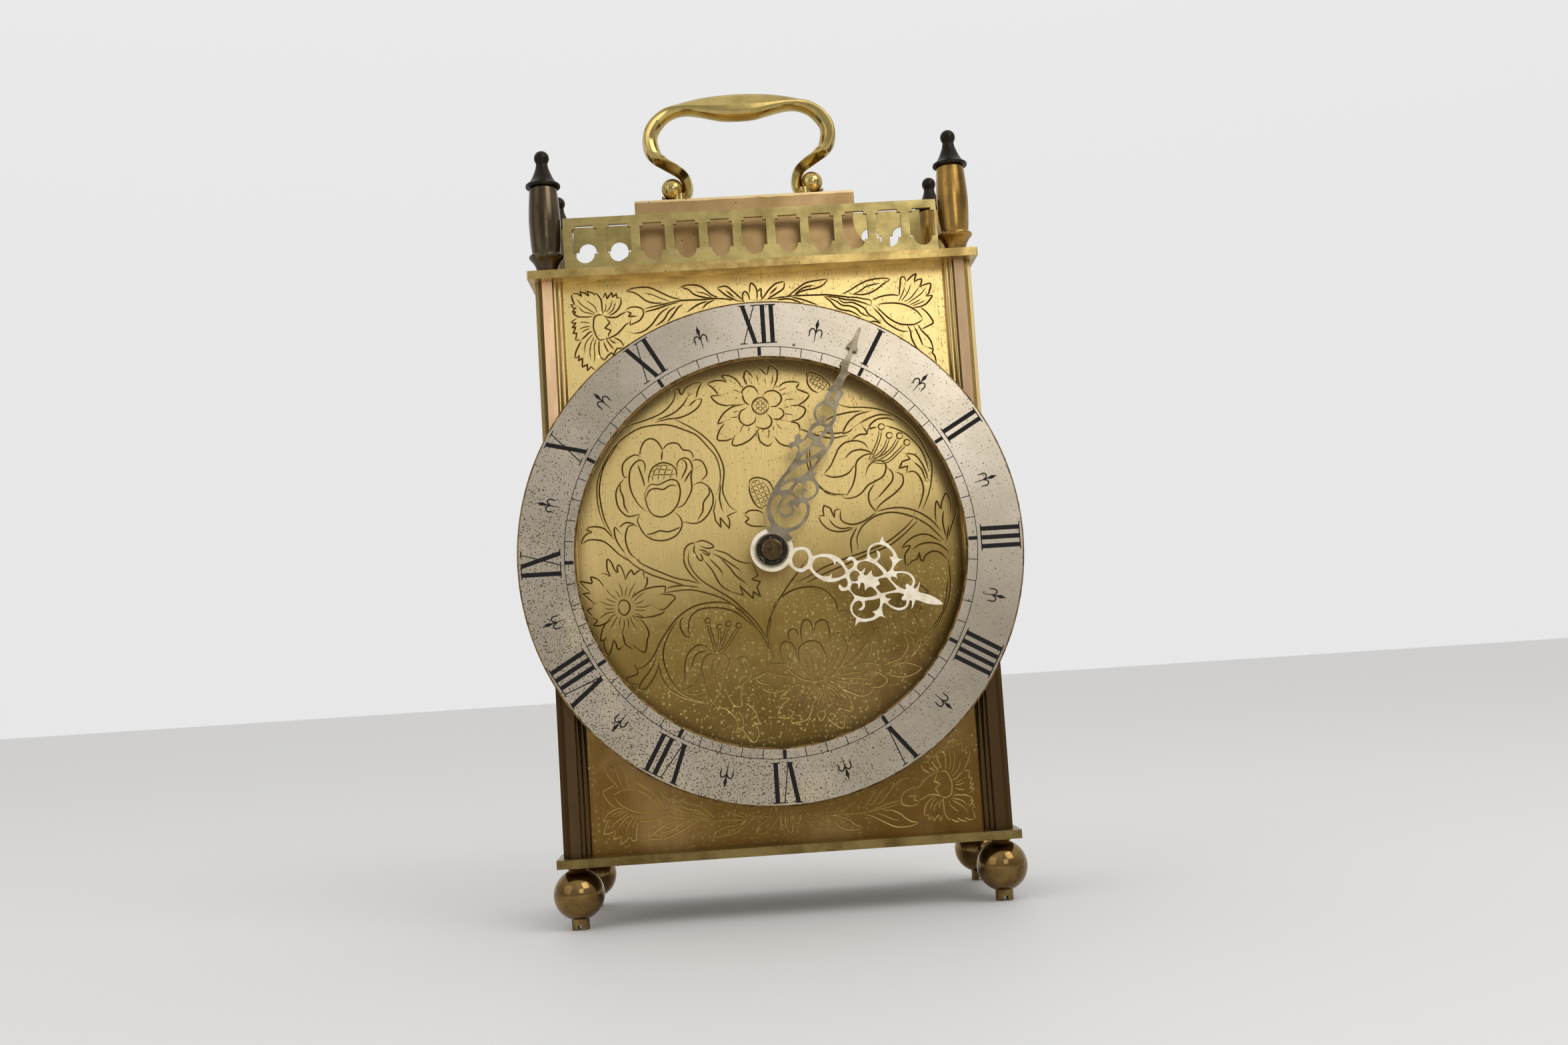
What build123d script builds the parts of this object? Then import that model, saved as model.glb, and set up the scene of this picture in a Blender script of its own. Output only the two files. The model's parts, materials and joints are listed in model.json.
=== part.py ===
"""Brass lantern clock, free standing, with a battery movement behind a chapter ring.

Frame: millimetres, +Z up, the front of the clock faces -Y. The origin is at the middle of
the clock's bounding box in X and Y, on the surface that the four feet stand on.
Angles about the hands' axis are counted clockwise from twelve, as on the dial.
"""
from build123d import *
import os
from math import atan2, cos, degrees, hypot, pi, radians, sin

# ---------------------------------------------------------------- case
PLATE_WIDTH = 127.2          # base and top plate, side to side
PLATE_DEPTH = 58.0           # base and top plate, front to back
PLATE_THICK = 2.4
PLATE_CORNER = 0.5           # small radius at the plates' corners
PILLAR_HEIGHT = 160.8        # between the two plates
SIDE_OVERHANG = 1.5          # plate edge beyond the pillars' side lands
FRONT_OVERHANG = 3.6         # plate edge beyond the pillars' front lands

# Pillar moulding, from its corner inwards
CORNER_STEP = 1.1            # each of the two steps at the outer corner
LAND_WIDTH = 2.85            # flat land on the front and on the side
STEP_DEPTH = 2.4             # from the front land back to the first bead
SIDE_STEP_DEPTH = 1.6        # from the side land in to the side bead
BEAD_RADIUS = 1.0
QUIRK = 0.3                  # narrow flat beside each bead
SLOT_BITE = 1.95             # how far a panel reaches into its slot
SLOT_SHIFT = 0.7             # from the second bead back to the dial slot
SLOT_LIP = 1.3               # pillar wall behind the dial plate
PILLAR_TAIL = 1.5            # the pillar's rear web, behind that wall
PANEL_FIT = 0.05             # clearance on each face of a panel in its slot
SIDE_PANEL_SET = 3.0         # from the side land in to the side slot
SIDE_PANEL_THICK = 1.0
SIDE_SLOT_WALL = 1.5         # pillar wall on the inner side of the side slot
SIDE_SLOT_DEEP = 2.8         # how far the side slot runs into the pillar
DIAL_PLATE_THICK = 1.2

# Tie rod, from the base nut to the finial cap
ROD_RADIUS = 1.1
ROD_FROM_SIDE = 3.65         # rod axis from the side land
ROD_FROM_FRONT = 2.9         # rod axis from the front land
ROD_HOLE_FIT = 0.05
ROD_SHORT_OF_FOOT = 0.6      # the rod ends this far above the standing surface
ROD_IN_CAP = 4.2             # length of rod inside the finial cap
ROD_TIP_GAP = 0.3            # from the rod's end to the bottom of the cap's bore

# Feet
FOOT_BALL_RADIUS = 7.0
FOOT_COLLAR_RADIUS = 4.0
FOOT_COLLAR_HEIGHT = 1.1
FOOT_NUT_RADIUS = 2.45
FOOT_NUT_PROUD = 2.0         # castellated nut below the ball
FOOT_NUT_SUNK = 3.0          # castellated nut inside the ball
FOOT_NUT_SLOT = 1.3
FOOT_NUT_FIT = 0.05

# Finials: a barrel with a cone and a ring at its foot, and a dark cap
FINIAL_NECK_RADIUS = 2.2
FINIAL_NECK_HEIGHT = 0.8
FINIAL_CONE_RADIUS = 2.7
FINIAL_RING_RADIUS = 4.88
FINIAL_RING_Z = 5.0
FINIAL_RING_THICK = 0.7
BARREL_FOOT_RADIUS = 4.0
BARREL_BELLY_RADIUS = 4.52
BARREL_TOP_RADIUS = 3.88
BARREL_FOOT_Z = 6.4
BARREL_HEIGHT = 25.4         # whole barrel piece, from the top plate
CAP_RIM_RADIUS = 4.93
CAP_RIM_THICK = 1.0
CAP_NECK_RADIUS = 1.75
CAP_NECK_Z = 6.4             # above the cap's underside
CAP_RIM_CHAMFER = 0.3
CAP_HOLLOW = 0.45            # how far the spire's side curves in from straight
CAP_WAIST_AT = 0.42          # where it does so, from the rim up to the neck
CAP_STEM_RADIUS = 1.2        # stem between the neck and the ball
CAP_BALL_RADIUS = 2.15
CAP_BALL_Z = 8.75            # ball centre above the cap's underside

# ---------------------------------------------------------------- galleries and hood
GALLERY_THICK = 1.2
GALLERY_RISE = 16.0          # above the top plate
GALLERY_SETBACK = 5.4        # front gallery's front face behind the plates' edge
GALLERY_END_GAP = 0.15       # between a gallery's end and the finial's ring
GALLERY_WINDOWS = 11
SIDE_GALLERY_WINDOWS = 3
WINDOW_PITCH = 9.65
WINDOW_WIDTH = 7.15
WINDOW_NECK = 5.3            # width of the top opening and of the round foot
WINDOW_FOOT_Z = 5.4          # spring of the round foot above the top plate
WINDOW_SHOULDER_Z = 12.7     # top of the full width
WINDOW_TOP_Z = 13.6
GALLERY_SHIFT = 0.9          # the windows stand a little off the strip's middle
REAR_GALLERY_BEHIND = 35.5   # rear gallery's front face behind the front one's
REAR_GALLERY_RISE = 23.2     # the rear gallery is turned over and stands taller
REAR_ARCH_TOP = 18.2         # crown of its arches above the top plate
TAB_WIDTH = 6.0
TAB_REACH = 41.0             # tab centres from the middle, front and rear
SIDE_TAB_REACH = 10.0        # tab centres from the middle, at the sides
TAB_FIT = 0.1

HOOD_SHIFT = -1.05           # hood and handle sit a little to the left
HOOD_TOP_HALF = 31.9
HOOD_FOOT_HALF = 41.8
HOOD_RISE = 22.2             # hood top above the top plate
HOOD_STRAIGHT = 5.2          # upright part of the hood's sides below its top
HOOD_LIP = 4.2               # upright lip at the hood's foot
HOOD_SWEEP = 0.29            # sag of the side curve as a share of its chord
HOOD_WALL = 0.9
HOOD_FRONT_GAP = 6.4         # hood front behind the front gallery's back face

# ---------------------------------------------------------------- carrying handle
HANDLE_THICK = 6.4           # front to back
HANDLE_EDGE = 1.1            # bevel along its edges
HANDLE_EDGE_SHARE = 0.6      # most of the half width that the bevel takes
HANDLE_SPINE = [             # x, height above the hood, width across: half of the handle
    (0.0, 31.3, 8.5), (6.0, 31.5, 7.7), (11.4, 31.8, 5.9), (16.4, 31.45, 4.1),
    (20.9, 29.95, 4.1), (24.7, 27.2, 4.3), (26.7, 23.8, 4.9), (26.8, 20.7, 4.9),
    (25.5, 17.5, 4.1), (22.5, 14.8, 3.5), (19.4, 12.2, 3.1), (17.3, 10.0, 3.1),
    (16.2, 7.5, 3.1), (16.9, 4.9, 2.8), (19.0, 3.2, 2.3), (21.4, 3.0, 1.8)]
VOLUTE_X = 20.9
VOLUTE_Z = 7.15
VOLUTE_RADIUS = 3.35
BOSS_RADIUS = 2.6
BOSS_X = 18.6
BOSS_ROOF = 1.2              # metal over the screw's end
HANDLE_SCREW_RADIUS = 1.2
HANDLE_SCREW_FIT = 0.05
HANDLE_SCREW_DEEP = 2.6      # thread inside the handle's boss
SCREW_HEAD_RADIUS = 2.4
SCREW_HEAD_THICK = 1.6

# ---------------------------------------------------------------- dial and hands
DIAL_AXIS_RISE = 80.5        # hands' axis above the base plate's top
RING_RADIUS = 70.0
RING_WIDTH = 16.1
RING_THICK = 2.0
RING_PROUD = 2.0             # ring face in front of the plates' edge
RING_CHAMFER = 0.4
POST_RADIUS = 2.0
POST_CIRCLE = 61.0           # ring posts' distance from the hands' axis
POST_ANGLES = (45, 135, 225, 315)
DIAL_HOLE_RADIUS = 4.2
HAND_GAP = 1.6               # ring face to the minute hand's back
MINUTE_HAND_THICK = 0.5
HOUR_HAND_THICK = 0.6
HAND_SPACE = 0.8             # between the two hands
MINUTE_ANGLE = 25.2          # clockwise from twelve
HOUR_ANGLE = 111.0

# A hand pointing at twelve. Rings: place right, place up, outer and inner radius.
# Ribbons: stations of place up, place right and half width. Barbs: corner points.
HOUR_BOSS_RADIUS = 5.95
HOUR_LENGTH = 49.5
HOUR_RINGS = [
    (0.0, 8.3, 3.4, 2.4), (-6.6, 29.6, 4.3, 3.3), (6.6, 29.6, 4.3, 3.3),
    (-2.6, 35.2, 2.9, 2.1), (2.6, 35.2, 2.9, 2.1), (-3.0, 24.0, 2.3, 1.5), (3.0, 24.0, 2.3, 1.5)]
HOUR_OVAL_UP = 16.3
HOUR_OVAL = (3.9, 5.2)       # half width and half height
HOUR_OVAL_WALL = 1.1
HOUR_STEM = [(20.8, 0, 0.9), (24.5, 0, 0.9), (26.0, 0, 2.0), (30.0, 0, 2.0), (32.0, 0, 0.8),
             (38.5, 0, 0.8), (40.0, 0, 2.2), (41.5, 0, 1.2), (44.0, 0, 1.45)]
HOUR_BARBS = [[(9.6, 26.4), (12.8, 28.2), (10.0, 28.6)], [(7.6, 33.2), (8.4, 35.4), (9.4, 32.2)]]

MINUTE_BOSS_RADIUS = 4.7
MINUTE_LENGTH = 66.8
MINUTE_RINGS = [(0.0, 12.5, 6.0, 4.9), (0.0, 35.6, 2.6, 1.7), (0.0, 41.2, 3.1, 2.2)]
MINUTE_ROOT = [(3.0, 0, 3.4), (5.4, 0, 3.4), (7.4, 0, 2.0)]
MINUTE_BODY = [(17.2, -1.5, 2.6), (19.5, 0.6, 4.4), (22.0, 1.6, 4.4), (25.0, 0.2, 2.6),
               (28.5, -1.4, 2.6), (31.5, -1.0, 3.2), (33.8, 0, 2.6)]
MINUTE_PIERCINGS = [(3.0, 21.0, 1.7), (-0.6, 19.6, 1.1), (-1.6, 30.8, 1.3)]
MINUTE_SHAFT = [(43.8, 0, 1.6), (45.0, 0, 1.9), (48.2, 0, 1.9), (48.8, 0, 1.4), (56.0, 0, 0.9),
                (60.0, 0, 0.65), (60.8, 0, 1.8), (62.6, 0, 1.2)]
MINUTE_SLOT_UP = 46.3
MINUTE_SLOT = (0.5, 1.4)     # half width and half height
TIP_HALF = 0.1               # half width of a hand's tip

# Hand nut's outline: radius, height above the minute hand
NUT_PROFILE = [(4.25, 0.0), (4.25, 0.8), (3.15, 0.8), (2.85, 1.65), (0.8, 3.6)]
NUT_BORE_SPARE = 0.5         # thread depth beyond the cannon tube's end
CANNON_IN_NUT = 0.8          # cannon tube in front of the minute hand

# ---------------------------------------------------------------- rear door
DOOR_THICK = 2.0
DOOR_INSET = 0.2             # door face below the rear lands
DOOR_SIDE_GAP = 0.3
DOOR_END_GAP = 0.4
DOOR_PIN_RADIUS = 0.6
DOOR_PIN_REACH = 1.4         # pin beyond the door's end, into the plate
DOOR_PIN_FIT = 0.06
# Pull knob's outline: radius, height above the door
KNOB_PROFILE = [(2.5, 0.0), (2.5, 0.6), (1.7, 1.2), (1.7, 3.4), (3.6, 3.8), (4.0, 4.6), (3.7, 6.5),
                (2.4, 7.5)]
KNOB_FROM_EDGE = 9.0
CATCH_WIDTH = 8.0
CATCH_THICK = 0.6
CATCH_LENGTH = 9.0

# ---------------------------------------------------------------- movement
MOVEMENT_GAP = 6.8           # dial plate's back to the movement's front plate
FRAME_PLATE_THICK = 1.5
FRAME_PLATE_GAP = 14.0       # between the two movement plates
FRAME_LEFT = 26.0
FRAME_RIGHT = 28.0
FRAME_TOP = 30.0
FRAME_BOTTOM = 29.0
FRAME_PILLAR_RADIUS = 2.0
FRAME_PILLAR_X = 23.0
FRAME_PILLAR_Z = 26.0
DIAL_POST_X = 20.0
DIAL_POST_Z = 22.0
ARBOR_RADIUS = 0.6
CENTRE_ARBOR_RADIUS = 1.0
PIVOT_FIT = 0.06             # radial, for every running arbor
WHEEL_THICK = 1.0
PINION_LENGTH = 2.0
FIRST_PLANE = 1.2            # front plate's back to the centre wheel
PLANE_STEP = 3.2             # from one train wheel to the next
HOUR_WHEEL_GAP = 1.0         # dial plate's back to the hour wheel
MINUTE_PINION_GAP = 0.6      # dial plate's back to the minute pinion
MINUTE_WHEEL_GAP = 2.4       # front plate to the minute wheel's back
MINUTE_STUD_RADIUS = 0.8
MINUTE_HUB_RADIUS = 1.6
END_SHAKE = 0.3              # axial play of the running pieces

CANNON_TEETH = 12
MINUTE_TEETH = 36
MINUTE_PINION_TEETH = 12
HOUR_TEETH = 48
MOTION_MODULE = 0.5
CENTRE_TEETH = 80
THIRD_TEETH = 75
FOURTH_TEETH = 60
TRAIN_PINION_TEETH = 10
TRAIN_MODULE = 0.3
ESCAPE_TEETH = 20
ESCAPE_RADIUS = 5.0
ESCAPE_TOOTH = ((0.0, 1.0), (0.17, 1.0), (0.33, 0.78), (0.72, 0.78))  # shares of pitch, radius
TOOTH_TIP = 0.40             # half width of a tooth's tip, as a share of half a pitch
TOOTH_ROOT = 1.08            # half width of its root
ADDENDUM = 0.85              # in modules
DEDENDUM = 1.25
CROSSING_COUNT = 4           # lightening holes in a train wheel
CROSSING_AT = 0.56           # their centres, as a share of the pitch radius
CROSSING_RADIUS = 0.26       # as a share of the pitch radius

THIRD_BEARING = 150.0        # direction from the centre arbor, from +X towards +Z
FOURTH_BEARING = 60.0        # direction from the third arbor
ESCAPE_BEARING = 0.0         # direction from the fourth arbor
LEVER_BEARING = -20.0        # direction from the escape arbor
LEVER_DISTANCE = 8.2
BALANCE_BEARING = -70.0      # direction from the lever's pivot
BALANCE_DISTANCE = 9.0
LEVER_HUB_RADIUS = 1.5
LEVER_ARM = 1.6              # width of the arm towards the escape wheel
LEVER_CLEAR = 0.4            # from the escape wheel's tips
FORK_ARM = 1.3               # width of the arm towards the balance
FORK_NOTCH = 0.5
FORK_DEEP = 0.8
FORK_CLEAR = 0.35            # from the balance roller
BALANCE_RADIUS = 8.0
BALANCE_RIM = 1.3
BALANCE_THICK = 1.4
BALANCE_SPOKE = 1.2
BALANCE_HUB_RADIUS = 1.6
BALANCE_TURN = 35.0          # angle of its spokes at rest
HAIRSPRING_TURNS = 4
HAIRSPRING_RADIUS = 4.6
HAIRSPRING_WIRE = 0.25
HAIRSPRING_BAND = 0.8
HAIRSPRING_STEPS = 16        # points in one turn
HAIRSPRING_UNDER = 1.0       # cock to the hairspring
COLLET_GAP = 1.2             # inner end of the hairspring from the staff's axis
BALANCE_GAP = 2.0            # back plate to the balance wheel
ROLLER_RADIUS = 1.2
COCK_GAP = 6.5               # back plate to the balance cock
COCK_THICK = 1.5
COCK_WIDTH = 5.0
COCK_FOOT_X = 20.0
COCK_FOOT_Z = -8.0
COCK_BOSS_RADIUS = 2.0
COCK_BOSS = 1.0
STUD_RADIUS = 0.45           # hairspring stud under the cock
STUD_ARM = 1.6               # width of the cock's arm to the stud
COIL_X = 18.0
COIL_Z = 20.0
COIL_RADIUS = 5.0
COIL_LENGTH = 8.0
COIL_FLANGE = 0.8
COIL_FLANGE_STEP = 0.6       # flange radius beyond the winding
CANNON_RADIUS = 1.95
CANNON_BORE_FIT = 0.05
HOUR_PIPE_RADIUS = 2.8
HOUR_PIPE_FIT = 0.08         # radial, hour pipe over the cannon tube
HOUR_SHOULDER_RADIUS = 3.6
HOUR_SHOULDER = 1.0
SET_KNOB_RADIUS = 7.0
SET_KNOB_KNURLS = 24
SET_KNOB_THICK = 5.0
SET_ARBOR_RADIUS = 1.0
SET_KNOB_GAP = 3.0           # back plate to the setting knob
RATING_LEVER_LENGTH = 11.0
RATING_LEVER_THICK = 0.8
RATING_RING_WALL = 1.5
RATING_POINTER = (1.0, 0.5)  # half width at the ring and at the tip

BATTERY_RADIUS = 13.1
BATTERY_LENGTH = 50.0
BATTERY_NUB_RADIUS = 3.0
BATTERY_NUB = 1.5
BATTERY_X = 42.0
TRAY_THICK = 1.2
TRAY_CLEAR = 0.3
TRAY_OVERLAP = 3.5           # tray over the movement's front plate
TRAY_LIP = 22.0              # front to back
TRAY_MARGIN = 1.0
CONTACT_SPRING = 1.8
CONTACT_SPRING_RADIUS = 5.0
CONTACT_SPRING_WIRE = 1.0
CONTACT_PLATE = 0.5
CONTACT_PLATE_RADIUS = 3.6

CUT = 1.0                    # how far a cutting solid runs past what it cuts

# ---------------------------------------------------------------- places worked out
HALF_W = PLATE_WIDTH / 2
HALF_D = PLATE_DEPTH / 2
BASE_BOTTOM = FOOT_NUT_PROUD + 2 * FOOT_BALL_RADIUS + FOOT_COLLAR_HEIGHT
BASE_TOP = BASE_BOTTOM + PLATE_THICK
TOP_BOTTOM = BASE_TOP + PILLAR_HEIGHT
TOP_TOP = TOP_BOTTOM + PLATE_THICK
AXIS_Z = BASE_TOP + DIAL_AXIS_RISE
SIDE_LAND = HALF_W - SIDE_OVERHANG
FRONT_LAND = HALF_D - FRONT_OVERHANG
ROD_X = SIDE_LAND - ROD_FROM_SIDE
ROD_Y = FRONT_LAND - ROD_FROM_FRONT
ROD_HOLE = ROD_RADIUS + ROD_HOLE_FIT

BEAD_ONE_U = 2 * CORNER_STEP + LAND_WIDTH + QUIRK
BEAD_TWO_U = BEAD_ONE_U + BEAD_RADIUS + QUIRK
BEAD_TWO_V = STEP_DEPTH + BEAD_RADIUS + QUIRK
PILLAR_INNER = BEAD_TWO_U + BEAD_RADIUS
SLOT_V = BEAD_TWO_V + BEAD_RADIUS + SLOT_SHIFT
SLOT_WIDE = DIAL_PLATE_THICK + 2 * PANEL_FIT
SIDE_SLOT_WIDE = SIDE_PANEL_THICK + 2 * PANEL_FIT
PILLAR_DEEP = SLOT_V + SLOT_WIDE + SLOT_LIP + PILLAR_TAIL

DIAL_FACE = -(FRONT_LAND - SLOT_V - PANEL_FIT)
DIAL_BACK = DIAL_FACE + DIAL_PLATE_THICK
RING_FACE = -(HALF_D + RING_PROUD)
RING_BACK = RING_FACE + RING_THICK
MINUTE_BACK = RING_FACE - HAND_GAP
MINUTE_FACE = MINUTE_BACK - MINUTE_HAND_THICK
HOUR_FACE = MINUTE_BACK + HAND_SPACE
HOUR_BACK = HOUR_FACE + HOUR_HAND_THICK
NUT_TIP = MINUTE_FACE - NUT_PROFILE[-1][1]

DOOR_FACE = FRONT_LAND - DOOR_INSET
DOOR_BACK = DOOR_FACE - DOOR_THICK
DOOR_HALF = SIDE_LAND - 2 * CORNER_STEP - LAND_WIDTH - DOOR_SIDE_GAP
HINGE_X = DOOR_HALF - DOOR_THICK / 2
HINGE_Y = (DOOR_FACE + DOOR_BACK) / 2

GALLERY_FACE = -(HALF_D - GALLERY_SETBACK)
REAR_GALLERY_FACE = GALLERY_FACE + REAR_GALLERY_BEHIND
GALLERY_HALF = ROD_X - FINIAL_RING_RADIUS - GALLERY_END_GAP
HOOD_FRONT = GALLERY_FACE + GALLERY_THICK + HOOD_FRONT_GAP
HOOD_BACK = REAR_GALLERY_FACE
HOOD_TOP = TOP_TOP + HOOD_RISE
HANDLE_Y = (HOOD_FRONT + HOOD_BACK) / 2

FRAME_FRONT = DIAL_BACK + MOVEMENT_GAP
FRAME_FRONT_BACK = FRAME_FRONT + FRAME_PLATE_THICK
FRAME_REAR = FRAME_FRONT_BACK + FRAME_PLATE_GAP
FRAME_REAR_BACK = FRAME_REAR + FRAME_PLATE_THICK

MOTION_DISTANCE = MOTION_MODULE * (CANNON_TEETH + MINUTE_TEETH) / 2
HOUR_MODULE = 2 * MOTION_DISTANCE / (MINUTE_PINION_TEETH + HOUR_TEETH)
THIRD_DISTANCE = TRAIN_MODULE * (CENTRE_TEETH + TRAIN_PINION_TEETH) / 2
FOURTH_DISTANCE = TRAIN_MODULE * (THIRD_TEETH + TRAIN_PINION_TEETH) / 2
ESCAPE_DISTANCE = TRAIN_MODULE * (FOURTH_TEETH + TRAIN_PINION_TEETH) / 2

# The origin is midway between the hand nut's tip and the door knob's end.
KNOB_END = DOOR_FACE + KNOB_PROFILE[-1][1]
CASE_Y = (-NUT_TIP - KNOB_END) / 2


# ---------------------------------------------------------------- drawing helpers
def across(sketch, front, back):
    """Solid from a sketch in X and Z, between two places in Y."""
    return extrude(Plane.XZ.offset(-back) * sketch, amount=back - front)


def upright(sketch, low, high):
    """Solid from a sketch in X and Y, between two heights."""
    return extrude(Plane.XY.offset(low) * sketch, amount=high - low)


def polygon(points):
    return make_face(Polyline(*points, close=True))


def block(x_low, x_high, y_low, y_high, z_low, z_high):
    size = (x_high - x_low, y_high - y_low, z_high - z_low)
    middle = ((x_low + x_high) / 2, (y_low + y_high) / 2, (z_low + z_high) / 2)
    return Pos(*middle) * Box(*size)


def rod_z(radius, x, y, low, high):
    return Pos(x, y, (low + high) / 2) * Cylinder(radius, high - low)


def rod_y(radius, x, z, front, back):
    return across(Pos(x, z) * Circle(radius), front, back)


def turned(*edges):
    """Solid of revolution about Z from a closed chain of edges in X and Z."""
    chain = Curve() + list(edges)
    return revolve(make_face(chain), axis=Axis.Z)


def point(radius, height):
    return (radius, 0, height)


def corners():
    """The four corners: a name, the side's sign and the depth's sign."""
    for depth_name, sy in (("front", -1), ("rear", 1)):
        for side_name, sx in (("left", -1), ("right", 1)):
            yield f"{depth_name}_{side_name}", sx, sy


def bearing(angle, distance):
    """Offset in X and Z at an angle from +X towards +Z."""
    return distance * cos(radians(angle)), distance * sin(radians(angle))


PARTS = {}


def keep(name, solid):
    """Store a finished piece, moved so that the origin is the box's middle in Y."""
    PARTS[name] = Pos(0, CASE_Y, 0) * solid


# ---------------------------------------------------------------- plates and pillars
GALLERY_MIDDLE_Y = GALLERY_FACE + GALLERY_THICK / 2
REAR_GALLERY_MIDDLE_Y = REAR_GALLERY_FACE + GALLERY_THICK / 2


def plate(low, high):
    """A case plate with its rod holes and the door's pin hole."""
    solid = upright(RectangleRounded(PLATE_WIDTH, PLATE_DEPTH, PLATE_CORNER), low, high)
    for _, sx, sy in corners():
        solid -= rod_z(ROD_HOLE, sx * ROD_X, sy * ROD_Y, low - CUT, high + CUT)
    return solid - rod_z(DOOR_PIN_RADIUS + DOOR_PIN_FIT, HINGE_X, HINGE_Y, low - CUT, high + CUT)


def tab_slots():
    """The slots of the gallery tabs in the top plate."""
    long = TAB_WIDTH + 2 * TAB_FIT
    short = GALLERY_THICK + 2 * TAB_FIT
    for y in (GALLERY_MIDDLE_Y, REAR_GALLERY_MIDDLE_Y):
        for x in (-TAB_REACH, TAB_REACH):
            yield Pos(x, y) * Rectangle(long, short)
    for x in (-ROD_X, ROD_X):
        for y in (-SIDE_TAB_REACH, SIDE_TAB_REACH):
            yield Pos(x, y) * Rectangle(short, long)


def top_plate():
    solid = plate(TOP_BOTTOM, TOP_TOP)
    for slot in tab_slots():
        solid -= upright(slot, TOP_BOTTOM - CUT, TOP_TOP + CUT)
    return solid


def pillar(sx, sy):
    """A moulded corner pillar: stepped corner, two lands, beads and two panel slots."""
    def place(u, v):
        return (sx * (SIDE_LAND - u), sy * (FRONT_LAND - v))

    def quarter(u, v, lean):
        """A bead from (u, v) to one radius further in and back."""
        r = BEAD_RADIUS
        low, high = r * (1 - cos(pi / 4)), r * sin(pi / 4)
        mid = (u + high, v + low) if lean == "front" else (u + low, v + high)
        return ThreePointArc(place(u, v), place(*mid), place(u + r, v + r))

    c = CORNER_STEP
    land_end = 2 * c + LAND_WIDTH
    side_bead_v = land_end + QUIRK
    side_end = SIDE_STEP_DEPTH + BEAD_RADIUS
    slot_back = SLOT_V + SLOT_WIDE
    slot_floor = PILLAR_INNER - SLOT_BITE
    side_slot_inner = SIDE_PANEL_SET + SIDE_SLOT_WIDE
    web = side_slot_inner + SIDE_SLOT_WALL
    side_slot_v = PILLAR_DEEP - SIDE_SLOT_DEEP
    run_one = [(side_end, side_bead_v + BEAD_RADIUS), (side_end, PILLAR_DEEP),
               (SIDE_PANEL_SET, PILLAR_DEEP), (SIDE_PANEL_SET, side_slot_v),
               (side_slot_inner, side_slot_v), (side_slot_inner, PILLAR_DEEP),
               (web, PILLAR_DEEP), (web, slot_back + SLOT_LIP),
               (PILLAR_INNER, slot_back + SLOT_LIP), (PILLAR_INNER, slot_back),
               (slot_floor, slot_back), (slot_floor, SLOT_V), (PILLAR_INNER, SLOT_V),
               (PILLAR_INNER, BEAD_TWO_V + BEAD_RADIUS)]
    run_two = [(BEAD_TWO_U, BEAD_TWO_V), (BEAD_ONE_U + BEAD_RADIUS, BEAD_TWO_V),
               (BEAD_ONE_U + BEAD_RADIUS, STEP_DEPTH + BEAD_RADIUS)]
    run_three = [(BEAD_ONE_U, STEP_DEPTH), (land_end, STEP_DEPTH), (land_end, 0),
                 (2 * c, 0), (2 * c, c), (c, c), (c, 2 * c), (0, 2 * c), (0, land_end),
                 (SIDE_STEP_DEPTH, land_end), (SIDE_STEP_DEPTH, side_bead_v)]
    chain = Curve() + [
        Polyline(*[place(*p) for p in run_one]),
        quarter(BEAD_TWO_U, BEAD_TWO_V, "front"),
        Polyline(*[place(*p) for p in run_two]),
        quarter(BEAD_ONE_U, STEP_DEPTH, "front"),
        Polyline(*[place(*p) for p in run_three]),
        quarter(SIDE_STEP_DEPTH, side_bead_v, "side")]
    solid = upright(make_face(chain), BASE_TOP, TOP_BOTTOM)
    return solid - rod_z(ROD_HOLE, sx * ROD_X, sy * ROD_Y, BASE_TOP - CUT, TOP_BOTTOM + CUT)


def tie_rods():
    low, high = ROD_SHORT_OF_FOOT, TOP_TOP + BARREL_HEIGHT + ROD_IN_CAP
    return Part() + [rod_z(ROD_RADIUS, sx * ROD_X, sy * ROD_Y, low, high)
                     for _, sx, sy in corners()]


def side_panel(sx):
    outer = SIDE_LAND - SIDE_PANEL_SET - PANEL_FIT
    inner = outer - SIDE_PANEL_THICK
    reach = FRONT_LAND - (PILLAR_DEEP - SIDE_SLOT_DEEP) - 2 * PANEL_FIT
    low, high = sorted((sx * inner, sx * outer))
    return block(low, high, -reach, reach, BASE_TOP, TOP_BOTTOM)


# ---------------------------------------------------------------- feet and finials
def foot_ball():
    """A ball foot with its collar, bored for the tie rod and the castellated nut."""
    low, high = FOOT_NUT_PROUD, BASE_BOTTOM
    solid = Pos(0, 0, low + FOOT_BALL_RADIUS) * Sphere(FOOT_BALL_RADIUS)
    solid += rod_z(FOOT_COLLAR_RADIUS, 0, 0, high - FOOT_COLLAR_HEIGHT - FOOT_BALL_RADIUS / 4, high)
    solid -= rod_z(ROD_HOLE, 0, 0, low - CUT, high + CUT)
    return solid - rod_z(FOOT_NUT_RADIUS + FOOT_NUT_FIT, 0, 0, low - CUT, low + FOOT_NUT_SUNK)


def foot_nut():
    """A castellated nut: a threaded sleeve with a cross slot in its lower end."""
    top = FOOT_NUT_PROUD + FOOT_NUT_SUNK
    solid = rod_z(FOOT_NUT_RADIUS, 0, 0, 0, top)
    solid -= rod_z(ROD_HOLE, 0, 0, -CUT, top + CUT)
    reach = 2 * FOOT_NUT_RADIUS
    for long, wide in ((reach, FOOT_NUT_SLOT), (FOOT_NUT_SLOT, reach)):
        solid -= Box(long, wide, 2 * FOOT_NUT_SLOT)
    return solid


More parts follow.
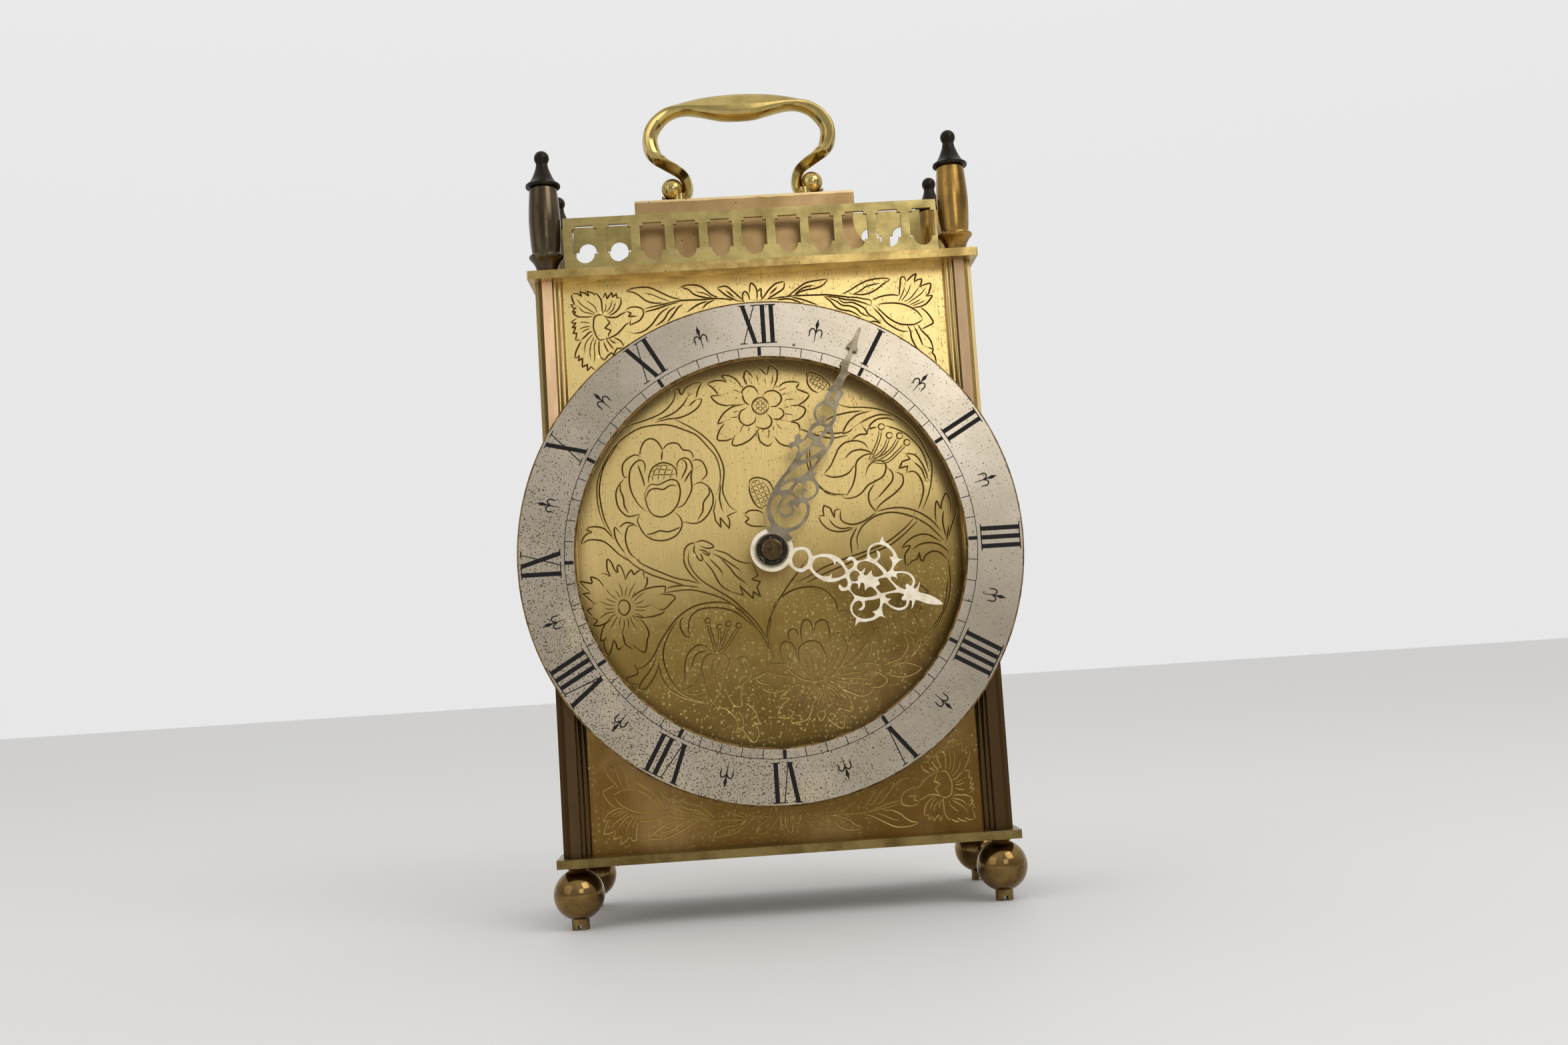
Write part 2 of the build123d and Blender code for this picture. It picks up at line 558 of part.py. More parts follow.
def finial_barrel():
    """The finial's brass barrel with a cone and a ring at its foot."""
    ring_low = FINIAL_RING_Z
    ring_high = ring_low + FINIAL_RING_THICK
    belly_z = (BARREL_FOOT_Z + BARREL_HEIGHT) / 2
    solid = turned(
        Polyline(point(0, 0), point(FINIAL_NECK_RADIUS, 0),
                 point(FINIAL_NECK_RADIUS, FINIAL_NECK_HEIGHT),
                 point(FINIAL_CONE_RADIUS, FINIAL_NECK_HEIGHT + 1),
                 point(FINIAL_RING_RADIUS, ring_low), point(FINIAL_RING_RADIUS, ring_high),
                 point(BARREL_FOOT_RADIUS, BARREL_FOOT_Z)),
        ThreePointArc(point(BARREL_FOOT_RADIUS, BARREL_FOOT_Z),
                      point(BARREL_BELLY_RADIUS, belly_z),
                      point(BARREL_TOP_RADIUS, BARREL_HEIGHT)),
        Polyline(point(BARREL_TOP_RADIUS, BARREL_HEIGHT), point(0, BARREL_HEIGHT), point(0, 0)))
    return Pos(0, 0, TOP_TOP) * (solid - rod_z(ROD_HOLE, 0, 0, -CUT, BARREL_HEIGHT + CUT))


def finial_cap():
    """The finial's dark cap: a rim, a hollow-sided spire and a ball."""
    rim_z = CAP_RIM_THICK
    waist_r = (CAP_RIM_RADIUS + CAP_NECK_RADIUS) / 2 - CAP_HOLLOW
    waist_z = rim_z + (CAP_NECK_Z - rim_z) * CAP_WAIST_AT
    neck = point(CAP_NECK_RADIUS, CAP_NECK_Z)
    solid = turned(
        Polyline(point(0, 0), point(CAP_RIM_RADIUS - CAP_RIM_CHAMFER, 0),
                 point(CAP_RIM_RADIUS, CAP_RIM_CHAMFER), point(CAP_RIM_RADIUS, rim_z)),
        ThreePointArc(point(CAP_RIM_RADIUS, rim_z), point(waist_r, waist_z), neck),
        Polyline(neck, point(CAP_STEM_RADIUS, CAP_NECK_Z), point(CAP_STEM_RADIUS, CAP_BALL_Z),
                 point(0, CAP_BALL_Z), point(0, 0)))
    solid += Pos(0, 0, CAP_BALL_Z) * Sphere(CAP_BALL_RADIUS)
    solid -= rod_z(ROD_HOLE, 0, 0, -CUT, ROD_IN_CAP + ROD_TIP_GAP)
    return Pos(0, 0, TOP_TOP + BARREL_HEIGHT) * solid


# ---------------------------------------------------------------- galleries and hood
def windows(count, shift, flip=False):
    """Pierced windows: upright sides, stepped shoulders on top and a round foot."""
    def height(z):
        turned_z = REAR_ARCH_TOP + WINDOW_FOOT_Z - WINDOW_NECK / 2 - z
        return TOP_TOP + (turned_z if flip else z)

    def opening(x, width, low, high):
        low, high = sorted((height(low), height(high)))
        return Pos(x, (low + high) / 2) * Rectangle(width, high - low)

    for index in range(count):
        x = shift + (index - (count - 1) / 2) * WINDOW_PITCH
        yield opening(x, WINDOW_WIDTH, WINDOW_FOOT_Z, WINDOW_SHOULDER_Z)
        yield opening(x, WINDOW_NECK, WINDOW_FOOT_Z, WINDOW_TOP_Z)
        yield Pos(x, height(WINDOW_FOOT_Z)) * Circle(WINDOW_NECK / 2)


def gallery_strip(half, rise, count, shift, tab_reach, flip=False):
    """A gallery drawn in X and Z: a pierced strip with two tabs for the top plate."""
    strip = Pos(0, TOP_TOP + rise / 2) * Rectangle(2 * half, rise)
    for x in (-tab_reach, tab_reach):
        strip += Pos(x, TOP_TOP - PLATE_THICK / 2) * Rectangle(TAB_WIDTH, PLATE_THICK)
    for hole in windows(count, shift, flip):
        strip -= hole
    return strip


def gallery_front():
    strip = gallery_strip(GALLERY_HALF, GALLERY_RISE, GALLERY_WINDOWS, GALLERY_SHIFT, TAB_REACH)
    return across(strip, GALLERY_FACE, GALLERY_FACE + GALLERY_THICK)


def gallery_rear():
    strip = gallery_strip(GALLERY_HALF, REAR_GALLERY_RISE, GALLERY_WINDOWS, -GALLERY_SHIFT,
                          TAB_REACH, flip=True)
    return across(strip, REAR_GALLERY_FACE, REAR_GALLERY_FACE + GALLERY_THICK)


def gallery_side(sx):
    half = ROD_Y - FINIAL_RING_RADIUS - GALLERY_END_GAP
    strip = gallery_strip(half, GALLERY_RISE, SIDE_GALLERY_WINDOWS, 0, SIDE_TAB_REACH)
    solid = across(strip, -GALLERY_THICK / 2, GALLERY_THICK / 2)
    return Pos(sx * ROD_X, 0, 0) * (Rot(0, 0, 90) * solid)


def hood_outline():
    """The hood's front: upright at the top, swept out to a wide foot."""
    top, shoulder, lip = HOOD_TOP, HOOD_TOP - HOOD_STRAIGHT, TOP_TOP + HOOD_LIP
    start, end = (HOOD_TOP_HALF, shoulder), (HOOD_FOOT_HALF, lip)
    dx, dz = end[0] - start[0], end[1] - start[1]
    mid = ((start[0] + end[0]) / 2 + HOOD_SWEEP * dz, (start[1] + end[1]) / 2 - HOOD_SWEEP * dx)

    def flip(p):
        return (-p[0], p[1])

    return make_face(Curve() + [
        Polyline(start, (HOOD_TOP_HALF, top), (-HOOD_TOP_HALF, top), flip(start)),
        ThreePointArc(flip(start), flip(mid), flip(end)),
        Polyline(flip(end), (-HOOD_FOOT_HALF, TOP_TOP), (HOOD_FOOT_HALF, TOP_TOP), end),
        ThreePointArc(end, mid, start)])


def hood():
    """A folded sheet hood, open below, with its front and back let in."""
    outline = hood_outline()
    hollow = offset(outline, amount=-HOOD_WALL, kind=Kind.INTERSECTION)
    shell = across(outline, HOOD_FRONT, HOOD_BACK)
    shell -= across(hollow, HOOD_FRONT + HOOD_WALL, HOOD_BACK - HOOD_WALL)
    mouth = HOOD_FOOT_HALF - HOOD_WALL
    shell -= block(-mouth, mouth, HOOD_FRONT + HOOD_WALL, HOOD_BACK - HOOD_WALL,
                   TOP_TOP - CUT, TOP_TOP + 2 * HOOD_WALL)
    for x in (-BOSS_X, BOSS_X):
        shell -= rod_z(HANDLE_SCREW_RADIUS + HANDLE_SCREW_FIT, x, HANDLE_Y,
                       HOOD_TOP - 2 * HOOD_WALL, HOOD_TOP + CUT)
    return Pos(HOOD_SHIFT, 0, 0) * shell


# ---------------------------------------------------------------- handle
def handle_section(index):
    """One cross-section of the handle: eight-sided, square to its spine."""
    x, z, width = HANDLE_SPINE[index]
    before = HANDLE_SPINE[max(index - 1, 0)]
    after = HANDLE_SPINE[min(index + 1, len(HANDLE_SPINE) - 1)]
    tangent = (after[0] - before[0], after[1] - before[1]) if index else (1.0, 0.0)
    length = hypot(*tangent)
    along = Vector(tangent[0] / length, 0, tangent[1] / length)
    frame = Plane(origin=(x, HANDLE_Y, HOOD_TOP + z), x_dir=(0, 1, 0), z_dir=along)
    half_thick, half_wide = HANDLE_THICK / 2, width / 2
    edge = min(HANDLE_EDGE, HANDLE_EDGE_SHARE * half_wide)
    eight = [(sx * a, sy * b) for sx, sy, pair in
             ((1, 1, 0), (-1, 1, 1), (-1, -1, 0), (1, -1, 1))
             for a, b in (((half_thick, half_wide - edge), (half_thick - edge, half_wide))
                          if pair == 0 else
                          ((half_thick - edge, half_wide), (half_thick, half_wide - edge)))]
    return frame * polygon(eight)


def handle_half():
    sections = [handle_section(index) for index in range(len(HANDLE_SPINE))]
    solid = loft(sections, ruled=True)
    solid += Pos(VOLUTE_X, HANDLE_Y, HOOD_TOP + VOLUTE_Z) * Sphere(VOLUTE_RADIUS)
    boss_top = HOOD_TOP + HANDLE_SCREW_DEEP + BOSS_ROOF
    solid += rod_z(BOSS_RADIUS, BOSS_X, HANDLE_Y, HOOD_TOP, boss_top)
    return solid - rod_z(HANDLE_SCREW_RADIUS + HANDLE_SCREW_FIT, BOSS_X, HANDLE_Y, HOOD_TOP - CUT,
                         HOOD_TOP + HANDLE_SCREW_DEEP + HANDLE_SCREW_FIT)


def handle():
    half = handle_half()
    return Pos(HOOD_SHIFT, 0, 0) * (half + mirror(half, about=Plane.YZ))


def handle_screws():
    under = HOOD_TOP - HOOD_WALL
    screws = Part()
    for x in (-BOSS_X, BOSS_X):
        screws += rod_z(HANDLE_SCREW_RADIUS, x, HANDLE_Y, under - SCREW_HEAD_THICK,
                        HOOD_TOP + HANDLE_SCREW_DEEP)
        screws += rod_z(SCREW_HEAD_RADIUS, x, HANDLE_Y, under - SCREW_HEAD_THICK, under)
    return Pos(HOOD_SHIFT, 0, 0) * screws


# ---------------------------------------------------------------- dial, ring and hands
def revolved_outline(profile, x, z, base, direction):
    """Solid of revolution about Y from radii and heights above a base plane."""
    points = [(radius, base + direction * height, 0) for radius, height in profile]
    points = [(0, points[0][1], 0), *points, (0, points[-1][1], 0)]
    return Pos(x, 0, z) * revolve(polygon(points), axis=Axis.Y)


def dial_plate():
    half = SIDE_LAND - (PILLAR_INNER - SLOT_BITE) - 2 * PANEL_FIT
    solid = block(-half, half, DIAL_FACE, DIAL_BACK, BASE_TOP, TOP_BOTTOM)
    return solid - rod_y(DIAL_HOLE_RADIUS, 0, AXIS_Z, DIAL_FACE - CUT, DIAL_BACK + CUT)


def chapter_ring():
    ring = Circle(RING_RADIUS) - Circle(RING_RADIUS - RING_WIDTH)
    solid = across(Pos(0, AXIS_Z) * ring, RING_FACE, RING_BACK)
    front_edges = solid.edges().group_by(Axis.Y)[0]
    return chamfer(front_edges, RING_CHAMFER)


def ring_posts():
    posts = Part()
    for angle in POST_ANGLES:
        x, z = bearing(angle, POST_CIRCLE)
        posts += rod_y(POST_RADIUS, x, AXIS_Z + z, RING_BACK, DIAL_FACE)
    return posts


def annulus(x, z, outer, inner):
    return Pos(x, z) * (Circle(outer) - Circle(inner))


def ribbon(stations):
    """A closed outline from stations: place up, place right, half width."""
    right = [(side + half, up) for up, side, half in stations]
    left = [(side - half, up) for up, side, half in reversed(stations)]
    return polygon(right + left)


def hour_hand_outline():
    """The pierced hour hand, pointing at twelve from the origin."""
    outline = Circle(HOUR_BOSS_RADIUS)
    for ring in HOUR_RINGS:
        outline += annulus(*ring)
    wide, tall = HOUR_OVAL
    oval = Ellipse(wide, tall) - Ellipse(wide - HOUR_OVAL_WALL, tall - HOUR_OVAL_WALL)
    outline += Pos(0, HOUR_OVAL_UP) * oval
    outline += ribbon([*HOUR_STEM, (HOUR_LENGTH, 0, TIP_HALF)])
    for side in (-1, 1):
        for barb in HOUR_BARBS:
            outline += polygon([(side * x, z) for x, z in barb])
    return outline


def minute_hand_outline():
    """The pierced minute hand, pointing at twelve from the origin."""
    outline = Circle(MINUTE_BOSS_RADIUS) + ribbon(MINUTE_ROOT) + ribbon(MINUTE_BODY)
    for x, z, radius in MINUTE_PIERCINGS:
        outline -= Pos(x, z) * Circle(radius)
    for ring in MINUTE_RINGS:
        outline += annulus(*ring)
    outline += ribbon([*MINUTE_SHAFT, (MINUTE_LENGTH, 0, TIP_HALF)])
    return outline - Pos(0, MINUTE_SLOT_UP) * Ellipse(*MINUTE_SLOT)


def hand(outline, bore, angle, front, back):
    """A sheet hand turned clockwise from twelve on the hands' axis."""
    solid = across(outline - Circle(bore), front, back)
    return Pos(0, 0, AXIS_Z) * (Rot(0, angle, 0) * solid)


def hand_nut():
    """The domed nut with its washer flange, screwed on the cannon tube."""
    solid = revolved_outline(NUT_PROFILE, 0, AXIS_Z, MINUTE_FACE, -1)
    bore_end = MINUTE_FACE - CANNON_IN_NUT - NUT_BORE_SPARE
    return solid - rod_y(CANNON_RADIUS + CANNON_BORE_FIT, 0, AXIS_Z, bore_end, MINUTE_FACE + CUT)


# ---------------------------------------------------------------- rear door
def rear_door():
    """A plate door on two pins, with a round hinge edge."""
    low, high = BASE_TOP + DOOR_END_GAP, TOP_BOTTOM - DOOR_END_GAP
    solid = block(-DOOR_HALF, HINGE_X, DOOR_BACK, DOOR_FACE, low, high)
    solid += rod_z(DOOR_THICK / 2, HINGE_X, HINGE_Y, low, high)
    solid += rod_z(DOOR_PIN_RADIUS, HINGE_X, HINGE_Y, BASE_TOP - DOOR_PIN_REACH,
                   TOP_BOTTOM + DOOR_PIN_REACH)
    return solid


def door_knob():
    """A turned pull knob, riveted to the door near its free edge."""
    return revolved_outline(KNOB_PROFILE, KNOB_FROM_EDGE - DOOR_HALF, AXIS_Z, DOOR_FACE, 1)


def door_catch():
    """A bent leaf on the base plate that holds the closed door by friction."""
    leaf_back = DOOR_BACK - PANEL_FIT
    middle = KNOB_FROM_EDGE - DOOR_HALF
    low, high = middle - CATCH_WIDTH / 2, middle + CATCH_WIDTH / 2
    foot = block(low, high, leaf_back - CATCH_LENGTH, leaf_back, BASE_TOP, BASE_TOP + CATCH_THICK)
    leaf = block(low, high, leaf_back - CATCH_THICK, leaf_back, BASE_TOP, BASE_TOP + CATCH_LENGTH)
    return foot + leaf


# ---------------------------------------------------------------- gears
def gear_outline(teeth, module, phase=0.0):
    """A toothed outline about the origin, one tooth centred on the phase angle."""
    pitch_radius = module * teeth / 2
    tip, root = pitch_radius + ADDENDUM * module, pitch_radius - DEDENDUM * module
    half_pitch = 180.0 / teeth
    points = []
    for index in range(teeth):
        middle = phase + 2 * index * half_pitch
        for radius, share in ((root, -TOOTH_ROOT / 2), (tip, -TOOTH_TIP / 2),
                              (tip, TOOTH_TIP / 2), (root, TOOTH_ROOT / 2)):
            points.append(bearing(middle + share * half_pitch, radius))
    return polygon(points)


def gear(teeth, module, x, z, front, back, phase=0.0):
    return across(Pos(x, z) * gear_outline(teeth, module, phase), front, back)


def crossings(teeth, module, x, z, front, back):
    """The round holes that lighten a wheel."""
    radius = module * teeth / 2
    holes = Part()
    for index in range(CROSSING_COUNT):
        dx, dz = bearing((index + 0.5) * 360 / CROSSING_COUNT, radius * CROSSING_AT)
        holes += rod_y(radius * CROSSING_RADIUS, x + dx, z + dz, front - CUT, back + CUT)
    return holes


def mesh_phase(line_angle, teeth, gap):
    """Phase that puts a tooth, or a gap, on the line towards the mating gear."""
    return line_angle + (180.0 / teeth if gap else 0.0)


def beyond(start, angle, distance):
    dx, dz = bearing(angle, distance)
    return start[0] + dx, start[1] + dz


CENTRE = (0.0, AXIS_Z)
MINUTE_ARBOR = beyond(CENTRE, -90, MOTION_DISTANCE)
SET_ARBOR = beyond(MINUTE_ARBOR, -90, MOTION_DISTANCE)
THIRD_ARBOR = beyond(CENTRE, THIRD_BEARING, THIRD_DISTANCE)
FOURTH_ARBOR = beyond(THIRD_ARBOR, FOURTH_BEARING, FOURTH_DISTANCE)
ESCAPE_ARBOR = beyond(FOURTH_ARBOR, ESCAPE_BEARING, ESCAPE_DISTANCE)
LEVER_PIVOT = beyond(ESCAPE_ARBOR, LEVER_BEARING, LEVER_DISTANCE)
BALANCE_STAFF = beyond(LEVER_PIVOT, BALANCE_BEARING, BALANCE_DISTANCE)


def plane_y(step):
    """Front face of a train wheel, counted from the centre wheel."""
    return FRAME_FRONT_BACK + FIRST_PLANE + step * PLANE_STEP


# ---------------------------------------------------------------- motion work
CANNON_TIP = MINUTE_FACE - CANNON_IN_NUT
MINUTE_WHEEL_BACK = FRAME_FRONT - MINUTE_WHEEL_GAP
MINUTE_WHEEL_FRONT = MINUTE_WHEEL_BACK - WHEEL_THICK
LONG_PINION_FRONT = MINUTE_WHEEL_FRONT - (PINION_LENGTH - WHEEL_THICK) / 2
LONG_PINION_BACK = LONG_PINION_FRONT + PINION_LENGTH


def cannon_pinion():
    solid = gear(CANNON_TEETH, MOTION_MODULE, *CENTRE, LONG_PINION_FRONT, LONG_PINION_BACK,
                 mesh_phase(-90, CANNON_TEETH, gap=False))
    solid += rod_y(CANNON_RADIUS, *CENTRE, CANNON_TIP, LONG_PINION_BACK)
    bore = CENTRE_ARBOR_RADIUS + CANNON_BORE_FIT
    return solid - rod_y(bore, *CENTRE, CANNON_TIP - CUT, LONG_PINION_BACK + CUT)


def hour_wheel():
    """The hour wheel with the pipe that carries the hour hand."""
    front = DIAL_BACK + HOUR_WHEEL_GAP
    back = front + WHEEL_THICK
    solid = gear(HOUR_TEETH, HOUR_MODULE, *CENTRE, front, back,
                 mesh_phase(-90, HOUR_TEETH, gap=False))
    solid += rod_y(HOUR_PIPE_RADIUS, *CENTRE, HOUR_FACE, back)
    solid += rod_y(HOUR_SHOULDER_RADIUS, *CENTRE, HOUR_BACK, HOUR_BACK + HOUR_SHOULDER)
    return solid - rod_y(CANNON_RADIUS + HOUR_PIPE_FIT, *CENTRE, HOUR_FACE - CUT, back + CUT)


def minute_wheel():
    """The minute wheel and its pinion on one hub, turning on the front plate's stud."""
    solid = gear(MINUTE_TEETH, MOTION_MODULE, *MINUTE_ARBOR, MINUTE_WHEEL_FRONT,
                 MINUTE_WHEEL_BACK, mesh_phase(90, MINUTE_TEETH, gap=True))
    solid += rod_y(MINUTE_HUB_RADIUS, *MINUTE_ARBOR, MINUTE_WHEEL_FRONT, FRAME_FRONT - END_SHAKE)
    solid += gear(MINUTE_PINION_TEETH, HOUR_MODULE, *MINUTE_ARBOR, DIAL_BACK + MINUTE_PINION_GAP,
                  MINUTE_WHEEL_FRONT, mesh_phase(90, MINUTE_PINION_TEETH, gap=True))
    bore = MINUTE_STUD_RADIUS + PIVOT_FIT
    return solid - rod_y(bore, *MINUTE_ARBOR, DIAL_BACK, FRAME_FRONT)


def set_knob():
    """The hand-setting knob with its arbor and pinion, through both movement plates."""
    knob_front = FRAME_REAR_BACK + SET_KNOB_GAP
    knob_back = knob_front + SET_KNOB_THICK
    solid = gear(CANNON_TEETH, MOTION_MODULE, *SET_ARBOR, LONG_PINION_FRONT, LONG_PINION_BACK,
                 mesh_phase(90, CANNON_TEETH, gap=False))
    solid += rod_y(SET_ARBOR_RADIUS, *SET_ARBOR, LONG_PINION_FRONT, knob_back)
    knurl_module = SET_KNOB_RADIUS / (SET_KNOB_KNURLS / 2 + ADDENDUM)
    return solid + gear(SET_KNOB_KNURLS, knurl_module, *SET_ARBOR, knob_front, knob_back)


# ---------------------------------------------------------------- going train
def train_wheel(teeth, arbor, step, line_angle):
    """A wheel with crossings on a plain arbor between the movement plates."""
    front = plane_y(step)
    back = front + WHEEL_THICK
    solid = gear(teeth, TRAIN_MODULE, *arbor, front, back,
                 mesh_phase(line_angle, teeth, gap=False))
    solid -= crossings(teeth, TRAIN_MODULE, *arbor, front, back)
    return solid + rod_y(ARBOR_RADIUS, *arbor, FRAME_FRONT, FRAME_REAR_BACK)


def train_pinion(arbor, step, line_angle):
    """The pinion that meshes with the wheel of this step."""
    front = plane_y(step) + (WHEEL_THICK - PINION_LENGTH) / 2
    return gear(TRAIN_PINION_TEETH, TRAIN_MODULE, *arbor, front, front + PINION_LENGTH,
                mesh_phase(line_angle, TRAIN_PINION_TEETH, gap=True))


def centre_wheel():
    solid = train_wheel(CENTRE_TEETH, CENTRE, 0, THIRD_BEARING)
    return solid + rod_y(CENTRE_ARBOR_RADIUS, *CENTRE, MINUTE_FACE, FRAME_REAR - END_SHAKE)


def third_wheel():
    return (train_wheel(THIRD_TEETH, THIRD_ARBOR, 1, FOURTH_BEARING)
            + train_pinion(THIRD_ARBOR, 0, THIRD_BEARING + 180))


def fourth_wheel():
    return (train_wheel(FOURTH_TEETH, FOURTH_ARBOR, 2, ESCAPE_BEARING)
            + train_pinion(FOURTH_ARBOR, 1, FOURTH_BEARING + 180))


def escape_wheel():
    """A wheel of pointed, leaning teeth with its pinion."""
    pitch = 360.0 / ESCAPE_TEETH
    points = [bearing((index + along) * pitch, ESCAPE_RADIUS * share)
              for index in range(ESCAPE_TEETH) for along, share in ESCAPE_TOOTH]
    front = plane_y(3)
    solid = across(Pos(*ESCAPE_ARBOR) * polygon(points), front, front + WHEEL_THICK)
    solid += rod_y(ARBOR_RADIUS, *ESCAPE_ARBOR, FRAME_FRONT, FRAME_REAR_BACK)
    return solid + train_pinion(ESCAPE_ARBOR, 2, ESCAPE_BEARING + 180)


def pallet_lever():
    """The lever between the escape wheel and the balance, clear of both."""
    front = plane_y(3)
    to_wheel = LEVER_DISTANCE - ESCAPE_RADIUS - LEVER_CLEAR
    to_roller = BALANCE_DISTANCE - ROLLER_RADIUS - FORK_CLEAR
    arm = Pos(to_wheel / 2, 0) * Rectangle(to_wheel, LEVER_ARM)
    fork = Pos(to_roller / 2, 0) * Rectangle(to_roller, FORK_ARM)
    fork -= Pos(to_roller, 0) * Rectangle(2 * FORK_DEEP, FORK_NOTCH)
    sketch = Rot(0, 0, LEVER_BEARING + 180) * arm + Rot(0, 0, BALANCE_BEARING) * fork
    sketch += Circle(LEVER_HUB_RADIUS)
    solid = across(Pos(*LEVER_PIVOT) * sketch, front, front + WHEEL_THICK)
    return solid + rod_y(ARBOR_RADIUS, *LEVER_PIVOT, FRAME_FRONT, FRAME_REAR_BACK)


# ---------------------------------------------------------------- balance
BALANCE_FRONT = FRAME_REAR_BACK + BALANCE_GAP
COCK_FRONT = FRAME_REAR_BACK + COCK_GAP
COCK_BACK = COCK_FRONT + COCK_THICK
SPRING_BACK = COCK_FRONT - HAIRSPRING_UNDER
SPRING_FRONT = SPRING_BACK - HAIRSPRING_BAND


def balance_wheel():
    """A spoked balance on its staff, with the roller that meets the lever's fork."""
    sketch = annulus(0, 0, BALANCE_RADIUS, BALANCE_RADIUS - BALANCE_RIM)
    spokes = Rectangle(2 * BALANCE_RADIUS - BALANCE_RIM, BALANCE_SPOKE)
    sketch += Rot(0, 0, BALANCE_TURN) * spokes + Circle(BALANCE_HUB_RADIUS)
    solid = across(Pos(*BALANCE_STAFF) * sketch, BALANCE_FRONT, BALANCE_FRONT + BALANCE_THICK)
    solid += rod_y(ARBOR_RADIUS, *BALANCE_STAFF, FRAME_FRONT, COCK_BACK - END_SHAKE)
    return solid + rod_y(ROLLER_RADIUS, *BALANCE_STAFF, plane_y(3), plane_y(3) + WHEEL_THICK)


def hairspring():
    """A flat spiral ribbon around the balance staff."""
    inner, outer = [], []
    count = HAIRSPRING_TURNS * HAIRSPRING_STEPS
    for index in range(count + 1):
        radius = COLLET_GAP + (HAIRSPRING_RADIUS - COLLET_GAP) * index / count
        angle = index * 360.0 / HAIRSPRING_STEPS
        inner.append(bearing(angle, radius - HAIRSPRING_WIRE / 2))
        outer.append(bearing(angle, radius + HAIRSPRING_WIRE / 2))
    sketch = polygon(outer + inner[::-1])
    return across(Pos(*BALANCE_STAFF) * sketch, SPRING_FRONT, SPRING_BACK)


def balance_cock():
    """The bridge that holds the staff's rear pivot, its foot and the hairspring's stud."""
    foot = (COCK_FOOT_X, AXIS_Z + COCK_FOOT_Z)
    dx, dz = foot[0] - BALANCE_STAFF[0], foot[1] - BALANCE_STAFF[1]
    middle = (BALANCE_STAFF[0] + dx / 2, BALANCE_STAFF[1] + dz / 2)
    turn = Rot(0, 0, degrees(atan2(dz, dx)))
    sketch = Pos(*middle) * (turn * SlotCenterToCenter(hypot(dx, dz), COCK_WIDTH))
    stud_x = HAIRSPRING_RADIUS + HAIRSPRING_WIRE / 2 + STUD_RADIUS
    sketch += Pos(*BALANCE_STAFF) * (Pos(stud_x / 2, 0) * SlotCenterToCenter(stud_x, STUD_ARM))
    solid = across(sketch, COCK_FRONT, COCK_BACK)
    solid += rod_y(COCK_WIDTH / 2, *foot, FRAME_REAR_BACK, COCK_FRONT)
    solid += rod_y(STUD_RADIUS, BALANCE_STAFF[0] + stud_x, BALANCE_STAFF[1], SPRING_FRONT,
                   COCK_FRONT)
    solid += rod_y(COCK_BOSS_RADIUS, *BALANCE_STAFF, COCK_BACK, COCK_BACK + COCK_BOSS)
    return solid - rod_y(ARBOR_RADIUS + PIVOT_FIT, *BALANCE_STAFF, COCK_FRONT - CUT, COCK_BACK)


def rating_lever():
    """The regulator: a ring on the cock's boss with a pointer."""
    inner = COCK_BOSS_RADIUS + PIVOT_FIT
    outer = inner + RATING_RING_WALL
    wide, narrow = RATING_POINTER
    pointer = polygon([(-wide, inner), (wide, inner), (narrow, RATING_LEVER_LENGTH),
                       (-narrow, RATING_LEVER_LENGTH)])
    sketch = Circle(outer) + pointer - Circle(inner)
    front = COCK_BACK + PANEL_FIT
    return across(Pos(*BALANCE_STAFF) * sketch, front, front + RATING_LEVER_THICK)


def drive_coil():
    """The impulse coil: a winding between two flanges on a core."""
    place = (COIL_X, AXIS_Z + COIL_Z)
    front, back = FRAME_REAR_BACK, FRAME_REAR_BACK + COIL_LENGTH
    solid = rod_y(COIL_RADIUS - COIL_FLANGE_STEP, *place, front, back)
    solid += rod_y(COIL_RADIUS, *place, front, front + COIL_FLANGE)
    return solid + rod_y(COIL_RADIUS, *place, back - COIL_FLANGE, back)


# ---------------------------------------------------------------- movement frame and battery
PIVOTS = ((THIRD_ARBOR, ARBOR_RADIUS), (FOURTH_ARBOR, ARBOR_RADIUS), (ESCAPE_ARBOR, ARBOR_RADIUS),
          (LEVER_PIVOT, ARBOR_RADIUS), (BALANCE_STAFF, ARBOR_RADIUS), (SET_ARBOR, SET_ARBOR_RADIUS))


def four_posts(x, z, front, back):
    """Four posts placed evenly about the hands' axis."""
    return Part() + [rod_y(FRAME_PILLAR_RADIUS, sx * x, AXIS_Z + sz * z, front, back)
                     for sx in (-1, 1) for sz in (-1, 1)]


def frame_plate(front, back, centre_radius):
    """A movement plate with its pivot holes."""
    solid = block(-FRAME_LEFT, FRAME_RIGHT, front, back, AXIS_Z - FRAME_BOTTOM, AXIS_Z + FRAME_TOP)
    solid -= rod_y(centre_radius + PIVOT_FIT, *CENTRE, front - CUT, back + CUT)
    for arbor, radius in PIVOTS:
        solid -= rod_y(radius + PIVOT_FIT, *arbor, front - CUT, back + CUT)
    return solid


def movement_front_plate():
    solid = frame_plate(FRAME_FRONT, FRAME_FRONT_BACK, CENTRE_ARBOR_RADIUS)
    return solid + rod_y(MINUTE_STUD_RADIUS, *MINUTE_ARBOR, DIAL_BACK + MINUTE_PINION_GAP,
                         FRAME_FRONT_BACK)


def movement_back_plate():
    return frame_plate(FRAME_REAR, FRAME_REAR_BACK, ARBOR_RADIUS)


def movement_pillars():
    return four_posts(FRAME_PILLAR_X, FRAME_PILLAR_Z, FRAME_FRONT_BACK, FRAME_REAR)


def dial_posts():
    return four_posts(DIAL_POST_X, DIAL_POST_Z, DIAL_BACK, FRAME_FRONT)


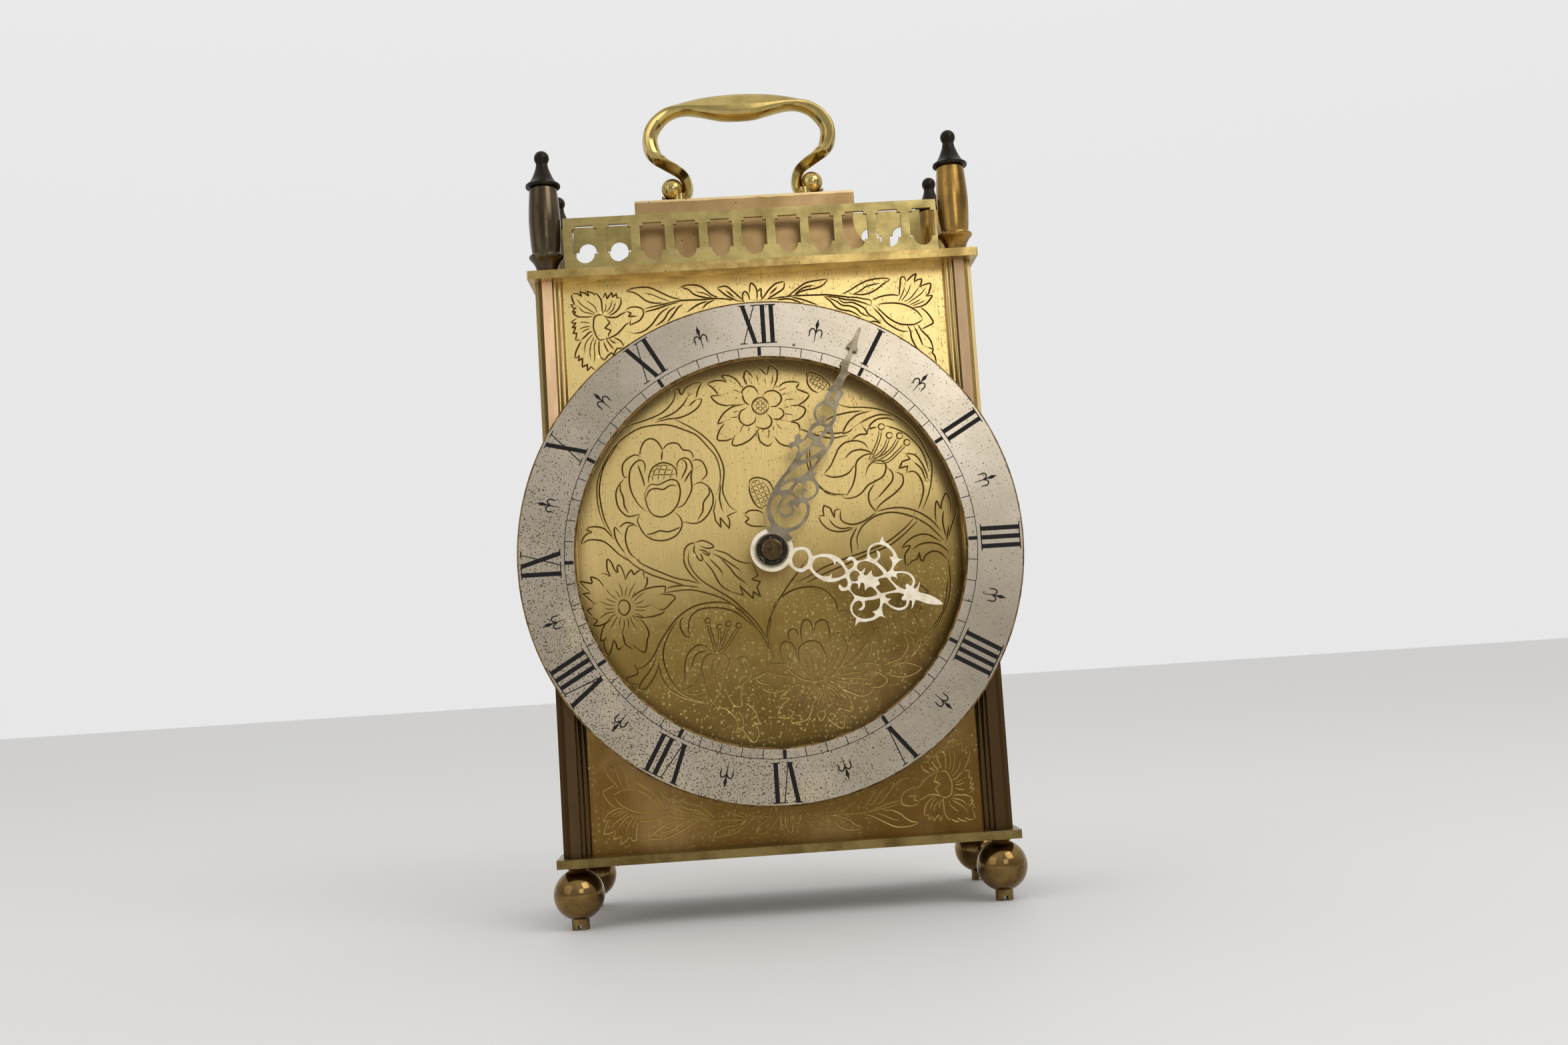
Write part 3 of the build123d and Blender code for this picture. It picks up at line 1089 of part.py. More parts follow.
BATTERY_Y = FRAME_FRONT + TRAY_CLEAR + BATTERY_RADIUS
TRAY_HALF = (BATTERY_LENGTH + CONTACT_SPRING + CONTACT_PLATE) / 2
TRAY_LOW = AXIS_Z - TRAY_HALF
TRAY_HIGH = AXIS_Z + TRAY_HALF
BATTERY_LOW = TRAY_LOW + CONTACT_SPRING


def battery_tray():
    """A bent tray on the movement's front plate with a lip under and over the battery."""
    x_low, x_high = FRAME_RIGHT - TRAY_OVERLAP, BATTERY_X + BATTERY_RADIUS + TRAY_MARGIN
    solid = block(x_low, x_high, FRAME_FRONT - TRAY_THICK, FRAME_FRONT,
                  TRAY_LOW - TRAY_THICK, TRAY_HIGH + TRAY_THICK)
    for low in (TRAY_LOW - TRAY_THICK, TRAY_HIGH):
        solid += block(BATTERY_X - BATTERY_RADIUS, x_high, FRAME_FRONT - TRAY_THICK,
                       FRAME_FRONT + TRAY_LIP, low, low + TRAY_THICK)
    return solid


def battery():
    shoulder = BATTERY_LOW + BATTERY_LENGTH - BATTERY_NUB
    solid = rod_z(BATTERY_RADIUS, BATTERY_X, BATTERY_Y, BATTERY_LOW, shoulder)
    return solid + rod_z(BATTERY_NUB_RADIUS, BATTERY_X, BATTERY_Y, shoulder,
                         BATTERY_LOW + BATTERY_LENGTH)


def battery_contacts():
    """The contact spring under the battery and the contact plate over its cap."""
    ring = Circle(CONTACT_SPRING_RADIUS) - Circle(CONTACT_SPRING_RADIUS - CONTACT_SPRING_WIRE)
    spring = upright(Pos(BATTERY_X, BATTERY_Y) * ring, TRAY_LOW, TRAY_LOW + CONTACT_SPRING)
    cap_plate = rod_z(CONTACT_PLATE_RADIUS, BATTERY_X, BATTERY_Y, TRAY_HIGH - CONTACT_PLATE,
                      TRAY_HIGH)
    return Part() + [spring, cap_plate]


# ---------------------------------------------------------------- assembly
def build_corners():
    """The four corners of the case: pillar, foot, finial and their long rod and nut."""
    nuts = Part()
    for name, sx, sy in corners():
        spot = Pos(sx * ROD_X, sy * ROD_Y, 0)
        keep(f"pillar_{name}", pillar(sx, sy))
        keep(f"foot_{name}", spot * foot_ball())
        keep(f"finial_barrel_{name}", spot * finial_barrel())
        keep(f"finial_cap_{name}", spot * finial_cap())
        nuts += spot * foot_nut()
    keep("foot_nuts", nuts)
    keep("tie_rods", tie_rods())


def build_hands():
    keep("hour_hand", hand(hour_hand_outline(), HOUR_PIPE_RADIUS, HOUR_ANGLE,
                           HOUR_FACE, HOUR_BACK))
    keep("minute_hand", hand(minute_hand_outline(), CANNON_RADIUS, MINUTE_ANGLE,
                             MINUTE_FACE, MINUTE_BACK))


def build_sided():
    """The pieces that come as a left and a right one."""
    for side_name, sx in (("left", -1), ("right", 1)):
        keep(f"side_panel_{side_name}", side_panel(sx))
        keep(f"gallery_{side_name}", gallery_side(sx))


SINGLES = (top_plate, gallery_front, gallery_rear, hood, handle, handle_screws, dial_plate,
           chapter_ring, ring_posts, hand_nut, rear_door, door_knob, door_catch, cannon_pinion,
           hour_wheel, minute_wheel, set_knob, centre_wheel, third_wheel, fourth_wheel,
           escape_wheel, pallet_lever, balance_wheel, hairspring, balance_cock, rating_lever,
           drive_coil, movement_front_plate, movement_back_plate, movement_pillars, dial_posts,
           battery_tray, battery, battery_contacts)

keep("base_plate", plate(BASE_BOTTOM, BASE_TOP))
build_corners()
build_sided()
build_hands()
for make in SINGLES:
    keep(make.__name__, make())

os.makedirs("parts", exist_ok=True)
for part_name, part_solid in PARTS.items():
    export_step(part_solid, f"parts/{part_name}.step")
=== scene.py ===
"""Visible model of a brass lantern clock with a carrying handle.

The clock stands on four ball feet. Its front faces -Y, X runs to its right and
Z points up. Sizes in the classes are millimetres; the meshes are in metres.
Each part of the clock is a class that builds its meshes and dresses them.
"""

import json
import logging
import math
from contextlib import contextmanager
from dataclasses import dataclass
from enum import Enum
from typing import Any, Callable, Iterable, Iterator, Sequence, Union

import bpy
import numpy as np
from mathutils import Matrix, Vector
from mathutils.geometry import delaunay_2d_cdt

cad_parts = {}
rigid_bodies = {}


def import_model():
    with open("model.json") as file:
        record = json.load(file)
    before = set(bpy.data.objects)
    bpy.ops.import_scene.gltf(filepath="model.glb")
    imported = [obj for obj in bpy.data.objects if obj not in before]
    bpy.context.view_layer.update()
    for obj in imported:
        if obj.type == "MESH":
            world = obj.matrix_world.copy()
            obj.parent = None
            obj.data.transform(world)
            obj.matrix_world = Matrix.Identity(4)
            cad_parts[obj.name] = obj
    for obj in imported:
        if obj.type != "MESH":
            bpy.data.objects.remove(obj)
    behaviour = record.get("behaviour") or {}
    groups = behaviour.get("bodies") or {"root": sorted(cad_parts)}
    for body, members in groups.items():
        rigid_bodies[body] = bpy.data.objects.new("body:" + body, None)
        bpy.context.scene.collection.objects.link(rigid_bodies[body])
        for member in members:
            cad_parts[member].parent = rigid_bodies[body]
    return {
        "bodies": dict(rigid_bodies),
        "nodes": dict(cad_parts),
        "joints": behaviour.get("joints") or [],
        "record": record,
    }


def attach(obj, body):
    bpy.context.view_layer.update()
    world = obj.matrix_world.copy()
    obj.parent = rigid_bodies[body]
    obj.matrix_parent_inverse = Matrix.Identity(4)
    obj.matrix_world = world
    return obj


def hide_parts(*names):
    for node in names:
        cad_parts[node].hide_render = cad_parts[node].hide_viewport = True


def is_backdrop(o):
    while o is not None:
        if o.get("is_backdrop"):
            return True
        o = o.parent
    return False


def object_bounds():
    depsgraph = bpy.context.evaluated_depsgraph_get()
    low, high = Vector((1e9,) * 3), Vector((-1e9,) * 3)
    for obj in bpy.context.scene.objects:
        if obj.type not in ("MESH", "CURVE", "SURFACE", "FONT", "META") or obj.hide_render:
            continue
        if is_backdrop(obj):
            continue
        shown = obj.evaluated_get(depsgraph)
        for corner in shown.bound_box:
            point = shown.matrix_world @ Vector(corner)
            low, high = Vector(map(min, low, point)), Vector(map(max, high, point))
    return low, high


MM = 0.001
DIAL_RISE = 100.0            # hands' axis above the floor
LOG = logging.getLogger("lantern_clock")

Point = tuple[float, float]
Colour = tuple[float, float, float]
Piece = bpy.types.Object


class Grain(Enum):
    """Direction of the fine lines that brushing leaves in a metal."""

    NONE = "none"
    ALONG_X = "x"
    ALONG_Z = "z"
    ROUND = "round"


# ---------------- shader arithmetic
def math_node(operation: str, swapped: bool = False) -> Callable[..., "Value"]:
    """Makes a method that adds one Math node to its recipe.

    Args:
        operation: Blender's name of the operation.
        swapped: whether the value itself is the right-hand number.

    Returns:
        The method. It takes the other number, where the operation has one.
    """
    def method(value: "Value", other: "Number" = 0.0) -> "Value":
        first, second = (other, value) if swapped else (value, other)
        made = value.recipe.node("ShaderNodeMath", {"operation": operation},
                                 {0: first, 1: second})
        return Value(value.recipe, made.outputs[0])
    return method


class Value:
    """A number that varies over a surface, on which Python's arithmetic works."""

    __add__ = __radd__ = math_node("ADD")
    __sub__, __rsub__ = math_node("SUBTRACT"), math_node("SUBTRACT", swapped=True)
    __mul__ = __rmul__ = math_node("MULTIPLY")
    __truediv__ = math_node("DIVIDE")
    __abs__ = math_node("ABSOLUTE")
    most = math_node("MAXIMUM")
    root = math_node("SQRT")
    wave = math_node("SINE")
    turn = math_node("ARCTAN2")

    def __init__(self, recipe: "Recipe", socket: bpy.types.NodeSocket) -> None:
        """Keeps the socket that gives the number, and the recipe it belongs to."""
        self.recipe = recipe
        self.socket = socket

    def ease(self, start: float, end: float) -> "Value":
        """Smooth step.

        Args:
            start: value at which the result is 0.
            end: value at which the result is 1.

        Returns:
            A value from 0 to 1.
        """
        made = self.recipe.node(
            "ShaderNodeMapRange", {"interpolation_type": "SMOOTHSTEP"},
            {"Value": self, "From Min": start, "From Max": end, "To Min": 0.0, "To Max": 1.0})
        return Value(self.recipe, made.outputs[0])


Number = Union[Value, float]
Socket = Union[Value, bpy.types.NodeSocket]


class Wiring:
    """A node tree that is built node by node."""

    def __init__(self, tree: bpy.types.NodeTree) -> None:
        """Empties the tree."""
        self.tree = tree
        tree.nodes.clear()

    def feed(self, made: bpy.types.Node, values: dict[Any, Any]) -> None:
        """Sets or links a node's inputs.

        Args:
            made: the node.
            values: numbers, colours or links of its inputs, by name or place.
        """
        for key, value in values.items():
            if isinstance(value, Value):
                value = value.socket
            if isinstance(value, bpy.types.NodeSocket):
                self.tree.links.new(value, made.inputs[key])
            else:
                made.inputs[key].default_value = value

    def node(self, kind: str, settings: dict[str, Any] | None = None,
             values: dict[Any, Any] | None = None) -> bpy.types.Node:
        """Adds one node.

        Args:
            kind: Blender's type name of the node.
            settings: properties, set before anything is linked.
            values: what its inputs are fed.

        Returns:
            The new node.
        """
        made = self.tree.nodes.new(kind)
        for key, value in (settings or {}).items():
            setattr(made, key, value)
        self.feed(made, values or {})
        return made


class Recipe(Wiring):
    """The node tree of one finish, in millimetres of the object's own space."""

    def __init__(self, name: str, colour: Any) -> None:
        """Starts a finish of that name from one even colour."""
        self.material = bpy.data.materials.new(name)
        self.material.use_nodes = True
        super().__init__(self.material.node_tree)
        self.colour = colour
        output = self.node("ShaderNodeOutputMaterial")
        self.shader = self.node("ShaderNodeBsdfPrincipled")
        self.feed(output, {"Surface": self.shader.outputs[0]})
        coordinates = self.node("ShaderNodeTexCoord")
        self.place = self.node("ShaderNodeVectorMath", {"operation": "SCALE"},
                               {0: coordinates.outputs["Object"], "Scale": 1 / MM}).outputs[0]
        split = self.node("ShaderNodeSeparateXYZ", {}, {0: self.place})
        self.x, self.y, self.z = (Value(self, out) for out in split.outputs)

    def stretched(self, sizes: Sequence[float], shift: float = 0.0,
                  source: bpy.types.NodeSocket | None = None) -> bpy.types.NodeSocket:
        """Coordinates in which a unit is as long as each size along its axis.

        Args:
            sizes: lengths along X, Y and Z in millimetres.
            shift: distance moved, so that two patterns differ.
            source: coordinates to start from, the object's own if none.

        Returns:
            The vector socket.
        """
        made = self.node("ShaderNodeMapping", {}, {
            "Vector": source or self.place, "Scale": tuple(1 / size for size in sizes),
            "Location": (shift, shift * 0.7, shift * 1.3)})
        return made.outputs[0]

    def cloud(self, sizes: Sequence[float] | float, shift: float = 0.0, detail: float = 3.0,
              rough: float = 0.55, source: bpy.types.NodeSocket | None = None) -> Value:
        """Soft irregular pattern.

        Args:
            sizes: size of its patches in millimetres, one number or one for each axis.
            shift: distance moved.
            detail: number of finer layers.
            rough: strength of the finer layers.
            source: coordinates to start from.

        Returns:
            A value near 0.5, from about 0.2 to 0.8.
        """
        if not isinstance(sizes, (tuple, list)):
            sizes = (sizes,) * 3
        made = self.node("ShaderNodeTexNoise", {}, {
            "Vector": self.stretched(sizes, shift, source), "Scale": 1.0, "Detail": detail,
            "Roughness": rough})
        return Value(self, made.outputs[0])

    def spots(self, gap: float, radius: float, share: float, shift: float = 0.0,
              soft: float = 0.08) -> tuple[Value, Value]:
        """Scattered round spots of mixed sizes.

        Args:
            gap: usual distance between the places where a spot may be, in millimetres.
            radius: radius of the largest spots, as a share of the gap.
            share: share of those places that has a spot.
            shift: distance moved.
            soft: width of a spot's rim, as a share of the gap.

        Returns:
            The spots' mask, and the distance from each centre as a share of its radius.
        """
        made = self.node("ShaderNodeTexVoronoi", {}, {
            "Vector": self.stretched((gap,) * 3, shift), "Scale": 1.0, "Randomness": 1.0})
        distance = Value(self, made.outputs["Distance"])
        chance = self.node("ShaderNodeSeparateColor", {}, {0: made.outputs["Color"]})
        luck = Value(self, chance.outputs[0])
        size = Value(self, chance.outputs[1]) * (radius * 0.75) + radius * 0.25
        present = luck.ease(1.0 - share - 0.02, 1.0 - share + 0.02)
        return (size - distance).ease(0.0, soft) * present, distance / size

    def blend(self, share: Socket | float, first: Any, second: Any) -> bpy.types.NodeSocket:
        """Mixes two colours.

        Args:
            share: how much of the second colour there is.
            first: a colour or a colour's socket.
            second: a colour or a colour's socket.

        Returns:
            The mixed colour.
        """
        pair = [(*c, 1.0) if isinstance(c, tuple) else c for c in (first, second)]
        made = self.node("ShaderNodeMix", {"data_type": "RGBA"},
                         {0: share, 6: pair[0], 7: pair[1]})
        return made.outputs[2]

    def shade(self, colour: Any, strength: Number) -> bpy.types.NodeSocket:
        """Makes a colour lighter or darker by a factor."""
        return self.node("ShaderNodeVectorMath", {"operation": "SCALE"},
                         {0: colour, "Scale": strength}).outputs[0]

    def coat(self, share: Socket | float, colour: Any) -> None:
        """Lays a colour over the finish so far, as much of it as the share says."""
        self.colour = self.blend(share, self.colour, colour)

    def tone(self, strength: Number) -> None:
        """Makes the finish so far lighter or darker by a factor."""
        self.colour = self.shade(self.colour, strength)

    def streaks(self, grain: Grain, width: float, length: float) -> Value:
        """Fine parallel lines, as brushing leaves them.

        Args:
            grain: direction of the lines.
            width: width of a line in millimetres.
            length: length of a line in millimetres.

        Returns:
            A value near 0.5.
        """
        source = None
        sizes = {Grain.ALONG_X: (length, width, width), Grain.ALONG_Z: (width, width, length),
                 Grain.ROUND: (width, length, width), Grain.NONE: (width * 4,) * 3}[grain]
        if grain is Grain.ROUND:
            up = self.z - DIAL_RISE
            reach = (self.x * self.x + up * up).root()
            joined = self.node("ShaderNodeCombineXYZ", {},
                               {0: reach, 1: self.x.turn(up) * 60.0, 2: self.y})
            source = joined.outputs[0]
        coarse = tuple(size * 3.1 for size in sizes)
        return (self.cloud(sizes, 3.0, 2.0, 0.6, source) * 0.6
                + self.cloud(coarse, 8.0, 2.0, 0.5, source) * 0.4)

    def finish(self, roughness: Socket | float, metallic: Socket | float = 1.0,
               height: Value | None = None) -> bpy.types.Material:
        """Links the finish to its shader.

        Args:
            roughness: roughness or its socket.
            metallic: share of bare metal.
            height: relief in millimetres.

        Returns:
            The material.
        """
        self.feed(self.shader, {"Base Color": self.colour, "Roughness": roughness,
                                "Metallic": metallic})
        if height is not None:
            bump = self.node("ShaderNodeBump", {}, {"Strength": 1.0, "Distance": MM,
                                                    "Height": height})
            self.feed(self.shader, {"Normal": bump.outputs[0]})
        return self.material


# ---------------- finishes
@dataclass(frozen=True)
class Metal:
    """A metal with brushed grain, stains, pits and rubbed patches, and, where asked, painted shade
    towards the bottom.

    Attributes:
        name: the finish's name.
        clean: colour of the clean metal.
        stained: colour where it has darkened.
        share: share of the surface that has darkened, 0 to 1.
        patch: size of the dark patches in millimetres.
        roughness: how dull the clean metal is.
        spread: how much the dullness varies.
        grain: direction of the brushing.
        width: width of a brushed line in millimetres.
        length: length of a brushed line in millimetres.
        depth: relief of the brushing in millimetres.
        tint: how much the lines change the colour.
        pits: share of places with a dark pit.
        pit_gap: distance between those places in millimetres.
        pit_colour: colour of a pit.
        rubbed: colour where handling has kept the metal bright.
        rubbed_share: share of the surface that is rubbed.
        painted_shade_from: height below which painted shade starts to darken the metal.
        painted_shade_to: height below which the painted shade is full.
        dark: strength of the painted shade, as a factor on the colour.
        bright_from: height above which the upper edge is rubbed bright.
        metallic: share of bare metal.
    """

    name: str
    clean: Colour
    stained: Colour
    share: float = 0.4
    patch: float = 9.0
    roughness: float = 0.3
    spread: float = 0.1
    grain: Grain = Grain.NONE
    width: float = 0.22
    length: float = 30.0
    depth: float = 0.006
    tint: float = 0.25
    pits: float = 0.25
    pit_gap: float = 1.4
    pit_colour: Colour = (0.09, 0.06, 0.025)
    rubbed: Colour = (0.80, 0.62, 0.30)
    rubbed_share: float = 0.15
    painted_shade_from: float = 0.0
    painted_shade_to: float = 0.0
    dark: float = 1.0
    bright_from: float = 0.0
    metallic: float = 1.0

    def make(self) -> bpy.types.Material:
        """Builds the finish.

        Returns:
            The material.
        """
        recipe = Recipe(self.name, self.clean)
        middle = 0.5 + (0.5 - self.share) * 0.42
        stain = recipe.cloud(self.patch, 2.0, 4.0, 0.6).ease(middle - 0.22, middle + 0.22)
        lines = recipe.streaks(self.grain, self.width, self.length)
        rub_at = 0.5 + (0.5 - self.rubbed_share) * 0.42
        rub = recipe.cloud(self.patch * 0.45, 21.0, 5.0, 0.7).ease(rub_at, rub_at + 0.12)
        pit, _ = recipe.spots(self.pit_gap, 0.22, self.pits, 5.0)
        recipe.coat(stain, self.stained)
        recipe.coat(rub * 0.55, self.rubbed)
        if self.bright_from:
            edge = recipe.cloud((5.0, 5.0, 1.0), 71.0, 3.0) * 0.8 - 0.4 + recipe.z
            recipe.coat(edge.ease(self.bright_from, self.bright_from + 0.2) * 0.85, self.rubbed)
        shade = lines * (2.0 * self.tint) + (1.0 - self.tint)
        # painted shade: the metal is darkened towards the bottom, from painted_shade_from down to
        # painted_shade_to
        if self.dark < 1.0:
            shade = shade * (recipe.z.ease(self.painted_shade_to, self.painted_shade_from) * (1 - self.dark)
                             + self.dark)
        recipe.tone(shade)
        recipe.coat(pit * 0.85, self.pit_colour)
        dull = recipe.cloud(self.patch * 0.6, 33.0, 3.0)
        roughness = (dull * (2 * self.spread) + (self.roughness - self.spread)
                     + stain * 0.08 - rub * 0.05 + pit * 0.3)
        height = lines * self.depth - pit * (self.depth * 1.4)
        return recipe.finish(roughness, self.metallic, height)


@dataclass(frozen=True)
class Moulding:
    """The pillars' brass: pink rubbed lands between dark steps, bright beads, and painted light
    and shade.

    Attributes:
        name: the finish's name.
        land: colour of the flat lands.
        outer: colour of the outermost step.
        recess: colour of the steps and flats that lie deeper.
        bead: colour of the beads.
        brown: colour of the painted shade that all of it takes near the foot.
        side: how far the side lands stand from the middle.
        front: how far the front lands stand from the middle.
        middle: place of the middle from front to back.
        foot_shade_from: height below which painted shade starts to brown it.
        foot_shade_to: height below which the painted shade is full.
    """

    name: str = "pillar_moulded_brass"
    land: Colour = (0.66, 0.45, 0.265)
    outer: Colour = (0.42, 0.32, 0.14)
    recess: Colour = (0.16, 0.10, 0.030)
    bead: Colour = (0.62, 0.45, 0.19)
    brown: Colour = (0.05, 0.027, 0.009)
    side: float = 62.1
    front: float = 25.4
    middle: float = 2.0
    foot_shade_from: float = 136.0
    foot_shade_to: float = 62.0

    def make(self) -> bpy.types.Material:
        """Builds the finish.

        Returns:
            The material.
        """
        recipe = Recipe(self.name, self.recess)
        across, along = abs(recipe.x), abs(recipe.y - self.middle)
        land = across.ease(self.side - 0.10, self.side - 0.04).most(
            along.ease(self.front - 0.10, self.front - 0.04))
        outer = across.ease(self.side - 1.12, self.side - 1.02)
        bead = (1 - across.ease(self.side - 5.34, self.side - 5.2)).most(
            1 - along.ease(self.front - 5.34, self.front - 5.2))
        lines = recipe.streaks(Grain.ALONG_Z, 0.16, 34.0)
        speck, _ = recipe.spots(0.75, 0.24, 0.40, 5.0, 0.10)
        patch = recipe.cloud((3.0, 3.0, 16.0), 12.0, 4.0, 0.65).ease(0.40, 0.62)
        recipe.coat(outer, self.outer)
        recipe.coat(bead, self.bead)
        # painted light: the lands are painted lighter on the left pillars and darker on the right
        # ones
        worn = recipe.shade(self.land, 1.48 - recipe.x.ease(-70.0, 70.0) * 0.74)
        recipe.coat(land, worn)
        recipe.tone(lines * 0.36 + 0.82)
        recipe.coat(patch * 0.25, (0.34, 0.22, 0.10))
        recipe.coat(speck * 0.55, (0.14, 0.085, 0.03))
        # painted shade: all of it is darkened to brown near the foot
        low = 1 - (recipe.z + patch * 9.0).ease(self.foot_shade_to, self.foot_shade_from)
        recipe.coat(low * 0.94, self.brown)
        roughness = lines * 0.12 + 0.20 + land * 0.24 + speck * 0.2
        return recipe.finish(roughness, 1.0, lines * 0.006 - speck * 0.01)


@dataclass(frozen=True)
class DialBrass:
    """The dial plate's satin brass: clean above, browned (partly painted shade) and spotted below.

    Attributes:
        name: the finish's name.
        bright: colour at the top.
        warm: colour round the middle.
        brown: colour at the bottom.
        spot: colour of the pale spots in the browned part.
        line: colour of an engraved line.
        lit_line: colour of an engraved line's flank in the browned part.
    """

    name: str = "dial_plate_satin_brass"
    bright: Colour = (0.84, 0.63, 0.25)
    warm: Colour = (0.31, 0.20, 0.052)
    brown: Colour = (0.165, 0.09, 0.022)
    spot: Colour = (0.60, 0.475, 0.17)
    line: Colour = (0.19, 0.125, 0.036)
    lit_line: Colour = (0.86, 0.69, 0.28)

    def make(self) -> bpy.types.Material:
        """Builds the finish.

        Returns:
            The material.
        """
        recipe = Recipe(self.name, self.bright)
        up = recipe.z - DIAL_RISE
        drift = recipe.cloud((26.0, 26.0, 18.0), 4.0, 4.0, 0.6)
        # darker towards the bottom and the right: this browning is partly real tarnish and partly
        # painted shade
        height = up + (drift - 0.5) * 22.0 - recipe.x * 0.19
        low = 1 - height.ease(-50.0, -16.0)
        mid = 1 - height.ease(-19.0, 17.0)
        lines = recipe.streaks(Grain.ALONG_Z, 0.16, 11.0)
        small, _ = recipe.spots(1.15, 0.26, 0.46, 2.0, 0.05)
        dashes = recipe.cloud((0.26, 0.26, 1.0), 9.0, 2.0, 0.6).ease(0.58, 0.68)
        fine = dashes * recipe.cloud(9.0, 61.0, 3.0).ease(0.36, 0.56)
        pale, near = recipe.spots(1.45, 0.45, 0.74, 14.0, 0.05)
        paler = recipe.cloud(0.85, 23.0, 2.0, 0.5).ease(0.61, 0.66)
        centre = 1 - abs(recipe.x + 6.0).ease(14.0, 46.0)
        crowd = ((recipe.cloud(15.0, 41.0, 4.0, 0.6) + centre * 0.14).ease(0.46, 0.56)
                 * (up.ease(-66.0, -50.0) * 0.75 + 0.25))
        recipe.coat(mid, self.warm)
        recipe.coat(low, self.brown)
        blush = recipe.cloud(24.0, 60.0, 3.0).ease(0.45, 0.7)
        recipe.coat(blush * 0.14, (0.78, 0.52, 0.24))
        recipe.coat(mid * crowd * 0.08, self.spot)
        ring = near.ease(0.35, 0.75) * pale
        recipe.coat((pale * 0.35 + ring * 0.55) * mid * crowd, self.spot)
        recipe.coat(paler * 0.75 * mid * crowd, self.spot)
        # painted shade: the plate inside the chapter ring is darker, as where the ring shades it
        ring_shade = 1 - (recipe.x * recipe.x + up * up).root().ease(44.0, 60.0)
        # painted light: the plate is painted lighter to the left and darker to the right
        recipe.tone((lines * 0.55 + 0.73) * (1 - recipe.x * 0.0024) * (1.08 - ring_shade * 0.22))
        speck = (small * (1 - mid * 0.8)).most(fine * (height.ease(10.0, 60.0) * 0.7 + 0.3))
        recipe.coat(speck * 0.6, (0.24, 0.16, 0.045))
        cut = Value(recipe, recipe.node("ShaderNodeAttribute", {
            "attribute_type": "GEOMETRY", "attribute_name": "cut"}).outputs["Fac"])
        dark = cut.ease(0.02, 0.45)
        edge = recipe.blend(low * 0.95, self.line, self.lit_line)
        recipe.coat(dark * (1 - low * 0.25), edge)
        recipe.coat(cut.ease(0.68, 0.92) * (0.85 - mid * 0.2 - low * 0.35), (0.115, 0.07, 0.019))
        roughness = (recipe.cloud(20.0, 17.0) * 0.08 + 0.26 + low * 0.04 + speck * 0.15
                     + dark * 0.14)
        relief = lines * 0.010 - speck * 0.012
        return recipe.finish(roughness, 1.0, relief)


@dataclass(frozen=True)
class Silvered:
    """The chapter ring's silvered face, speckled, with bare brass at its edges and painted light.

    Attributes:
        name: the finish's name.
        silver: colour of the face.
        dull: colour where it has greyed.
        speck: colour of the specks.
        brass: colour of the bare edges.
        outer: radius at which the outer brass edge starts.
        inner: radius at which the inner brass edge ends.
    """

    name: str = "chapter_ring_silvered"
    silver: Colour = (0.62, 0.535, 0.425)
    dull: Colour = (0.55, 0.475, 0.36)
    speck: Colour = (0.085, 0.052, 0.018)
    brass: Colour = (0.28, 0.175, 0.06)
    outer: float = 69.5
    inner: float = 54.42

    def make(self) -> bpy.types.Material:
        """Builds the finish.

        Returns:
            The material.
        """
        recipe = Recipe(self.name, self.silver)
        up = recipe.z - DIAL_RISE
        reach = (recipe.x * recipe.x + up * up).root()
        lines = recipe.streaks(Grain.ROUND, 0.20, 26.0)
        ragged = (recipe.cloud(1.3, 3.0, 4.0, 0.7) - 0.5) * 0.55
        rim = (reach + ragged).ease(self.outer - 0.06, self.outer + 0.10).most(
            1 - (reach + ragged * 0.8).ease(self.inner - 0.10, self.inner + 0.06))
        back = recipe.y.ease(-28.7, -28.4)
        grey = recipe.cloud(24.0, 12.0, 4.0, 0.6).ease(0.42, 0.62)
        # specks crowd towards the lower left, where the lacquer has gone
        lower_left = (recipe.x * -0.8 - up * 0.55).ease(-45.0, 60.0)
        crowd = (recipe.cloud(7.0, 51.0, 4.0, 0.65) + lower_left * 0.26).ease(0.46, 0.66)
        dense = crowd * (lower_left * 0.85 + 0.15)
        small = (recipe.cloud(0.45, 6.0, 1.0, 0.5) + dense * 0.105).ease(0.690, 0.720)
        medium, _ = recipe.spots(1.3, 0.24, 0.55, 31.0, 0.05)
        large, _ = recipe.spots(5.5, 0.12, 0.34, 77.0, 0.02)
        specks = small.most(medium * (crowd * 0.5 + 0.45)).most(large * 0.8)
        recipe.coat(grey, self.dull)
        warm = recipe.cloud(9.0, 71.0, 3.0).ease(0.5, 0.7)
        recipe.coat(warm * lower_left * 0.5, (0.86, 0.72, 0.48))
        # painted light: the face is painted lighter towards the top and the lower left, darker
        # towards the lower right
        recipe.tone((lines * 0.24 + 0.88)
                    * (up.ease(-70.0, 40.0) * 0.22 + lower_left * 0.16 + 0.70))
        recipe.coat(specks * 0.92, self.speck)
        edge = recipe.blend(recipe.cloud(2.2, 81.0, 4.0).ease(0.4, 0.65), self.brass,
                            (0.09, 0.052, 0.018))
        recipe.coat(rim.most(back), edge)
        roughness = recipe.cloud(10.0, 19.0) * 0.10 + 0.20 + specks * 0.25 + rim * 0.12
        relief = lines * 0.006 - specks * 0.012
        return recipe.finish(roughness, 1.0, relief)


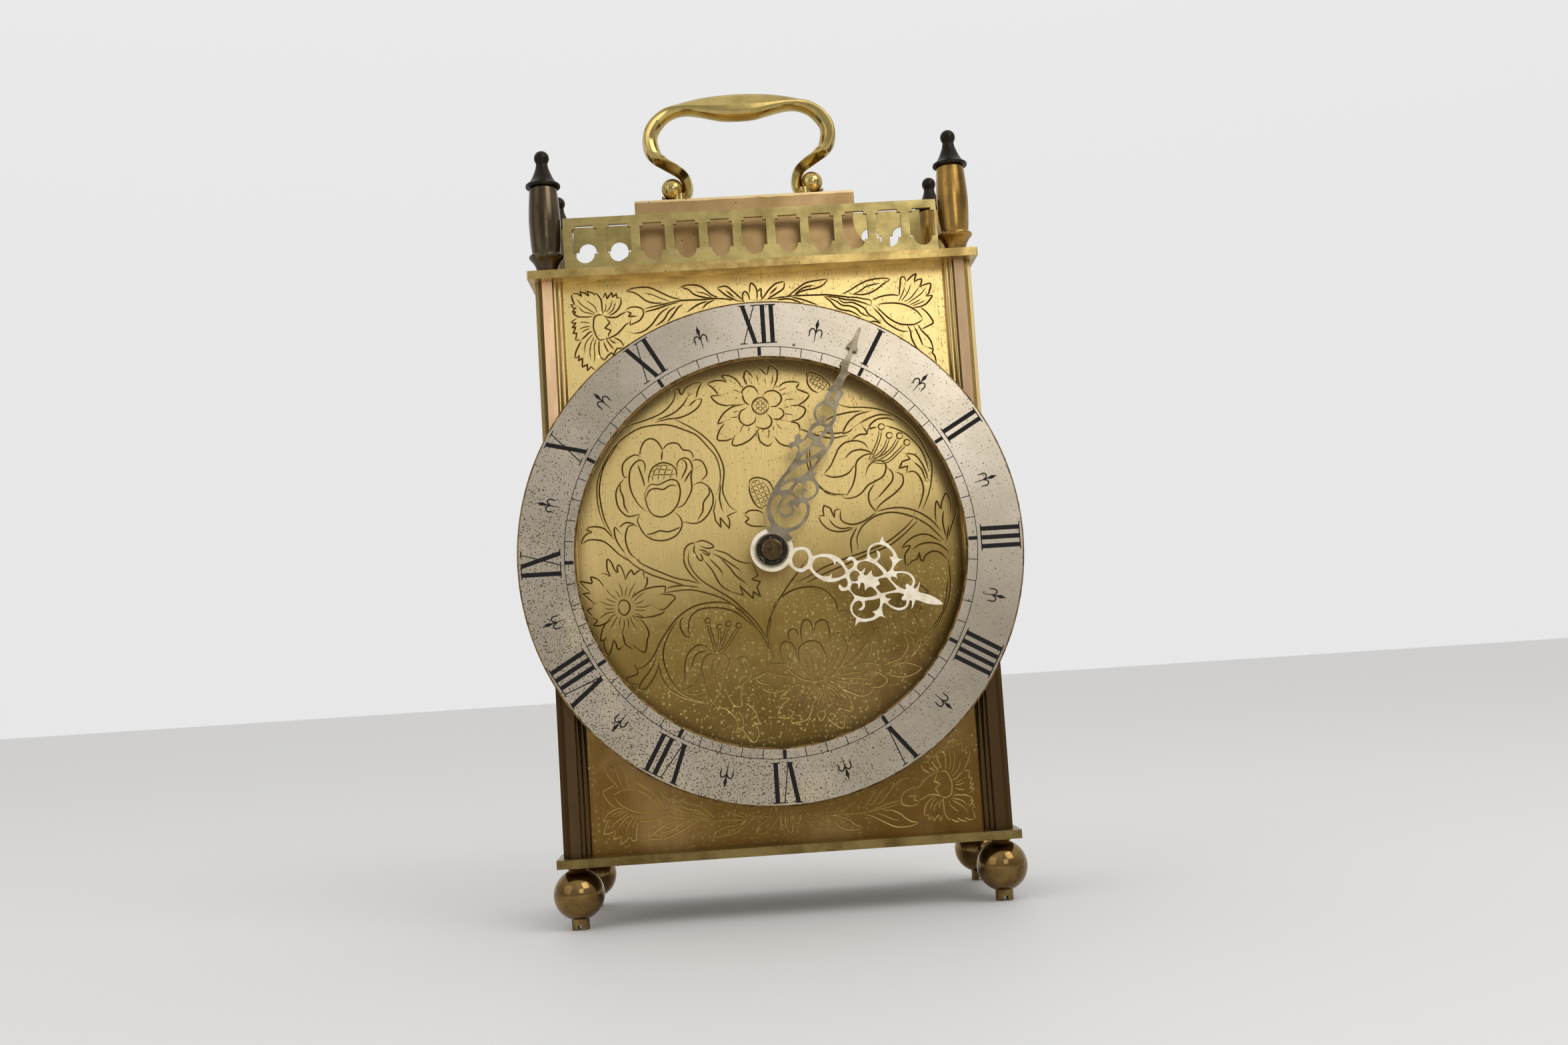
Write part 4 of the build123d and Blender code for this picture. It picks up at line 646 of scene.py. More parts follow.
@dataclass(frozen=True)
class Patina:
    """A turned brass barrel whose lacquer has turned brown in lengthwise streaks.

    Attributes:
        name: the finish's name.
        golden: colour of the worn-through metal.
        brown: colour of the patina.
        worn: how much of the patina has gone, 0 to 1.
        ring_rise: height of the bright turned ring at the barrel's foot.
    """

    name: str
    golden: Colour
    brown: Colour
    worn: float
    ring_rise: float = 187.5

    def make(self) -> bpy.types.Material:
        """Builds the finish.

        Returns:
            The material.
        """
        recipe = Recipe(self.name, self.brown)
        middle = 0.5 + (0.5 - self.worn) * 0.4
        gone = recipe.cloud((4.5, 4.5, 16.0), 5.0, 2.0, 0.5).ease(middle - 0.2, middle + 0.2)
        blot = recipe.cloud(3.5, 26.0, 4.0, 0.65).ease(0.50, 0.66)
        ring = 1 - abs(recipe.z - self.ring_rise).ease(0.5, 1.4)
        glint = recipe.cloud((0.9, 0.9, 2.2), 44.0, 3.0).ease(0.48, 0.6)
        bare = gone.most(ring * glint)
        recipe.coat(bare, self.golden)
        dark = tuple(part * 0.35 for part in self.brown)
        recipe.coat(blot * (1 - bare * 0.7) * 0.35, dark)
        turned = recipe.cloud((9.0, 9.0, 0.18), 3.0, 2.0)
        recipe.tone(turned * 0.3 + 0.85)
        roughness = recipe.cloud(4.0, 14.0) * 0.14 + 0.13 + blot * 0.08
        return recipe.finish(roughness, 1.0, turned * 0.003)


@dataclass(frozen=True)
class Coating:
    """Plastic, lacquer or paint with dust, scuffs and a fine moulded skin.

    Attributes:
        name: the finish's name.
        colour: main colour.
        worn: colour of scuffs and dust.
        share: share of the surface that is scuffed.
        patch: size of the scuffs in millimetres.
        roughness: how dull it is.
        skin: relief of the skin in millimetres.
        gloss: strength of its reflections, 0.5 as on plain plastic.
    """

    name: str
    colour: Colour
    worn: Colour
    share: float = 0.25
    patch: float = 4.0
    roughness: float = 0.4
    skin: float = 0.01
    gloss: float = 0.5

    def make(self) -> bpy.types.Material:
        """Builds the finish.

        Returns:
            The material.
        """
        recipe = Recipe(self.name, self.colour)
        middle = 0.5 + (0.5 - self.share) * 0.42
        scuff = recipe.cloud(self.patch, 7.0, 5.0, 0.65).ease(middle, middle + 0.14)
        fine = recipe.cloud(0.35, 15.0, 2.0)
        recipe.coat(scuff * 0.7, self.worn)
        recipe.tone(fine * 0.3 + 0.85)
        roughness = fine * 0.1 + (self.roughness - 0.05) + scuff * 0.15
        recipe.shader.inputs["Specular IOR Level"].default_value = self.gloss
        return recipe.finish(roughness, 0.0, fine * self.skin)


@dataclass(frozen=True)
class Winding:
    """A coil of fine enamelled wire, with painted shade between its turns.

    Attributes:
        name: the finish's name.
        pitch: distance between turns in millimetres.
    """

    name: str = "coil_copper_wire"
    pitch: float = 0.45

    def make(self) -> bpy.types.Material:
        """Builds the finish.

        Returns:
            The material.
        """
        recipe = Recipe(self.name, (0.70, 0.27, 0.10))
        turns = (recipe.y * (2 * math.pi / self.pitch)).wave() * 0.5 + 0.5
        tone = recipe.cloud(2.0, 5.0, 3.0).ease(0.4, 0.65)
        recipe.coat(tone, (0.42, 0.13, 0.04))
        # painted shade in the grooves between the turns
        recipe.coat(1 - turns.ease(0.0, 0.35), (0.12, 0.04, 0.02))
        return recipe.finish(turns * -0.1 + 0.34, 0.9, turns * 0.08)


@dataclass(frozen=True)
class Jacket:
    """A plain two-tone battery jacket.

    Attributes:
        name: the finish's name.
        split: height at which the colours meet.
        foot: height at which the bare lower end begins.
        head: height at which the bare upper end begins.
        blur: distance over which a colour gives way to the next.
    """

    name: str = "battery_jacket"
    split: float = 110.0
    foot: float = 76.7
    head: float = 124.3
    blur: float = 0.1

    def make(self) -> bpy.types.Material:
        """Builds the finish.

        Returns:
            The material.
        """
        recipe = Recipe(self.name, (0.030, 0.034, 0.042))
        band = recipe.z.ease(self.split - self.blur / 2, self.split + self.blur / 2)
        ends = recipe.z.ease(self.head, self.head + self.blur).most(
            1 - recipe.z.ease(self.foot - self.blur, self.foot))
        wear = recipe.cloud(3.0, 8.0, 5.0, 0.7).ease(0.58, 0.68)
        recipe.coat(band, (0.62, 0.40, 0.16))
        recipe.coat(wear * 0.35, (0.45, 0.42, 0.38))
        recipe.coat(ends, (0.60, 0.60, 0.60))
        fine = recipe.cloud(0.5, 2.0, 2.0)
        return recipe.finish(fine * 0.1 + 0.27, band.most(ends) * 0.8, fine * 0.004)



# ---------------- workshop
class Shop:
    """Keeps the frame and fits finished pieces to it."""

    def __init__(self) -> None:
        """Loads the frame and keeps the box it fills."""
        self.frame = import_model()
        self.cad_box = [list(corner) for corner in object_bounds()]
        self.made: dict[str, bpy.types.Material] = {}

    def finish(self, finish: Any) -> bpy.types.Material:
        """Makes a finish the first time it is asked for, and gives it again later."""
        if finish.name not in self.made:
            self.made[finish.name] = finish.make()
        return self.made[finish.name]

    def dress(self, piece: Piece, *finishes: Any) -> None:
        """Puts finishes in a piece's material slots, in order."""
        piece.data.materials.clear()
        for finish in finishes:
            piece.data.materials.append(self.finish(finish))

    def dress_nodes(self, finish: Any, *nodes: str) -> None:
        """Gives nodes that keep their own shape a finish."""
        for node in nodes:
            self.dress(self.frame["nodes"][node], finish)
            LOG.info("dressed %s with %s", node, finish.name)

    def fit(self, piece: Piece, body: str, slot: str, *finishes: Any,
            replaces: Sequence[str] = ()) -> None:
        """Dresses a new piece and fixes it to a body.

        Args:
            piece: the piece, at the origin with its place in its mesh.
            body: the body it moves with.
            slot: the record's material slot it belongs to; not used.
            finishes: its finishes, in the order of its material slots.
            replaces: the nodes it stands for.
        """
        if finishes:
            self.dress(piece, *finishes)
        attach(piece, body)
        if replaces:
            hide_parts(*replaces)
        LOG.info("fitted %s to %s, %d faces", piece.name, body, len(piece.data.polygons))

    def copy_node(self, node: str, name: str, round_over: float) -> Piece:
        """Copies a node's shape, welds it and rounds its edges.

        Args:
            node: the node's name.
            name: the new piece's name.
            round_over: width of the rounding in millimetres.

        Returns:
            The new piece.
        """
        source = self.frame["nodes"][node]
        piece = bpy.data.objects.new(name, source.data.copy())
        bpy.context.scene.collection.objects.link(piece)
        with editing(piece):
            bpy.ops.mesh.remove_doubles(threshold=0.002 * MM)
            bpy.ops.mesh.dissolve_limited(angle_limit=math.radians(0.6))
        modify(piece, "BEVEL", width=round_over * MM, segments=2, limit_method="ANGLE",
               angle_limit=math.radians(38), use_clamp_overlap=True)
        smooth(piece, 32, flats=True)
        return piece


@contextmanager
def editing(piece: Piece) -> Iterator[None]:
    """Opens one piece in edit mode with all of it selected, and closes it afterwards."""
    choose(piece)
    bpy.ops.object.mode_set(mode="EDIT")
    bpy.ops.mesh.select_all(action="SELECT")
    yield
    bpy.ops.object.mode_set(mode="OBJECT")


def choose(piece: Piece) -> None:
    """Selects one piece alone and makes it active."""
    if bpy.context.object and bpy.context.object.mode != "OBJECT":
        bpy.ops.object.mode_set(mode="OBJECT")
    bpy.ops.object.select_all(action="DESELECT")
    bpy.context.view_layer.objects.active = piece
    piece.select_set(True)


def modify(piece: Piece, kind: str, **settings: Any) -> None:
    """Adds a modifier with these settings and applies it."""
    choose(piece)
    made = piece.modifiers.new(kind.lower(), kind)
    for key, value in settings.items():
        setattr(made, key, value)
    bpy.ops.object.modifier_apply(modifier=made.name)


def smooth(piece: Piece, degrees: float, flats: bool = False) -> None:
    """Shades a piece smooth, but for edges sharper than the angle.

    Args:
        piece: the piece.
        degrees: the angle.
        flats: whether its large faces shade as truly flat.
    """
    choose(piece)
    bpy.ops.object.shade_smooth_by_angle(angle=math.radians(degrees))
    if flats:
        modify(piece, "WEIGHTED_NORMAL", keep_sharp=True, weight=80)


def from_points(name: str, points: Iterable[Sequence[float]],
                faces: Sequence[Sequence[int]] = (),
                edges: Sequence[Sequence[int]] = ()) -> Piece:
    """Makes a piece from points in millimetres.

    Args:
        name: the piece's name.
        points: its points.
        faces: its faces, as places in the list of points.
        edges: its loose edges.

    Returns:
        The new piece.
    """
    mesh = bpy.data.meshes.new(name)
    mesh.from_pydata([tuple(part * MM for part in point) for point in points], edges, faces)
    piece = bpy.data.objects.new(name, mesh)
    bpy.context.scene.collection.objects.link(piece)
    return piece


def tidy_shell(piece: Piece, reach: float = 0.001) -> None:
    """Merges a piece's doubles and turns its faces outwards."""
    with editing(piece):
        bpy.ops.mesh.remove_doubles(threshold=reach * MM)
        bpy.ops.mesh.normals_make_consistent(inside=False)


def turned(name: str, outline: Sequence[Point], centre: Sequence[float],
           axis: str = "Z", steps: int = 64, facets: float = 28) -> Piece:
    """Turns an outline round an axis, as on a lathe.

    Args:
        name: the piece's name.
        outline: radius and distance along the axis, from one end to the other.
        centre: point of the axis that the distances start from.
        axis: "Z" for upwards, "Y" for towards the back, "-Y" for towards the front.
        steps: number of steps round.
        facets: edges sharper than this stay sharp, in degrees.

    Returns:
        The new piece.
    """
    x, y, z = centre
    place = {"Z": lambda r, d: (x + r, y, z + d), "Y": lambda r, d: (x + r, y + d, z),
             "-Y": lambda r, d: (x + r, y - d, z)}[axis]
    line = [(i, i + 1) for i in range(len(outline) - 1)]
    piece = from_points(name, [place(r, d) for r, d in outline], edges=line)
    with editing(piece):
        bpy.ops.mesh.spin(steps=steps, angle=2 * math.pi, use_auto_merge=True,
                          center=tuple(part * MM for part in centre),
                          axis=(0, 0, 1) if axis == "Z" else (0, 1, 0))
    tidy_shell(piece, 0.004)
    smooth(piece, facets)
    return piece


def arc(radius: float, middle: float, steps: Iterable[int], degrees: float,
        flat: float = 1.0) -> list[Point]:
    """Points of a ball's outline, for turning.

    Args:
        radius: the ball's radius.
        middle: place of its middle along the axis.
        steps: which steps up from its lowest point to give.
        degrees: angle of one step.
        flat: the ball's height against its width.

    Returns:
        Radius and distance along the axis of each point.
    """
    angles = [math.radians(-90 + step * degrees) for step in steps]
    return [(max(radius * math.cos(angle), 0.0), middle + radius * flat * math.sin(angle))
            for angle in angles]


def curve_through(points: Sequence[Point], step: float = 0.8, closed: bool = False) -> np.ndarray:
    """Runs a smooth line through points.

    Args:
        points: the points it passes.
        step: distance between the line's own points.
        closed: whether it joins up.

    Returns:
        The line's points, one row each.
    """
    given = np.asarray(points, float)
    if len(given) < 3:
        given = np.vstack([given[0], (given[0] + given[-1]) / 2, given[-1]])
    ring = np.vstack([given[-1], given, given[0], given[1]]) if closed else np.vstack(
        [2 * given[0] - given[1], given, 2 * given[-1] - given[-2]])
    made = []
    for before, start, end, after in zip(ring, ring[1:], ring[2:], ring[3:]):
        count = max(2, int(math.ceil(np.linalg.norm(end - start) / step)))
        t = np.linspace(0, 1, count, endpoint=False)[:, None]
        made.append(0.5 * (2 * start + (end - before) * t
                           + (2 * before - 5 * start + 4 * end - after) * t ** 2
                           + (3 * start - before - 3 * end + after) * t ** 3))
    if not closed:
        made.append(given[-1:])
    return np.vstack(made)


def side_ways(line: np.ndarray) -> np.ndarray:
    """Unit directions across a line, to its left."""
    run = np.gradient(line, axis=0)
    run /= np.maximum(np.hypot(run[:, 0], run[:, 1])[:, None], 1e-9)
    return np.stack([-run[:, 1], run[:, 0]], 1)


def band(line: np.ndarray, half: np.ndarray | float) -> np.ndarray:
    """Outline of a band along a line, with its half width at each point."""
    wide = np.ones(len(line)) * half
    across = side_ways(line) * wide[:, None]
    return np.vstack([line + across, (line - across)[::-1]])


def disc(x: float, up: float, wide: float, high: float | None = None,
         count: int = 40) -> np.ndarray:
    """Points of a circle or an upright oval round a centre."""
    angle = np.linspace(0, 2 * math.pi, count, endpoint=False)
    return np.stack([x + wide * np.cos(angle), up + (high or wide) * np.sin(angle)], 1)


def inside(points: np.ndarray, outline: np.ndarray) -> np.ndarray:
    """Tells which points lie in a closed outline."""
    x, y = points[:, 0][:, None], points[:, 1][:, None]
    x0, y0 = outline[:, 0], outline[:, 1]
    x1, y1 = np.roll(x0, -1), np.roll(y0, -1)
    crossing = (y0 > y) != (y1 > y)
    slope = np.where(y1 == y0, 1.0, y1 - y0)
    left = x < (x1 - x0) * (y - y0) / slope + x0
    return (np.sum(crossing & left, axis=1) % 2) == 1


def fill(lines: Iterable[tuple[Any, bool]]) -> tuple[np.ndarray, list[Any], np.ndarray]:
    """Fills a flat drawing with faces.

    Args:
        lines: points of each line, and whether the line is closed.

    Returns:
        The drawing's points, its faces and the faces' middles.
    """
    points, edges = [], []
    for outline, closed in lines:
        first, size = len(points), len(outline)
        points += [Vector(p) for p in outline]
        edges += [(first + i, first + (i + 1) % size) for i in range(size if closed else size - 1)]
    verts, _, faces, *_ = delaunay_2d_cdt(points, edges, [], 0, 1e-5)
    flat = np.array([tuple(v) for v in verts])
    return flat, faces, np.array([flat[list(face)].mean(0) for face in faces])


class Fretwork:
    """A flat sheet sawn to an outline, made of overlapping shapes and holes."""

    def __init__(self) -> None:
        """Starts with no shapes."""
        self.shapes: list[tuple[bool, np.ndarray]] = []

    def add(self, outline: Any) -> "Fretwork":
        """Adds metal inside an outline."""
        self.shapes.append((True, np.asarray(outline, float)))
        return self

    def cut(self, outline: Any) -> "Fretwork":
        """Cuts away the metal that earlier shapes left inside an outline."""
        self.shapes.append((False, np.asarray(outline, float)))
        return self

    def ring(self, x: float, up: float, outer: float, inner: float) -> "Fretwork":
        """Adds a round ring, whose hole stays open under later shapes only if they miss it."""
        steps = max(20, int(outer * 10))
        return self.add(disc(x, up, outer, count=steps)).cut(disc(x, up, inner, count=steps))

    def sheet(self, name: str, place: Any, thick: float, round_over: float) -> Piece:
        """Saws the sheet out.

        Args:
            name: the piece's name.
            place: function from the drawing's two numbers to a point in millimetres.
            thick: thickness towards the back in millimetres.
            round_over: width of the rounded front and back edges.

        Returns:
            The new piece.
        """
        flat, faces, middles = fill((outline, True) for _, outline in self.shapes)
        metal = np.zeros(len(faces), bool)
        for solid, outline in self.shapes:
            metal[inside(middles, outline)] = solid
        piece = from_points(name, [place(*p) for p in flat],
                            [faces[i] for i in np.flatnonzero(metal)])
        with editing(piece):
            bpy.ops.mesh.delete_loose()
            bpy.ops.mesh.select_all(action="SELECT")
            bpy.ops.mesh.remove_doubles(threshold=0.02 * MM)
            bpy.ops.mesh.normals_make_consistent(inside=False)
            bpy.ops.mesh.dissolve_limited(angle_limit=math.radians(1))
            bpy.ops.mesh.extrude_region_move(
                TRANSFORM_OT_translate={"value": (0, thick * MM, 0)})
            bpy.ops.mesh.select_all(action="SELECT")
            bpy.ops.mesh.normals_make_consistent(inside=False)
        if round_over:
            modify(piece, "BEVEL", width=round_over * MM, segments=2, limit_method="ANGLE",
                   angle_limit=math.radians(50), use_clamp_overlap=True)
        smooth(piece, 40, flats=True)
        return piece


# ---------------- the clock's finishes
class Brass:
    """The finishes of the clock, each for one kind of part."""

    # painted shade darkens the plates below a height of 60 mm, which is only the base plate
    PLATE = Metal("case_plate_brass", (0.60, 0.43, 0.155), (0.30, 0.20, 0.06), 0.42, 7.0, 0.29,
                  0.07, Grain.ALONG_X, 0.16, 30.0, 0.008, 0.20, 0.16, 1.3, painted_shade_from=60.0,
                  painted_shade_to=25.0, dark=0.45)
    HOOD = Metal("hood_brass", (0.42, 0.275, 0.125), (0.32, 0.20, 0.08), 0.42, 11.0, 0.30,
                 0.06, Grain.ALONG_X, 0.14, 40.0, 0.008, 0.14, 0.05, 1.8, (0.10, 0.06, 0.03),
                 (0.80, 0.60, 0.30), 0.10, bright_from=204.1)
    GALLERY = Metal("gallery_brass", (0.46, 0.36, 0.135), (0.28, 0.21, 0.075), 0.44, 7.0, 0.30,
                    0.08, Grain.ALONG_X, 0.14, 24.0, 0.008, 0.30, 0.07, 1.1)
    PANEL = Metal("side_panel_brass", (0.60, 0.43, 0.17), (0.50, 0.35, 0.13), 0.40, 22.0, 0.27,
                  0.05, Grain.ALONG_Z, 0.20, 60.0, 0.009, 0.34, 0.12, 1.9)
    DOOR = Metal("rear_door_brass", (0.62, 0.45, 0.18), (0.52, 0.37, 0.14), 0.40, 26.0, 0.27,
                 0.05, Grain.ALONG_Z, 0.20, 70.0, 0.009, 0.34, 0.12, 1.9)
    MOULDED = Moulding()
    HANDLE = Metal("handle_polished_brass", (0.56, 0.425, 0.155), (0.33, 0.235, 0.075), 0.42, 12.0,
                   0.10, 0.03, Grain.NONE, 0.15, 10.0, 0.001, 0.05, 0.18, 1.1)
    # dark base colour as painted shade, standing in for reflections of a dark floor in the
    # polished brass
    POLISHED = Metal("foot_polished_brass", (0.25, 0.16, 0.056), (0.13, 0.076, 0.026), 0.42, 5.0,
                     0.09, 0.03, Grain.NONE, 0.2, 10.0, 0.003, 0.08, 0.30, 1.0)
    NUT = Metal("foot_nut_brass", (0.28, 0.19, 0.075), (0.13, 0.085, 0.03), 0.5, 3.0, 0.24, 0.07,
                Grain.NONE, 0.2, 8.0, 0.004, 0.10, 0.3, 0.9)
    MOVEMENT = Metal("movement_brass", (0.82, 0.62, 0.28), (0.55, 0.39, 0.15), 0.3, 8.0, 0.24,
                     0.06, Grain.ALONG_X, 0.12, 16.0, 0.004, 0.10, 0.05, 2.0)
    BARREL_DARK = Patina("finial_barrel_dark", (0.13, 0.10, 0.06), (0.06, 0.044, 0.026), 0.26)
    BARREL_GOLD = Patina("finial_barrel_golden", (0.42, 0.25, 0.065), (0.19, 0.11, 0.03), 0.55)
    CAP = Metal("finial_cap_bronze", (0.028, 0.021, 0.013), (0.014, 0.010, 0.007), 0.5, 2.6, 0.36,
                0.06, Grain.NONE, 0.3, 6.0, 0.008, 0.12, 0.3, 0.8, (0.012, 0.009, 0.006),
                (0.11, 0.08, 0.04), 0.12, metallic=0.85)
    HUB = Metal("hand_nut_bronze", (0.13, 0.085, 0.04), (0.05, 0.034, 0.018), 0.45, 1.6, 0.28,
                0.06, Grain.NONE, 0.2, 4.0, 0.004, 0.1, 0.2, 0.8, (0.012, 0.009, 0.006),
                (0.45, 0.33, 0.16), 0.14)
    WASHER = Metal("hand_washer_worn", (0.045, 0.037, 0.027), (0.02, 0.017, 0.013), 0.5, 1.6,
                   0.30, 0.06, Grain.NONE, 0.2, 4.0, 0.004, 0.1, 0.2, 0.8, (0.01, 0.01, 0.01),
                   (0.62, 0.55, 0.44), 0.30)
    STEEL_DARK = Metal("minute_hand_steel", (0.31, 0.26, 0.18), (0.16, 0.125, 0.075), 0.45, 4.0,
                       0.26, 0.07, Grain.ALONG_Z, 0.12, 5.0, 0.005, 0.26, 0.26, 0.9,
                       (0.09, 0.07, 0.045), (0.66, 0.58, 0.44), 0.14)
    STEEL_BRIGHT = Metal("hour_hand_steel", (0.97, 0.88, 0.71), (0.74, 0.62, 0.44), 0.40, 3.2,
                         0.34, 0.06, Grain.ALONG_X, 0.12, 5.0, 0.004, 0.14, 0.15, 1.0,
                         (0.30, 0.25, 0.18), (1.0, 0.96, 0.88), 0.2)
    STEEL = Metal("movement_steel", (0.60, 0.60, 0.60), (0.42, 0.41, 0.40), 0.35, 5.0, 0.22,
                  0.06, Grain.NONE, 0.12, 8.0, 0.004, 0.08, 0.1, 1.2, (0.10, 0.09, 0.08),
                  (0.85, 0.85, 0.84), 0.1)
    POST = Metal("post_brass", (0.50, 0.37, 0.15), (0.20, 0.13, 0.05), 0.5, 2.0, 0.34, 0.08,
                 Grain.NONE, 0.2, 8.0, 0.004, 0.1, 0.3, 0.8)
    WAX = Coating("black_dial_wax", (0.008, 0.007, 0.006), (0.035, 0.028, 0.02), 0.20, 1.6, 0.5,
                  0.006, 0.2)
    PLASTIC = Coating("battery_tray_plastic", (0.020, 0.020, 0.022), (0.09, 0.088, 0.082), 0.25,
                      5.0, 0.42, 0.02)


CORNERS = (("front_left", -58.45, -20.5, Brass.BARREL_DARK),
           ("front_right", 58.45, -20.5, Brass.BARREL_GOLD),
           ("rear_left", -58.45, 24.5, Brass.BARREL_DARK),
           ("rear_right", 58.45, 24.5, Brass.BARREL_GOLD))


# ---------------- case
@dataclass
class Case:
    """Plates, pillars, galleries, hood, side panels and rear door of the case.

    Attributes:
        plate_edge: rounding of the two thick plates' edges.
        hood_edge: rounding of the hood's edges.
        sheet_edge: rounding of the thin sheets' edges.
        pillar_edge: rounding of the pillars' mouldings.
    """

    plate_edge: float = 0.22
    hood_edge: float = 0.3
    sheet_edge: float = 0.07
    pillar_edge: float = 0.07

    def build(self, shop: Shop) -> None:
        """Rounds and dresses the case's parts.

        Args:
            shop: the workshop.
        """
        galleries = [f"gallery_{side}" for side in ("front", "rear", "left", "right")]
        pillars = [f"pillar_{corner}" for corner, *_ in CORNERS]
        panels = ["side_panel_left", "side_panel_right"]
        for nodes, finish, edge, slot, body in (
                (["base_plate", "top_plate"], Brass.PLATE, self.plate_edge, "brushed_brass",
                 "case"),
                (["hood"], Brass.HOOD, self.hood_edge, "brushed_brass", "case"),
                (galleries, Brass.GALLERY, self.sheet_edge, "brushed_brass", "case"),
                (panels, Brass.PANEL, self.sheet_edge, "brushed_brass", "case"),
                (pillars, Brass.MOULDED, self.pillar_edge, "moulded_brass", "case"),
                (["rear_door"], Brass.DOOR, self.sheet_edge, "brushed_brass", "door")):
            for node in nodes:
                piece = shop.copy_node(node, f"{node}_finished", edge)
                shop.fit(piece, body, slot, finish, replaces=(node,))


@dataclass
class Corner:
    """Ball foot below and capped barrel finial above one corner of the case.

    Attributes:
        name: which corner.
        x: place across the clock.
        y: place from front to back.
        barrel: the barrel's finish.
        ball_radius: radius of the foot's ball.
        ball_rise: height of the ball's centre.
        barrel_base: height at which the barrel starts.
        barrel_height: height of the barrel.
        knob_rise: height of the middle of the cap's knob above the barrel.
        knob_radius: radius of that knob.
    """

    name: str
    x: float
    y: float
    barrel: Any
    ball_radius: float = 7.0
    ball_rise: float = 9.46
    barrel_base: float = 182.7
    barrel_height: float = 25.4
    knob_rise: float = 8.75
    knob_radius: float = 2.15

    def build(self, shop: Shop) -> None:
        """Turns the foot, the barrel and its cap.

        Args:
            shop: the workshop.
        """
        self.foot(shop)
        self.finial(shop)

    def foot(self, shop: Shop) -> None:
        """Turns the ball foot with its neck."""
        outline = [(0.0, self.ball_rise - self.ball_radius),
                   *arc(self.ball_radius, self.ball_rise, range(1, 25), 6.6),
                   (2.75, 16.35), (3.1, 16.6), (3.1, 17.1), (0.0, 17.1)]
        piece = turned(f"foot_ball_{self.name}", outline, (self.x, self.y, 0.0), steps=72)
        shop.fit(piece, "case", "polished_brass", Brass.POLISHED, replaces=(f"foot_{self.name}",))

    def finial(self, shop: Shop) -> None:
        """Turns the barrel and the cap above it."""
        base, top = self.barrel_base, self.barrel_base + self.barrel_height
        profile = [(radius, base + rise) for radius, rise in (
            (0.0, 0.0), (2.85, 0.0), (2.95, 0.25), (2.8, 0.55), (2.85, 1.0), (3.05, 1.9),
            (3.35, 2.75), (3.75, 3.5), (4.25, 4.15), (4.62, 4.55), (4.86, 4.85), (4.93, 5.15),
            (4.86, 5.5), (4.6, 5.72), (4.12, 5.85), (3.92, 6.15), (4.0, 6.6), (4.2, 8.5),
            (4.4, 11.5), (4.5, 14.2), (4.52, 15.4), (4.46, 17.6), (4.28, 20.6), (4.05, 23.4))]
        profile += [(3.88, top - 0.15), (3.7, top), (0.0, top)]
        piece = turned(f"finial_urn_{self.name}", profile, (self.x, self.y, 0.0), steps=72)
        shop.fit(piece, "case", "aged_brass", self.barrel,
                 replaces=(f"finial_barrel_{self.name}",))
        cap = [(radius, top + rise) for radius, rise in (
            (0.0, 0.0), (4.75, 0.0), (4.93, 0.2), (4.93, 0.8), (4.7, 1.05), (4.35, 1.2),
            (3.7, 1.75), (3.0, 2.9), (2.4, 4.3), (1.95, 5.5), (1.75, 6.2), (1.75, 6.55),
            (1.6, 6.9))]
        centre = top + self.knob_rise
        cap += [*arc(self.knob_radius, centre, range(9, 30), 6.2),
                (0.0, centre + self.knob_radius)]
        piece = turned(f"finial_top_{self.name}", cap, (self.x, self.y, 0.0), steps=64)
        shop.fit(piece, "case", "bronze_dark", Brass.CAP, replaces=(f"finial_cap_{self.name}",))


# ---------------- handle
@dataclass(frozen=True)
class Station:
    """One cross-section of the handle, from its outer edge to its inner edge.

    Attributes:
        outer: place of the outer edge, sideways and above the hood.
        inner: place of the inner edge.
        upper: share of the way in at which the first ridge runs.
        upper_bulge: how far that ridge stands forward.
        lower: share of the way in at which the second ridge runs.
        lower_bulge: how far that ridge stands forward.
    """

    outer: Point
    inner: Point
    upper: float
    upper_bulge: float
    lower: float
    lower_bulge: float


